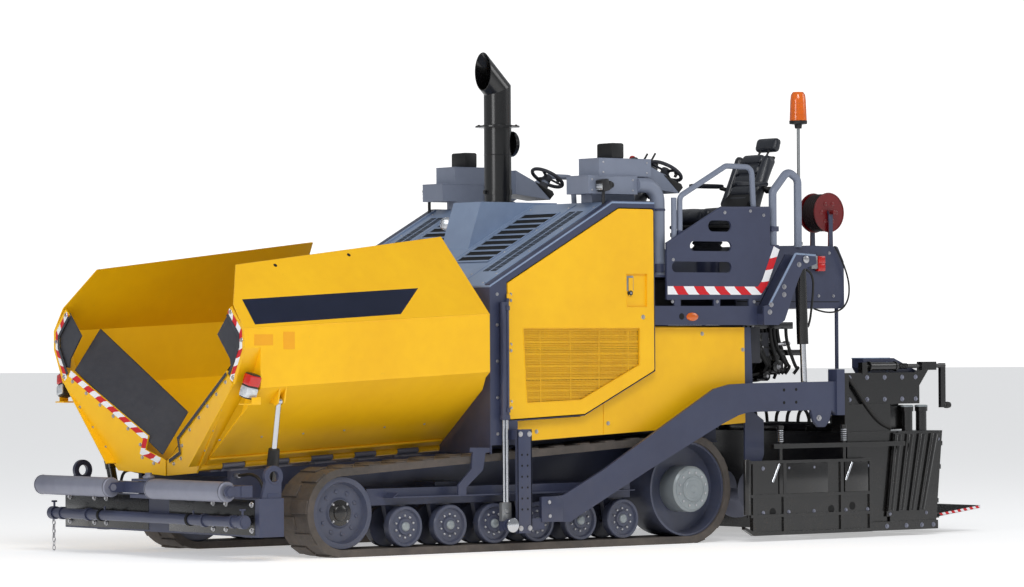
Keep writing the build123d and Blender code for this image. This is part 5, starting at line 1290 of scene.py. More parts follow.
    def flange(self, name: str, side: int) -> None:
        """Beads above the hinge and along the upper crease, and the rubber inside the rim."""
        edge = Shape()
        front = self.front_x - 0.13
        share, half = self.bead
        x0, y0, z0 = self.lower_panel(front, share)
        x1, y1, z1 = self.lower_panel(self.rear_x - 0.05, share)
        edge.rod((x0, y0, z0 - half), (x1, y1, z1 - half), half, segments=10)
        low = self.hinge_z(front) + self.crease_rises[1]
        high = self.hinge_z(self.rear_x) + self.crease_rises[1]
        inside = self.outer_y - 0.003
        edge.rod((self.front_x - 0.004, inside, low - 0.006), (self.rear_x, inside, high), 0.006,
                 segments=10)
        edge.for_side(side).build(f"wing_folds_{name}", YELLOW, f"wing_{name}")
        rubber = Shape()
        rubber.prism(self.rim_strip, Axis.X, (self.front_x + 0.0005, self.front_x + 0.006), 0.001)
        rubber.for_side(side).build(f"rim_rubber_{name}", FLAP, f"wing_{name}")

    def plugs(self, name: str, side: int) -> None:
        """Small round holes near the top edge, shown as thin dark discs of painted shade."""
        plugs = Shape()
        for x, up in self.shaded_hole_places:
            plugs.rod(self.top_panel(x, up), self.top_panel(x, up, 0.0012), 0.014, segments=18)
        plugs.for_side(side).build(f"wing_hole_shades_{name}", DARK, f"wing_{name}")

    def stripe(self) -> None:
        """The plain dark band along the outer top panels."""
        for name, side in SIDES:
            band = Shape()
            face = band.bm.faces.new([band.bm.verts.new(self.top_panel(x, up, 0.0008)) for x,
                                      up in self.band])
            bmesh.ops.solidify(band.bm, geom=[face], thickness=0.0006)
            band.for_side(side).build(f"wing_band_{name}", BAND, f"wing_{name}", smooth=False)

    def plates(self) -> None:
        """Two small blank plates on each outer upright panel."""
        for name, side in SIDES:
            plate = Shape()
            for x, z, width, height in self.blank_plates:
                span, rise = (x - width / 2, x + width / 2), (z - height / 2, z + height / 2)
                plate.box(span, (self.outer_y, self.outer_y + 0.0016), rise, 0.0)
            plate.for_side(side).build(f"wing_plates_{name}", BLANK_PLATE, f"wing_{name}", smooth=False)


@dataclass
class WingCylinders:
    """Dust sleeves of the wing cylinders."""

    foot: Point = (3.026, 0.953, 0.212)
    pin: Point = (3.069, 1.173, 1.100)
    sleeve: Flat = (0.446, 0.575)

    def build(self) -> None:
        """Make the sleeves of both cylinders."""
        for name, side in SIDES:
            run = (Vector(self.pin) - Vector(self.foot)).normalized()
            sleeve = Shape()
            profile = [(self.sleeve[0], 0.036), (self.sleeve[0], 0.0415),
                       (self.sleeve[1] - 0.004, 0.0400),
                       (self.sleeve[1], 0.036), (self.sleeve[1], 0.0198)]
            sleeve.lathe(self.foot, tuple(run), profile, 32)
            sleeve.for_side(side).build(f"rod_sleeve_{name}", PLASTIC, f"wing_barrel_{name}",
                                        slot="black_rubber")


@dataclass
class EngineBay:
    """Door guards, latches, hood louvres, caps and the exhaust's clamps."""

    skin_y: float = 1.132
    lip_y: float = 1.1315
    board_y: Flat = (1.098, 1.102)
    window: tuple[Flat, ...] = ((0.921, 1.596), (-0.156, 1.596), (-0.153, 1.325), (0.395, 1.074),
                                (0.890, 1.057))
    latch_x: Flat = (-0.227, -0.031)
    latch_z: Flat = (1.749, 1.993)
    hood_front: Flat = (1.217, 1.903)
    hood_top: Flat = (0.093, 2.521)
    louvre_count: int = 9
    louvre_pitch: float = 0.084
    bank_y: float = 0.470
    slot_count: int = 44
    slot_pitch: float = 0.021
    slot_ys: tuple[float, ...] = (-0.910, -0.820, 0.820, 0.910)
    seam_ys: tuple[float, ...] = (-0.735, 0.735, -0.205, 0.205)
    screw_rows: tuple[float, ...] = (0.08, 0.42, 0.76, 1.10, 1.24)
    screw_ys: tuple[float, ...] = (-1.000, -0.700, -0.240, 0.240, 0.700, 1.000)
    exhaust_x: float = 0.288
    panel_y: float = 1.0722
    panel_bolts: tuple[Flat, ...] = (
        (-0.798, 1.552), (-1.193, 1.432), (-0.700, 0.960), (0.100, 0.900), (0.760, 0.850),
        (-1.150, 0.960),
    )

    def build(self) -> None:
        """Make every piece of the engine bay."""
        for name, side in SIDES:
            self.guard(name, side)
            self.latch(name, side)
            self.door_trim(name, side)
        self.louvres()
        self.hood_trim()
        self.exhaust()
        self.frame_trim()

    def hood_point(self, along: float, lift: float = 0.0) -> Flat:
        """The x and z of a point on the sloping hood, measured down from its top edge."""
        (x1, z1), (x0, z0) = self.hood_front, self.hood_top
        length = math.hypot(x1 - x0, z0 - z1)
        ux, uz = (x1 - x0) / length, (z1 - z0) / length
        return x0 + along * ux - lift * uz, z0 + along * uz + lift * ux

    def hood_turn(self) -> Matrix:
        """The hood's slope as a turn about Y."""
        (x1, z1), (x0, z0) = self.hood_front, self.hood_top
        return Matrix.Rotation(math.atan2(z0 - z1, x1 - x0), 4, "Y")

    def guard(self, name: str, side: int) -> None:
        """The fine woven guard inside the door's window, the yellow boards behind it and a dark sheet of
        painted shade behind the boards.
        """
        guard = Shape()
        guard.prism(self.window, Axis.Y, (1.1225, 1.1235), 0.0)
        guard.for_side(side).build(f"door_guard_{name}", GUARD, f"door_{name}", smooth=False)
        backing = Shape()
        backing.prism([(0.915, 1.440), (-0.150, 1.440), (-0.150, 1.330), (0.075, 1.226), (0.900, 1.226)],
                      Axis.Y,
                      self.board_y, 0.001)
        backing.prism([(0.917, 1.592), (-0.152, 1.592), (-0.152, 1.468), (0.917, 1.468)], Axis.Y,
                      self.board_y, 0.001)
        backing.prism([(0.900, 1.202), (0.130, 1.202), (0.395, 1.082), (0.890, 1.066)], Axis.Y,
                      self.board_y, 0.001)
        backing.for_side(side).build(f"door_boards_{name}", YELLOW, f"door_{name}", smooth=False)
        # A dark sheet behind the boards: painted shade that shows in the gaps between them.
        gap = Shape()
        gap.prism(self.window, Axis.Y, (1.0960, 1.0975), 0.0)
        gap.for_side(side).build(f"door_gap_shade_{name}", DARK, f"door_{name}", smooth=False)

    def latch(self, name: str, side: int) -> None:
        """Blank plate, knob and lock in the door's recess, and a bolt under it."""
        x0, x1 = self.latch_x
        plate = Shape()
        plate.box((x1 - 0.075, x1 - 0.012), (1.1198, 1.1225), (1.868, 1.978), 0.001)
        plate.for_side(side).build(f"latch_plate_{name}", HUB, f"door_{name}")
        knob = Shape()
        knob.dome((x1 - 0.045, 1.1200, 1.852), OUTWARD, 0.026, 0.011)
        knob.for_side(side).build(f"latch_knob_{name}", PLASTIC, f"door_{name}")
        lock = Shape()
        lock.bolt((x0 + 0.040, self.skin_y, 1.676), OUTWARD, 0.012)
        lock.rod((x1 - 0.045, 1.130, 1.852), (x1 - 0.045, 1.1325, 1.852), 0.009)
        for z in (1.025, 1.435, 1.795):
            lock.side_bolts(((1.030, z), (1.030, z + 0.045)), self.skin_y, 0.008)
        lock.for_side(side).build(f"door_bolts_{name}", ZINC, f"door_{name}")

    def door_trim(self, name: str, side: int) -> None:
        """The raised lip round the window and the recess."""
        lip = Shape()
        lip.rail(at_y((*self.window, self.window[0]), self.lip_y), 0.0035, 8)
        x0, x1 = self.latch_x
        z0, z1 = self.latch_z
        lip.rail(at_y(((x0, z0), (x1, z0), (x1, z1), (x0, z1), (x0, z0)), self.lip_y), 0.0030, 8)
        lip.for_side(side).build(f"door_lip_{name}", YELLOW, f"door_{name}")

    def louvres(self) -> None:
        """Dark banks of painted shade in the louvre openings, with light blades across them, and short dark
        slots of painted shade between the cut ones.
        """
        turn = self.hood_turn()
        banks = Shape()
        blades = Shape()
        middle = 0.190 + self.louvre_pitch * (self.louvre_count - 1) / 2
        half = self.louvre_pitch * self.louvre_count / 2 - 0.006
        x, z = self.hood_point(middle, 0.0006)
        for y in (-self.bank_y, self.bank_y):
            banks.box((x - half, x + half), (y - 0.204, y + 0.204), (z - 0.0006, z + 0.0012), 0.0, turn)
            for index in range(self.louvre_count + 1):
                bx, bz = self.hood_point(middle - half + 0.006 + index * self.louvre_pitch * 0.985, 0.006)
                blades.box((bx - 0.012, bx + 0.012), (y - 0.208, y + 0.208), (bz - 0.002, bz + 0.002),
                           0.001, turn)
            for edge in (y - 0.206, y + 0.206):
                ex, ez = self.hood_point(middle, 0.004)
                blades.box((ex - half - 0.006, ex + half + 0.006), (edge - 0.005, edge + 0.005),
                           (ez - 0.004, ez + 0.004), 0.001, turn)
        # Painted shade: flat dark boxes standing for the openings under the blades.
        banks.build("louvre_opening_shades", DARK)
        blades.build("louvre_blades", HOOD)
        # Painted shade: flat dark marks standing for the hood's open slots.
        marks = Shape()
        for index in range(self.slot_count):
            x, z = self.hood_point(0.150 + index * self.slot_pitch, 0.0006)
            for y in self.slot_ys:
                marks.box((x - 0.0062, x + 0.0062), (y - 0.034, y + 0.034), (z - 0.0006, z + 0.0006), 0.0,
                          turn)
        marks.build("hood_slot_shades", DARK)

    def hood_trim(self) -> None:
        """Raised seams, edge rails and screws of the hood."""
        seams = Shape()
        turn = self.hood_turn()
        for y in self.seam_ys:
            x, z = self.hood_point(0.63, 0.001)
            seams.box((x - 0.60, x + 0.60), (y - 0.004, y + 0.004), (z - 0.002, z + 0.003), 0.001, turn)
        for y in (-1.045, 1.045):
            x, z = self.hood_point(0.635, 0.004)
            seams.box((x - 0.62, x + 0.62), (y - 0.012, y + 0.012), (z - 0.005, z + 0.007), 0.002, turn)
        seams.build("hood_seams", HOOD)
        rails = Shape()
        for y in (-1.098, 1.098):
            x, z = self.hood_point(0.640, 0.004)
            rails.box((x - 0.640, x + 0.640), (y - 0.030, y + 0.030), (z - 0.004, z + 0.004), 0.002, turn)
            rails.box((-0.302, 0.095), (y - 0.030, y + 0.030), (2.5205, 2.5285), 0.002)
        rails.build("hood_rails", SLATE)
        screws = Shape()
        for along in self.screw_rows:
            x, z = self.hood_point(along, 0.0)
            sx, sz = self.hood_point(along, 1.0)
            for y in self.screw_ys:
                screws.dome((x, y, z), (sx - x, 0, sz - z), 0.009, 0.005, 10)
        screws.build("hood_screws", ZINC)

    def exhaust(self) -> None:
        """Clamp band, weld line, ring bolts and cap lever of the exhaust."""
        band = Shape()
        band.lathe((self.exhaust_x, 0, 2.620), UPWARD,
                   [(-0.020, 0.103), (-0.020, 0.107), (0.020, 0.107), (0.020, 0.103)], 48)
        band.box((0.388, 0.420), (-0.012, 0.012), (2.606, 2.634), 0.003)
        band.loop((self.exhaust_x, 0, 2.900), UPWARD, 0.1025, 0.003, 48, 6)
        band.loop((self.exhaust_x, 0, 3.120), UPWARD, 0.105, 0.006, 48, 6)
        for place in circle_of((self.exhaust_x, 0.0, 3.118), Axis.Z, 0.140, 6, 20.0):
            band.bolt(place, UPWARD, 0.010)
        band.rod((0.150, -0.020, 2.985), (0.150, -0.020, 3.130), 0.006)
        band.loop((0.150, 0, 2.985), FORWARD, 0.075, 0.004, 32, 6)
        band.build("exhaust_bands", BLACK)

    def frame_trim(self) -> None:
        """Edge returns and bolts of the slate frame, and bolts of the yellow side panels."""
        bolts = Shape()
        bolts.side_bolts(self.panel_bolts, self.panel_y, 0.011)
        for z in (0.84, 1.10, 1.36, 1.62, 1.84):
            bolts.bolt((1.150, 1.128, z), OUTWARD, 0.009)
        for y in (0.30, 0.62, 0.94):
            for z in (1.30, 1.80):
                bolts.bolt((1.217, y, z), FORWARD, 0.010)
        bolts.both_sides().build("panel_bolts", ZINC)
        sill = Shape()
        sill.box((-1.208, -0.310), (0.920, 1.058), (1.598, 1.6155), 0.002)
        sill.both_sides().build("sill_strips", DARK)
        trim = Shape()
        trim.box((1.2172, 1.222), (0.56, 1.10), (1.28, 1.284), 0.0)
        trim.box((-1.205, -0.310), (self.panel_y, 1.0775), (1.592, 1.600), 0.001)
        trim.both_sides().build("panel_trim", YELLOW)


@dataclass
class Station:
    """Consoles' details, rails' clamps, tape and markers of the operator station."""

    side_y: float = 1.128
    tape_z: float = 1.873
    tape_width: float = 0.062
    console_z: float = 2.580
    rail_y: float = 1.0887
    edge_y: float = 1.119
    post: Flat = (-0.427, 1.010)
    clamp_places: tuple[Flat, ...] = ((-0.577, 2.30), (-0.577, 2.20), (-1.290, 2.46), (-0.520, 2.18))
    panel_top: tuple[Flat, ...] = ((-0.419, 2.216), (-0.943, 2.489), (-1.424, 2.497))
    panel_bolts: tuple[Flat, ...] = (
        (-0.470, 1.790), (-0.900, 1.790), (-1.260, 1.790), (-0.480, 2.10), (-1.360, 2.44), (-1.230, 2.47),
        (-0.98, 2.455),
    )
    rib_count: int = 16
    rib_pitch: float = 0.057
    wheel: Point = (-0.740, 0.725, 2.774)
    wheel_tilt: float = 32.0

    def build(self) -> None:
        """Make every piece of the station."""
        self.side_tape()
        self.markers()
        self.consoles()
        self.rail_clamps()
        self.deck()
        for name, side in SIDES:
            self.wheel_column(name, side)

    def side_tape(self) -> None:
        """Hazard tape along the foot of the side panels and up their rear edges."""
        tape = Shape()
        line = ((-0.424, self.tape_z), (-1.312, self.tape_z), (-1.366, 1.935), (-1.485, 2.196))
        tape.ribbon(at_y(line, self.side_y), OUTWARD, self.tape_width)
        tape.both_sides().build("station_tape", TAPE, slot="slate_paint", smooth=False, flat_tape=True)

    def markers(self) -> None:
        """Amber oval marker and dark plug on the side beams."""
        amber = Shape()
        plug = Shape()
        amber.dome((-0.658, 0.0, 1.678), OUTWARD, 0.032, 0.012)
        for vert in amber.bm.verts:
            vert.co.x = -0.658 + (vert.co.x + 0.658) * 1.75
            vert.co.y += self.side_y
        plug.dome((-0.557, self.side_y, 1.680), OUTWARD, 0.024, 0.006)
        amber.both_sides().build("beam_markers", AMBER)
        plug.both_sides().build("beam_plugs", DARK)

    def consoles(self) -> None:
        """Dark display hoods, screens, knobs, switches and seams of both consoles."""
        z = self.console_z
        hood = Shape()
        hood.box((-0.128, -0.012), (0.812, 0.998), (z + 0.262, z + 0.378), 0.014)
        hood.prism([(-0.700, z + 0.026), (-0.738, z + 0.062), (-0.722, z + 0.090), (-0.560, z + 0.156),
                    (-0.560, z + 0.150)], Axis.Y,
                   (0.634, 0.936), 0.003)
        hood.both_sides().build("display_hoods", PLASTIC)
        knobs = Shape()
        knobs.dome((0.020, 1.0302, z + 0.066), OUTWARD, 0.022, 0.012)
        knobs.dome((-0.300, 0.900, z + 0.262), UPWARD, 0.030, 0.020)
        for x in (-0.42, -0.48, -0.54):
            for y in (0.70, 0.78, 0.86):
                knobs.rod((x, y, z + 0.215 + (x + 0.42) * 0.42), (x, y, z + 0.236 + (x + 0.42) * 0.42),
                          0.010, segments=12)
        knobs.both_sides().build("console_knobs", PLASTIC)
        red = Shape()
        red.dome((-0.330, 0.840, z + 0.264), UPWARD, 0.024, 0.032)
        red.both_sides().build("stop_buttons", RED_LENS, slot="red_paint")
        trim = Shape()
        trim.box((-0.2245, 0.238), (0.768, 1.032), (z + 0.1285, z + 0.1345), 0.002)
        trim.box((-0.3715, 0.1215), (0.768, 1.012), (z + 0.2585, z + 0.2645), 0.002)
        trim.box((-0.160, -0.154), (0.770, 1.0305), (z + 0.004, z + 0.128), 0.001)
        trim.both_sides().build("console_trim", CONSOLE)
        bolts = Shape()
        for x, bz in ((-0.18, 0.028), (0.20, 0.028), (-0.18, 0.104), (0.20, 0.104)):
            bolts.dome((x, 1.030, z + bz), OUTWARD, 0.008, 0.005, 10)
        for x in (-0.33, 0.08):
            for bz in (0.16, 0.235):
                bolts.dome((x, 1.010, z + bz), OUTWARD, 0.008, 0.005, 10)
        bolts.both_sides().build("console_bolts", ZINC)

    def rail_clamps(self) -> None:
        """Clamps, collars and bolts where the rails meet the side panels."""
        clamps = Shape()
        for x, z in self.clamp_places:
            clamps.box((x - 0.028, x + 0.028), (self.rail_y - 0.024, 1.1098), (z - 0.018, z + 0.018),
                       0.004)
        for z in (2.20, 2.34):
            clamps.box((-1.527, -1.453), (1.046, 1.1098), (z - 0.020, z + 0.020), 0.004)
        clamps.lathe((*self.post, 2.040), UPWARD,
                     [(-0.03, 0.055), (-0.03, 0.064), (0.03, 0.064), (0.03, 0.055)])
        clamps.lathe((*self.post, 2.470), UPWARD,
                     [(-0.008, 0.055), (-0.008, 0.060), (0.008, 0.060), (0.008, 0.055)])
        clamps.both_sides().build("rail_clamps", SLATE)
        edge = Shape()
        edge.rail(at_y(self.panel_top, self.edge_y), 0.010, 12)
        edge.both_sides().build("panel_edges", SLATE)
        bolts = Shape()
        bolts.side_bolts(self.panel_bolts, self.side_y, 0.009)
        bolts.both_sides().build("station_bolts", ZINC)

    def deck(self) -> None:
        """Anti-slip ribs on the floor."""
        ribs = Shape()
        for index in range(self.rib_count):
            x = -0.37 - index * self.rib_pitch
            ribs.box((x - 0.012, x + 0.012), (-0.45, 0.45), (1.9845, 1.9900), 0.0015)
        ribs.build("deck_ribs", SLATE)

    def wheel_column(self, name: str, side: int) -> None:
        """Boot, hub cap and knob of a steering wheel."""
        tilt = math.radians(self.wheel_tilt)
        up = Vector((-math.sin(tilt), 0.0, math.cos(tilt)))
        centre = Vector((self.wheel[0], side * self.wheel[1], self.wheel[2]))
        cap = Shape()
        cap.dome(tuple(centre + up * 0.010), tuple(up), 0.034, 0.012)
        across = Vector((math.cos(tilt), 0.0, math.sin(tilt)))
        knob = centre - across * 0.100 + up * 0.012
        cap.rod(tuple(knob), tuple(knob + up * 0.030), 0.012, bevel=0.002)
        cap.dome(tuple(knob + up * 0.028), tuple(up), 0.022, 0.026)
        cap.build(f"wheel_knob_{name}", PLASTIC, f"steering_wheel_{name}", slot="black_rubber")
        boot = Shape()
        boot.lathe(tuple(centre - up * 0.150), tuple(up),
                   [(0.0, 0.052), (0.018, 0.046), (0.026, 0.050), (0.044, 0.043), (0.052, 0.046),
                    (0.070, 0.038), (0.095, 0.034)])
        boot.build(f"column_boot_{name}", FLAP)


@dataclass
class Seat:
    """One padded seat: cushion, back with sewn channels, headrest and armrests."""

    name: str
    side: int
    headrest: bool = True
    middle_y: float = 0.705
    swell: float = 4.0
    cloth_frames: int = 12
    back_foot: Flat = (-1.475, 2.495)
    back_lean: float = 24.0

    def build(self) -> None:
        """Make the seat's pieces and hide the plain CAD one."""
        cushion = self.pad("seat_cushion", self.cushion_form(), 0.016)
        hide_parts(f"seat_{self.name}")
        self.pad("seat_back", self.back_form(), 0.014)
        if self.headrest:
            self.pad("seat_headrest", self.headrest_form(), 0.010)
        self.arms()
        self.pan()

    def cushion_form(self) -> Shape:
        """The cushion: raised bolsters at its sides and a rounded front."""
        form = Shape()
        y = self.side * self.middle_y
        form.box((-1.385, -0.965), (y - 0.150, y + 0.150), (2.372, 2.476), 0.030)
        for s in (-1, 1):
            form.box((-1.375, -0.975), (y + s * 0.180 - 0.048, y + s * 0.180 + 0.048), (2.366, 2.490),
                     0.030)
        return form

    def back_form(self) -> Shape:
        """The back: a leaning centre with channels between two bolsters."""
        form = Shape()
        y = self.side * self.middle_y
        lean = Matrix.Rotation(math.radians(-self.back_lean), 4, "Y")
        for index in range(5):
            up = 0.055 + index * 0.088
            x, z = self.back_point(up, -0.002)
            form.box((x - 0.040, x + 0.040), (y - 0.118, y + 0.118), (z - 0.040, z + 0.040), 0.022, lean)
        x, z = self.back_point(0.235, -0.024)
        form.box((x - 0.022, x + 0.022), (y - 0.165, y + 0.165), (z - 0.225, z + 0.225), 0.018, lean)
        for s in (-1, 1):
            x, z = self.back_point(0.225, 0.002)
            form.box((x - 0.050, x + 0.050), (y + s * 0.163 - 0.036, y + s * 0.163 + 0.036),
                     (z - 0.215, z + 0.215), 0.030, lean)
        return form

    def back_point(self, up: float, out: float) -> Flat:
        """The x and z of a point on the back, up its slope and out of its middle plane."""
        lean = math.radians(self.back_lean)
        x, z = self.back_foot
        return x - up * math.sin(lean) + out * math.cos(lean), z + up * math.cos(lean) + out * math.sin(lean)

    def headrest_form(self) -> Shape:
        """The headrest on the back's top."""
        form = Shape()
        y = self.side * self.middle_y
        lean = Matrix.Rotation(math.radians(-16.0), 4, "Y")
        form.box((-1.805, -1.735), (y - 0.122, y + 0.122), (2.936, 3.046), 0.030, lean)
        return form

    def pad(self, kind: str, form: Shape, cap: float) -> bpy.types.Object:
        """Turn a rough form into a padded piece.

        Args:
            kind: The piece's name without its side.
            form: Its rough shape, slightly small.
            cap: How far a point may move as the pad swells.

        Returns:
            The padded piece.
        """
        piece = form.build(f"{kind}_{self.name}", SEAT_VINYL)
        remesh = piece.modifiers.new("voxels", "REMESH")
        remesh.mode = "VOXEL"
        remesh.voxel_size = 0.006
        self.apply(piece)
        self.inflate(piece, cap)
        smooth = piece.modifiers.new("smooth", "SMOOTH")
        smooth.factor = 0.5
        smooth.iterations = 3
        self.apply(piece)
        piece.data.shade_smooth()
        return piece

    def inflate(self, piece: bpy.types.Object, cap: float) -> None:
        """Swell the piece under a little pressure, holding each point near its start."""
        scene = bpy.context.scene
        start = [vert.co.copy() for vert in piece.data.vertices]
        cloth = piece.modifiers.new("cloth", "CLOTH")
        cloth.settings.use_pressure = True
        cloth.settings.uniform_pressure_force = self.swell
        cloth.settings.effector_weights.gravity = 0.0
        cloth.settings.quality = 4
        for number in range(1, self.cloth_frames + 1):
            scene.frame_set(number)
        self.apply(piece)
        for vert, before in zip(piece.data.vertices, start):
            moved = vert.co - before
            if moved.length > cap:
                vert.co = before + moved.normalized() * cap
        scene.frame_set(1)

    @staticmethod
    def apply(piece: bpy.types.Object) -> None:
        """Keep what the modifiers made as the piece's own mesh."""
        graph = bpy.context.evaluated_depsgraph_get()
        made = bpy.data.meshes.new_from_object(piece.evaluated_get(graph), depsgraph=graph)
        piece.modifiers.clear()
        old = piece.data
        piece.data = made
        bpy.data.meshes.remove(old)

    def arms(self) -> None:
        """Armrests with padded tops on steel arms, one a side."""
        arm = Shape()
        y = self.side * self.middle_y
        for s in (-1, 1):
            edge = y + s * 0.262
            arm.box((-1.530, -1.215), (edge - 0.030, edge + 0.030), (2.662, 2.700), 0.014)
        piece = arm.build(f"armrests_{self.name}", SEAT_VINYL)
        level = piece.modifiers.new("round", "SUBSURF")
        level.levels = 1
        level.render_levels = 1
        steel = Shape()
        for s in (-1, 1):
            edge = y + s * 0.232
            steel.rod((-1.500, edge + s * 0.020, 2.670), (-1.590, edge - s * 0.020, 2.640), 0.016,
                      bevel=0.003)
            steel.rod((-1.590, edge - s * 0.045, 2.640), (-1.590, edge + s * 0.01, 2.640), 0.026,
                      bevel=0.003)
        steel.build(f"arm_brackets_{self.name}", PLASTIC)

    def pan(self) -> None:
        """The seat's pan, its bellows, slide rails and the posts of the headrest."""
        pan = Shape()
        y = self.side * self.middle_y
        pan.box((-1.395, -0.955), (y - 0.205, y + 0.205), (2.346, 2.372), 0.008)
        pan.box((-1.330, -1.000), (y - 0.160, y + 0.160), (2.3185, 2.348), 0.006)
        for s in (-1, 1):
            pan.rod((-1.690, y + s * 0.050, 2.880), (-1.765, y + s * 0.050, 2.985), 0.008)
        pan.prism([(-1.395, 2.350), (-1.400, 2.500), (-1.700, 2.905), (-1.722, 2.895), (-1.455, 2.440),
                   (-1.430, 2.350)], Axis.Y,
                  (y - 0.150, y + 0.150), 0.008)
        pan.build(f"seat_pan_{self.name}", PLASTIC)
        bellows = Shape()
        rings = [(z, 0.118 if index % 2 else 0.100) for index,
                 z in enumerate((2.180, 2.200, 2.220, 2.240, 2.260, 2.280))]
        bellows.lathe((-1.160, y, 0.0), UPWARD, rings)
        bellows.build(f"seat_bellows_{self.name}", FLAP)


@dataclass
class Beacon:
    """The flat-topped amber beacon on its thin grey pole."""

    place: Flat = (-1.954, 0.846)
    pole_z: Flat = (2.2303, 3.150)
    top_z: float = 3.3985

    def build(self) -> None:
        """Make the pole, the base and the dome in place of the CAD node."""
        x, y = self.place
        dome = Shape()
        base = self.pole_z[1] + 0.030
        high = self.top_z - base
        dome.lathe((x, y, base), UPWARD,
                   [(0.0, 0.066), (high * 0.70, 0.060), (high * 0.90, 0.055), (high, 0.040), (high, 0.0)],
                   40)
        for share in (0.2, 0.4, 0.6):
            dome.loop((x, y, base + high * share), UPWARD, 0.0635 - share * 0.006, 0.002, 40, 6)
        piece = dome.build("beacon_dome", AMBER)
        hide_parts("beacon")
        pole = Shape()
        pole.rod((x, y, self.pole_z[0]), (x, y, self.pole_z[1]), 0.0125)
        pole.lathe((x, y, self.pole_z[0]), UPWARD,
                   [(0.0, 0.030), (0.02, 0.028), (0.03, 0.014), (0.12, 0.014), (0.12, 0.0)])
        pole.build("beacon_pole", POLE)
        foot = Shape()
        foot.lathe((x, y, self.pole_z[1] - 0.030), UPWARD,
                   [(0.0, 0.016), (0.0, 0.026), (0.030, 0.030), (0.034, 0.068), (0.058, 0.069),
                    (0.060, 0.0)])
        foot.build("beacon_base", PLASTIC)


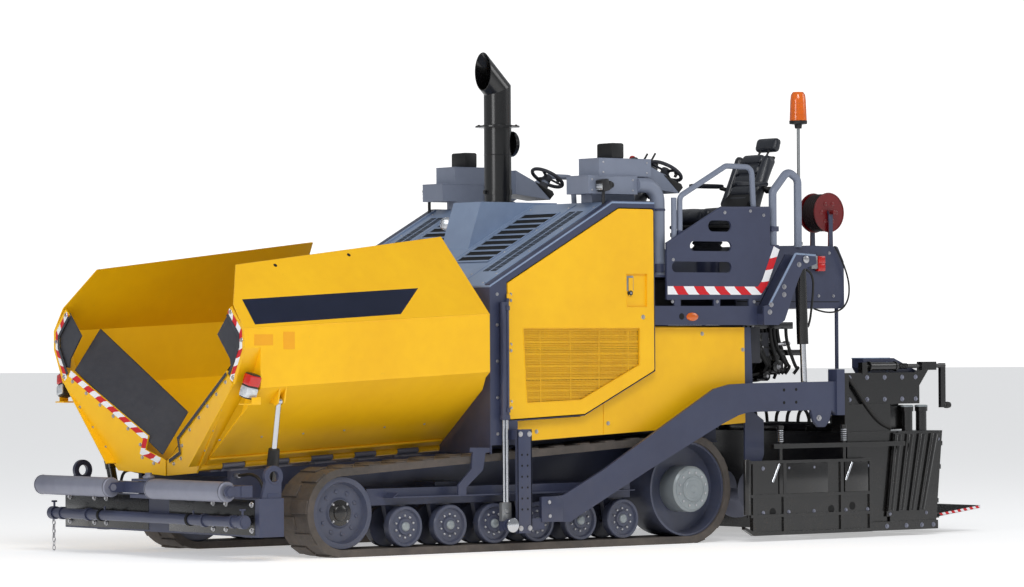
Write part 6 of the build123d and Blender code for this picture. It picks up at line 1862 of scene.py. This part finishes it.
@dataclass
class Rear:
    """Bracket bolts, tail lamps, reel frame, cabinet seams, hoses and blocks behind the station."""

    bracket_y: float = 1.206
    wall_x: float = -1.214
    cabinet_y: float = 0.846
    bracket_bolts: tuple[Flat, ...] = (
        (-1.491, 1.902), (-1.490, 1.843), (-1.363, 1.767), (-1.348, 1.712), (-1.640, 2.070),
    )
    bracket_top: tuple[Flat, ...] = ((-1.347, 1.764), (-1.610, 2.151), (-1.807, 2.140))
    cabinet_bolts: tuple[Flat, ...] = (
        (-1.40, 1.85), (-1.40, 2.08), (-2.26, 2.17), (-2.30, 1.84), (-2.15, 1.84), (-1.80, 1.84),
    )
    reel_place: Flat = (-2.310, 2.484)
    valve_zs: tuple[float, ...] = (1.36, 1.44, 1.52)
    valve_ys: tuple[float, ...] = (0.800, 0.850, 0.900, 0.950)
    loop_count: int = 7
    cabinet_route: tuple[Point, ...] = (
        (-2.293, 0.872, 2.222), (-2.340, 0.876, 2.160), (-2.425, 0.878, 1.985), (-2.440, 0.876, 1.850),
        (-2.395, 0.868, 1.752), (-2.300, 0.860, 1.712), (-2.180, 0.850, 1.716), (-2.105, 0.840, 1.742),
    )
    lift_route: tuple[Point, ...] = (
        (-1.770, 1.140, 2.030), (-1.810, 1.142, 2.020), (-1.838, 1.142, 1.950), (-1.834, 1.140, 1.850),
        (-1.822, 1.136, 1.740), (-1.810, 1.130, 1.640), (-1.792, 1.128, 1.600),
    )

    def build(self) -> None:
        """Make every piece of the rear."""
        self.brackets()
        self.cabinet()
        self.reel()
        self.cluster()
        self.lamps()

    def brackets(self) -> None:
        """The bolts, pin caps and lighter upper edges of the lift brackets; the edges' lighter grey is a
        painted highlight.
        """
        bolts = Shape()
        bolts.dome((-1.706, self.bracket_y + 0.004, 2.110), OUTWARD, 0.030, 0.012)
        bolts.side_bolts(self.bracket_bolts, self.bracket_y, 0.014)
        bolts.both_sides().build("bracket_bolts", ZINC)
        # A lighter blue-grey rod over the slate bracket's top edge: painted highlight where the light falls.
        edge = Shape()
        edge.rail(at_y(self.bracket_top, self.bracket_y - 0.006), 0.009, 12)
        edge.both_sides().build("bracket_edge_highlights", HOOD, slot="slate_paint")

    def cabinet(self) -> None:
        """Door seams and bolts of the rear cabinet."""
        low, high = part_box("rear_cabinet")
        seams = Shape()
        for x in (-1.62, -2.00):
            seams.box((x - 0.003, x + 0.003), (self.cabinet_y - 0.001, self.cabinet_y + 0.0012),
                      (1.80, 2.16), 0.0)
        seams.box((-2.36, -1.33), (self.cabinet_y - 0.001, self.cabinet_y + 0.0012), (1.792, 1.798), 0.0)
        seams.both_sides().build("cabinet_seams", DARK, slot="slate_paint")
        bolts = Shape()
        bolts.side_bolts(self.cabinet_bolts, self.cabinet_y, 0.009)
        bolts.both_sides().build("cabinet_bolts", ZINC)
        log.info("cabinet spans %.3f to %.3f along x", low[0], high[0])

    def reel(self) -> None:
        """Wound hose, rims and hub bolts of the hose reel, and its frame's arms."""
        x, z = self.reel_place
        coil = Shape()
        for index in range(6):
            coil.loop((x, 0.634 + index * 0.026, z), OUTWARD, 0.112, 0.013, 32, 8)
        for index in range(5):
            coil.loop((x, 0.647 + index * 0.026, z), OUTWARD, 0.132, 0.013, 32, 8)
        coil.build("reel_hose", RED_HOSE, "hose_reel")
        spokes = Shape()
        for y in (0.612, 0.788):
            spokes.loop((x, y, z), OUTWARD, 0.149, 0.005, 40, 8)
            for place in circle_of((x, y, z), Axis.Y, 0.075, 6, 0.0):
                spokes.dome(place, (0, 1 if y > 0.7 else -1, 0), 0.018, 0.006, 14)
        spokes.build("reel_spokes", RED, "hose_reel")
        arms = Shape()
        for y in (0.596, 0.804):
            arms.prism([(-2.335, 2.226), (-2.285, 2.226), (-2.292, 2.500), (-2.328, 2.500)], Axis.Y,
                       (y - 0.004, y + 0.004), 0.001)
            arms.bolt((x, y + (0.006 if y > 0.7 else -0.006), z), (0, 1 if y > 0.7 else -1, 0), 0.014)
        arms.rod((x, 0.810, z), (x, 0.852, z), 0.016, bevel=0.003)
        arms.build("reel_arms", RED)

    def cluster(self) -> None:
        """Valve blocks, pipes and fittings between the rear wall and the screed."""
        blocks = Shape()
        for z in self.valve_zs:
            blocks.box((self.wall_x - 0.250, self.wall_x - 0.204), (0.792, 0.980), (z - 0.028, z + 0.028),
                       0.005)
        blocks.box((self.wall_x - 0.120, self.wall_x - 0.004), (0.860, 1.040), (1.610, 1.700), 0.006)
        blocks.both_sides().build("valve_blocks", BLACK)
        fittings = Shape()
        back = self.wall_x - 0.276
        top = self.wall_x - 0.180
        for index, y in enumerate(self.valve_ys):
            z = 1.40 + 0.05 * (index % 2)
            fittings.rod((self.wall_x - 0.250, y, z), (back, y, z), 0.015, segments=6)
            fittings.rod((top, y, 1.600), (top, y, 1.626), 0.013, segments=6)
        fittings.both_sides().build("valve_fittings", ZINC)
        hoses = Shape()
        for index, y in enumerate(self.valve_ys):
            z = 1.40 + 0.05 * (index % 2)
            hoses.tube([(back, y, z), (back - 0.060, y, z), (back - 0.115, y, z - 0.03),
                        (back - 0.120, y, z - 0.14),
                        (back - 0.060, y - 0.02, z - 0.20), (back + 0.100, y - 0.03, z - 0.205),
                        (self.wall_x - 0.10, y - 0.03, 1.190)], 0.012)
            hoses.tube([(top, y, 1.626), (top, y, 1.665), (top - 0.02, y, 1.700), (top - 0.075, y, 1.712),
                        (top - 0.10, y, 1.7435)], 0.011)
        hoses.both_sides().build("valve_hoses", HOSE)
        self.machinery()
        self.cables()

    def machinery(self) -> None:
        """The dense black valves, bars and looped hoses under the cabinet."""
        solid = Shape()
        solid.box((-1.930, -1.430), (0.900, 0.950), (1.385, 1.430), 0.004)
        solid.box((-1.700, -1.560), (0.560, 0.900), (1.240, 1.520), 0.012)
        solid.box((-1.780, -1.700), (0.640, 0.860), (1.300, 1.450), 0.010)
        solid.rod((-1.620, 0.900, 1.300), (-1.620, 0.985, 1.300), 0.052, bevel=0.006)
        solid.rod((-1.500, 0.820, 1.230), (-1.500, 0.990, 1.230), 0.036, bevel=0.004)
        for x in (-1.590, -1.650, -1.740):
            solid.rod((x, 0.800, 1.430), (x, 0.800, 1.600), 0.020, bevel=0.003)
        solid.both_sides().build("rear_valves", BLACK)
        metal = Shape()
        metal.rod((-1.640, 0.950, 1.470), (-1.760, 0.950, 1.478), 0.013, segments=12)
        metal.rod((-1.700, 0.950, 1.474), (-1.722, 0.950, 1.476), 0.020, segments=6)
        for x, z in ((-1.560, 1.360), (-1.620, 1.300), (-1.500, 1.230), (-1.590, 1.500)):
            metal.bolt((x, 0.985 if z < 1.36 else 0.902, z), OUTWARD, 0.014)
        metal.both_sides().build("rear_fittings", ZINC)
        header = Shape()
        header.box((-1.800, -1.400), (0.550, 0.950), (1.586, 1.640), 0.006)
        header.box((-1.740, -1.430), (0.480, 0.720), (1.200, 1.590), 0.010)
        header.both_sides().build("rear_header", BLACK)
        loops = Shape()
        for index in range(self.loop_count):
            x = -1.400 - index * 0.052
            y = 0.965 - 0.020 * (index % 3)
            drop = 0.100 + 0.030 * (index % 4)
            loops.tube([(x, y, 1.590), (x, y, 1.520), (x - 0.030, y + 0.010, 1.480 - drop * 0.4),
                        (x - 0.090, y + 0.015, 1.440 - drop),
                        (x - 0.130, y, 1.300), (x - 0.100, y - 0.030, 1.245)], 0.013)
            loops.tube([(x, y - 0.10, 1.600), (x - 0.010, y - 0.10, 1.500), (x - 0.060, y - 0.10, 1.420),
                        (x - 0.020, y - 0.11, 1.300),
                        (x + 0.020, y - 0.12, 1.210)], 0.012)
        loops.both_sides().build("rear_hoses", HOSE)

    def cables(self) -> None:
        """Free cables of the cabinet and the lift cylinders."""
        for name, side in SIDES:
            free_hose(f"cabinet_cable_{name}", on_side(side, self.cabinet_route), 0.014)
            free_hose(f"lift_hose_{name}", on_side(side, self.lift_route), 0.018)

    def lamps(self) -> None:
        """Lenses of the work lamps, the round lamp and the tail lamps."""
        red = Shape()
        red.box((-2.184, -2.118), (0.8835, 0.8875), (2.090, 2.142), 0.002)
        red.box((-2.184, -2.118), (0.8835, 0.8875), (2.032, 2.084), 0.002)
        red.both_sides().build("tail_lenses", RED_LENS)
        clear = Shape()
        clear.box((0.1700, 0.1745), (1.046, 1.114), (2.606, 2.672), 0.002)
        clear.both_sides().build("work_lenses", CLEAR_LENS)
        facing = Vector((0.80, 0.60, 0.0)).normalized()
        middle = Vector((0.612, -0.205, 2.384))
        chrome = Shape()
        chrome.lathe(tuple(middle), tuple(facing),
                     [(-0.030, 0.030), (-0.018, 0.046), (0.0, 0.052), (0.010, 0.053), (0.014, 0.047),
                      (0.010, 0.043)])
        chrome.build("round_rim", CHROME)
        lens = Shape()
        lens.dome(tuple(middle + facing * 0.004), tuple(facing), 0.045, 0.010)
        lens.build("round_lens", CLEAR_LENS)
        stand = Shape()
        stand.rod(tuple(middle - facing * 0.030), (0.612, -0.225, 2.245), 0.010, bevel=0.002)
        stand.rod(tuple(middle - facing * 0.012), tuple(middle - facing * 0.050), 0.040, 0.022,
                  bevel=0.004)
        for side in (1, -1):
            stand.rod((0.137, side * 1.080, 2.505), (0.137, side * 1.080, 2.600), 0.012)
            stand.box((0.105, 0.172), (side * 1.080 - 0.042, side * 1.080 + 0.042), (2.596, 2.684), 0.010,
                      Matrix.Rotation(math.radians(12.0), 4, "Y"))
            stand.box((0.085, 0.105), (side * 1.080 - 0.036, side * 1.080 + 0.036), (2.612, 2.672), 0.004)
        piece = stand.build("lamp_bodies", LAMP)
        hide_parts("lamps")
        grille = Shape()
        for row in range(3):
            z = 2.615 + row * 0.026
            grille.box((0.1755, 0.1790), (1.044, 1.116), (z - 0.0015, z + 0.0015), 0.0)
        grille.both_sides().build("lamp_grilles", DARK)
        tail = Shape()
        tail.box((-2.186, -2.114), (0.8463, 0.8830), (2.028, 2.145), 0.004)
        tail.both_sides().build("tail_cases", RED_LENS)
        holder = Shape()
        holder.box((-2.115, -2.050), (0.8463, 0.8800), (2.046, 2.147), 0.004)
        holder.both_sides().build("tail_holders", POLE, slot="lamp_plastic")


@dataclass
class TowPoints:
    """Chromed rods, clevises, pin caps and bolts of the tow points."""

    rod_xs: Flat = (1.100, 1.128)
    rod_y: float = 1.166
    column_y: float = 1.246
    hole_count: int = 6
    hole_pitch: float = 0.078
    arm_bolts: tuple[Flat, ...] = ((0.765, 0.345), (0.760, 0.245), (-1.820, 0.912))
    arm_hole_shades: tuple[Flat, ...] = ((-1.474, 1.127), (-1.594, 1.130), (-1.474, 1.032), (-1.594, 1.034))
    arm_plate: tuple[Flat, ...] = ((0.832, 0.202), (0.832, 0.386), (0.700, 0.386), (0.640, 0.350),
                                   (0.640, 0.202))

    def build(self) -> None:
        """Make every piece of the tow points."""
        chrome = Shape()
        for x, radius in zip(self.rod_xs, (0.0135, 0.0105)):
            chrome.rod((x, self.rod_y, 0.352), (x, self.rod_y, 0.940), radius)
        chrome.rod((1.117, 1.251, 0.190), (1.117, 1.262, 0.190), 0.052, bevel=0.004)
        chrome.both_sides().build("tow_rods", CHROME)
        clevis = Shape()
        clevis.box((1.074, 1.160), (1.144, 1.188), (0.215, 0.352), 0.010)
        clevis.rod((1.117, 1.140, 0.290), (1.117, 1.194, 0.290), 0.018, bevel=0.003)
        clevis.both_sides().build("tow_clevises", POLE)
        bolts = Shape()
        for z in (0.165, 0.838):
            for x in (0.958, 1.038):
                bolts.lathe((x, self.column_y, z), OUTWARD,
                            [(0.0, 0.020), (0.005, 0.019), (0.005, 0.012), (0.009, 0.010), (0.009, 0.0)],
                            20)
        bolts.both_sides().build("column_bolts", ZINC)
        face = Shape()
        face.box((0.9350, 1.0670), (self.column_y - 0.006, self.column_y), (0.130, 0.872), 0.002)
        face.both_sides().build("column_face", SLATE)
        # Adjustment holes in the column face, drawn as dark discs of painted shade.
        holes = Shape()
        for index in range(self.hole_count):
            z = 0.30 + index * self.hole_pitch
            for x in (0.975, 1.025):
                holes.rod((x, self.column_y - 0.001, z), (x, self.column_y + 0.0006, z), 0.008,
                          segments=14)
        holes.both_sides().build("column_hole_shades", DARK)
        ports = Shape()
        for z in (1.010, 1.740):
            ports.box((1.100, 1.128), (1.196, 1.214), (z - 0.016, z + 0.016), 0.003)
        ports.rod((1.114, 1.206, 1.030), (1.114, 1.206, 1.722), 0.007)
        ports.both_sides().build("tow_ports", SLATE)
        arm_bolts = Shape()
        arm_bolts.side_bolts(self.arm_bolts, 1.2150, 0.016)
        arm_bolts.both_sides().build("arm_bolts", ZINC, "screed")
        # Holes in the screed arms, drawn as dark discs of painted shade.
        arm_hole_shades = Shape()
        for x, z in self.arm_hole_shades:
            arm_hole_shades.rod((x, 1.2145, z), (x, 1.2158, z), 0.012, segments=16)
        arm_hole_shades.both_sides().build("arm_hole_shades", DARK, "screed")
        plates = Shape()
        plates.prism(self.arm_plate, Axis.Y, (1.2148, 1.2230), 0.004)
        plates.both_sides().build("arm_plates", SLATE, "screed")


@dataclass
class Screed:
    """Bolts, caps, grips, hoses, tape and stiffeners of the screed and its extensions."""

    end_y: float = 1.262
    rear_x: float = -3.060
    mid_x: float = -2.590
    screw: Flat = (1.160, 1.298)
    beam_bolt_xs: tuple[float, ...] = (-2.16, -2.34, -2.52, -2.70, -2.84)
    foot_bolt_xs: tuple[float, ...] = (-2.46, -2.66, -2.82, -2.94)
    flute_bolts: tuple[Flat, ...] = ((-2.575, 0.735), (-3.010, 0.735), (-2.505, 0.170), (-2.880, 0.170))
    gate_bolt_xs: tuple[float, ...] = (-2.24, -2.02, -1.70, -1.45, -1.20)
    gate_bolt_zs: Flat = (0.215, 0.545)
    gate_hole_shades: tuple[Flat, ...] = ((-1.874, 0.226), (-2.087, 0.244), (-1.293, 0.218))
    rear_stiffener: tuple[Flat, ...] = ((-2.988, 0.080), (-3.000, 0.080), (-3.078, 0.780),
                                        (-3.060, 0.780))
    hose_route: tuple[Point, ...] = (
        (-2.115, 1.198, 1.225), (-2.150, 1.204, 1.190), (-2.213, 1.206, 1.120), (-2.300, 1.206, 1.010),
        (-2.400, 1.206, 0.905), (-2.480, 1.204, 0.850), (-2.560, 1.196, 0.822),
    )

    def build(self) -> None:
        """Make every piece of the screed."""
        self.main()
        self.screws()
        for name, side in SIDES:
            self.extension(name, side)
            self.gate(name, side)
            self.walkway(name, side)

    def main(self) -> None:
        """Bolts and ribs on the main screed and its side beams."""
        bolts = Shape()
        for x in self.beam_bolt_xs:
            bolts.side_bolts(((x, 1.045), (x, 1.213)), 1.180, 0.013)
        bolts.both_sides().build("beam_bolts", STEEL, "screed")
        ribs = Shape()
        for x in (-2.20, -2.42):
            ribs.box((x - 0.006, x + 0.006), (-1.10, 1.10), (0.800, 0.860), 0.002)
        for index in range(7):
            y = -1.05 + index * 0.35
            ribs.box((-2.50, -2.14), (y - 0.006, y + 0.006), (0.7995, 0.845), 0.002)
        ribs.build("deck_stiffeners", BLACK, "screed")
        hoses = Shape()
        for index in range(4):
            y = 0.16 + index * 0.13
            hoses.tube([(-2.30, y, 0.862), (-2.30, y, 0.940), (-2.36, y + 0.02, 0.985),
                        (-2.47, y + 0.05, 0.990), (-2.56, y + 0.09, 0.950),
                        (-2.57, y + 0.10, 0.8005)], 0.013)
        hoses.both_sides().build("screed_hoses", HOSE, "screed")
        blocks = Shape()
        blocks.box((-2.335, -2.262), (0.10, 0.62), (0.7995, 0.870), 0.005)
        blocks.both_sides().build("screed_valves", BLACK, "screed")
        behind = Shape()
        behind.box((-2.760, -2.600), (0.960, 1.140), (0.812, 1.000), 0.010)
        behind.rod((-2.680, 1.000, 1.010), (-2.680, 1.120, 1.010), 0.040, bevel=0.005)
        behind.both_sides().build("slide_blocks", BLACK, "screed")
        for name, side in SIDES:
            free_hose(f"screed_hose_{name}", on_side(side, self.hose_route), 0.030, "screed")

    def screws(self) -> None:
        """Threaded sleeves, scales and grips of the depth screws."""
        y, z = self.screw
        sleeves = Shape()
        for index in range(7):
            x = -2.665 - index * 0.016
            sleeves.loop((x, y, z), FORWARD, 0.0185, 0.004, 20, 6)
        for x0, x1 in ((-2.370, -2.384), (-2.636, -2.652)):
            sleeves.rod((x0, y, z), (x1, y, z), 0.039, bevel=0.003)
        sleeves.both_sides().build("screw_sleeves", BLACK, "screed")
        grips = Shape()
        grips.lathe((-3.160, y, 0.993), (-1, 0, 0),
                    [(0.0, 0.0185), (0.004, 0.024), (0.030, 0.026), (0.052, 0.022), (0.056, 0.0)], 24)
        grips.both_sides().build("crank_grips", PLASTIC, "screed")
        # Lids on the screed boxes in the lighter hood finish over a slate slot: painted highlight on the box
        # tops, where light falls.
        covers = Shape()
        low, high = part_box("screed_boxes")
        covers.box((low[0] + 0.30, high[0] + 0.004), (0.986, 1.124), (1.3565, 1.3640), 0.002)
        for x in (-2.42, -2.60):
            covers.side_bolts(((x, 1.320), (x, 1.250)), 1.120, 0.009)
        covers.both_sides().build("lit_cover_lids", HOOD, "screed", slot="slate_paint")

    def extension(self, name: str, side: int) -> None:
        """Rounded flutes, caps, foot bolts and rear rails of an extension."""
        body = f"extension_{name}"
        flutes = Shape()
        front_x = self.mid_x - 0.015
        for index in range(4):
            low_x = front_x + 0.130 - index * 0.106 - 0.036
            top_x = front_x + 0.053 - index * 0.123 - 0.045
            flutes.rod((low_x, 1.254, 0.196), (top_x, 1.254, 0.774), 0.020, 0.026, segments=20)
        flutes.for_side(side).build(f"end_flutes_{name}", BLACK, body)
        caps = Shape()
        for x in (-2.748, -2.895):
            caps.lathe((x, 1.180, 0.9845), UPWARD,
                       [(0.0, 0.051), (0.010, 0.050), (0.014, 0.040), (0.014, 0.0)], 28)
        caps.for_side(side).build(f"post_caps_{name}", HUB, body)
        bolts = Shape()
        bolts.side_bolts([(x, 0.078) for x in self.foot_bolt_xs], self.end_y, 0.013)
        bolts.side_bolts(self.flute_bolts, 1.248, 0.010)
        for index in range(8):
            y = 0.10 + index * 0.155
            bolts.bolt((self.rear_x - 0.0005, y, 0.765), (-1, 0, 0.1), 0.009)
        bolts.for_side(side).build(f"extension_bolts_{name}", STEEL, body)
        rails = Shape()
        for z in (0.26, 0.52, 0.70):
            rear = self.rear_x + 0.075 * (0.800 - z) / 0.755
            rails.box((rear - 0.022, rear + 0.004), (0.03, 1.23), (z - 0.018, z + 0.018), 0.003)
        for index in range(6):
            y = 0.12 + index * 0.21
            rails.prism(self.rear_stiffener, Axis.Y, (y - 0.008, y + 0.008), 0.001)
        rails.for_side(side).build(f"rear_rails_{name}", BLACK, body)

    def gate(self, name: str, side: int) -> None:
        """Springs, bolts, hole plates and chromed links of an end gate."""
        body = f"end_gate_{name}"
        low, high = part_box(f"end_gate_{name}")
        bolts = Shape()
        for x in self.gate_bolt_xs:
            bolts.side_bolts([(x, z) for z in self.gate_bolt_zs], 1.2875, 0.011)
        bolts.for_side(side).build(f"gate_bolts_{name}", STEEL, body)
        plate = Shape()
        plate.box((-1.836, -1.354), (1.2860, 1.2960), (0.334, 0.578), 0.003)
        plate.box((-2.240, -2.005), (1.2860, 1.2990), (0.352, 0.578), 0.003)
        plate.rod((-1.045, 1.281, 0.200), (-1.045, 1.281, 0.615), 0.024, bevel=0.004)
        plate.for_side(side).build(f"gate_plates_{name}", BLACK, body)
        # Holes in the end gate, drawn as dark discs of painted shade.
        holes = Shape()
        for x, z in self.gate_hole_shades:
            holes.rod((x, 1.2865, z), (x, 1.2882, z), 0.030, segments=20)
        holes.for_side(side).build(f"gate_hole_shades_{name}", DARK, body)
        links = Shape()
        for x0, x1 in ((-1.355, -1.287), (-2.080, -2.014)):
            links.rod((x0, 1.292, 0.575), (x1, 1.292, 0.440), 0.011)
        for x in (-1.379, -2.010):
            for index in range(6):
                links.loop((x, 1.281, 0.745 + index * 0.016), UPWARD, 0.020, 0.0045, 20, 6)
        links.for_side(side).build(f"gate_links_{name}", CHROME, body)
        log.info("end gate %s is %.2f m long", name, high[0] - low[0])

    def walkway(self, name: str, side: int) -> None:
        """Tape on the walkway's edge and grip ribs."""
        body = f"walkway_{name}"
        tape = Shape()
        tape.ribbon([(-3.140, 1.0902, 0.140), (-3.592, 1.0902, 0.193)], OUTWARD, 0.020, 0.0004)
        tape.for_side(side).build(f"walkway_tape_{name}", TAPE, body, slot="black_paint", smooth=False,
                                  flat_tape=True)
        ribs = Shape()
        for index in range(14):
            share = 0.06 + index * 0.066
            x = -3.136 - 0.459 * share
            z = 0.1500 + 0.054 * share
            ribs.box((x - 0.008, x + 0.008), (0.150, 1.080), (z - 0.001, z + 0.004), 0.001)
        ribs.for_side(side).build(f"walkway_ribs_{name}", BLACK, body)


@dataclass
class Camera:
    """The photograph's viewpoint."""

    place: Point = (19.662, 25.724, 1.446)
    yaw: float = 232.835
    pitch: float = 0.741
    roll: float = -0.348
    lens: float = 151.26
    sensor: float = 36.0

    def build(self) -> bpy.types.Object:
        """Make the scene's camera at the photograph's angle."""
        yaw, pitch, roll = (math.radians(v) for v in (self.yaw, self.pitch, self.roll))
        ahead = Vector((math.cos(yaw) * math.cos(pitch), math.sin(yaw) * math.cos(pitch),
                        math.sin(pitch)))
        right = Vector((math.sin(yaw), -math.cos(yaw), 0.0))
        above = right.cross(ahead)
        across = right * math.cos(roll) + above * math.sin(roll)
        upward = above * math.cos(roll) - right * math.sin(roll)
        data = bpy.data.cameras.new("photo_camera")
        data.lens = self.lens
        data.sensor_width = self.sensor
        data.clip_start = 0.5
        data.clip_end = 300.0
        camera = bpy.data.objects.new("photo_camera", data)
        turn = Matrix((across, upward, -ahead)).transposed()
        camera.matrix_world = Matrix.Translation(self.place) @ turn.to_4x4()
        bpy.context.scene.collection.objects.link(camera)
        bpy.context.scene.camera = camera
        return camera


@dataclass
class Studio:
    """A pale floor, a soft sky and large soft lights."""

    floor_half: float = 400.0
    floor_grey: float = 0.92
    floor_glow: float = 0.42
    sky: float = 0.36
    backdrop: float = 1.15

    def build(self) -> None:
        """Make the floor, the sky and the lights."""
        self.floor()
        self.light_sky()
        self.lamp("key", (8.0, 13.0, 14.0), 7.0, 1350.0)
        self.lamp("front", (16.0, 5.0, 6.0), 6.0, 420.0)
        self.lamp("rear", (-12.0, 8.0, 8.0), 6.0, 260.0)

    def floor(self) -> None:
        """Make the pale floor."""
        mesh = bpy.data.meshes.new("floor")
        bm = bmesh.new()
        bmesh.ops.create_grid(bm, x_segments=1, y_segments=1, size=self.floor_half)
        bm.to_mesh(mesh)
        bm.free()
        floor = bpy.data.objects.new("floor", mesh)
        bpy.context.scene.collection.objects.link(floor)
        material = bpy.data.materials.new("pale_floor")
        material.use_nodes = True
        surface = material.node_tree.nodes["Principled BSDF"]
        surface.inputs["Base Color"].default_value = (self.floor_grey, self.floor_grey, self.floor_grey,
                                                      1.0)
        surface.inputs["Roughness"].default_value = 0.9
        surface.inputs["Specular IOR Level"].default_value = 0.1
        surface.inputs["Emission Color"].default_value = (1.0, 1.0, 1.0, 1.0)
        surface.inputs["Emission Strength"].default_value = self.floor_glow
        mesh.materials.append(material)

    def light_sky(self) -> None:
        """Make a soft sky that lights the machine and looks white behind it."""
        world = bpy.data.worlds.new("soft_sky")
        world.use_nodes = True
        hand = Tree(world.node_tree)
        glow = world.node_tree.nodes["Background"]
        glow.inputs[0].default_value = (0.93, 0.96, 1.0, 1.0)
        glow.inputs[1].default_value = self.sky
        seen = hand.add("ShaderNodeBackground")
        seen.inputs[0].default_value = (1.0, 1.0, 1.0, 1.0)
        seen.inputs[1].default_value = self.backdrop
        path = hand.add("ShaderNodeLightPath")
        join = hand.add("ShaderNodeMixShader")
        hand.link(path.outputs["Is Camera Ray"], join.inputs[0])
        hand.link(glow.outputs[0], join.inputs[1])
        hand.link(seen.outputs[0], join.inputs[2])
        hand.link(join.outputs[0], world.node_tree.nodes["World Output"].inputs[0])
        bpy.context.scene.world = world

    def lamp(self, name: str, place: Point, size: float, watts: float) -> None:
        """Add one square soft light that looks at the machine.

        Args:
            name: The light's name.
            place: Where it hangs.
            size: Its side.
            watts: Its power.
        """
        data = bpy.data.lights.new(name, "AREA")
        data.size = size
        data.energy = watts
        light = bpy.data.objects.new(name, data)
        light.location = place
        aim = Vector((0.0, 0.0, 1.2)) - Vector(place)
        light.rotation_euler = aim.to_track_quat("-Z", "Y").to_euler()
        bpy.context.scene.collection.objects.link(light)


def dress_frame() -> None:
    """Give every CAD node the finish of its record slot."""
    slots = {part["node"]: part["material_slot"] for part in frame["record"]["subparts"]}
    for name, node in frame["nodes"].items():
        material = FINISHES[slots[name]].material()
        node.data.materials.clear()
        node.data.materials.append(material)
    log.info("dressed %d CAD nodes", len(frame["nodes"]))


def main() -> None:
    """Build the camera, the studio and every sub-assembly."""
    logging.basicConfig(level=logging.INFO)
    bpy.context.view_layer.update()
    Camera().build()
    Studio().build()
    dress_frame()
    seats = (Seat("left", 1), Seat("right", -1, headrest=False))
    front = (Undercarriage(), Bumper(), Wings(), WingCylinders(), EngineBay(), Station())
    for assembly in (*front, *seats, Beacon(), Rear(), TowPoints(), Screed()):
        assembly.build()
    bpy.context.scene.view_settings.view_transform = "Standard"


if __name__ == "__main__":
    main()
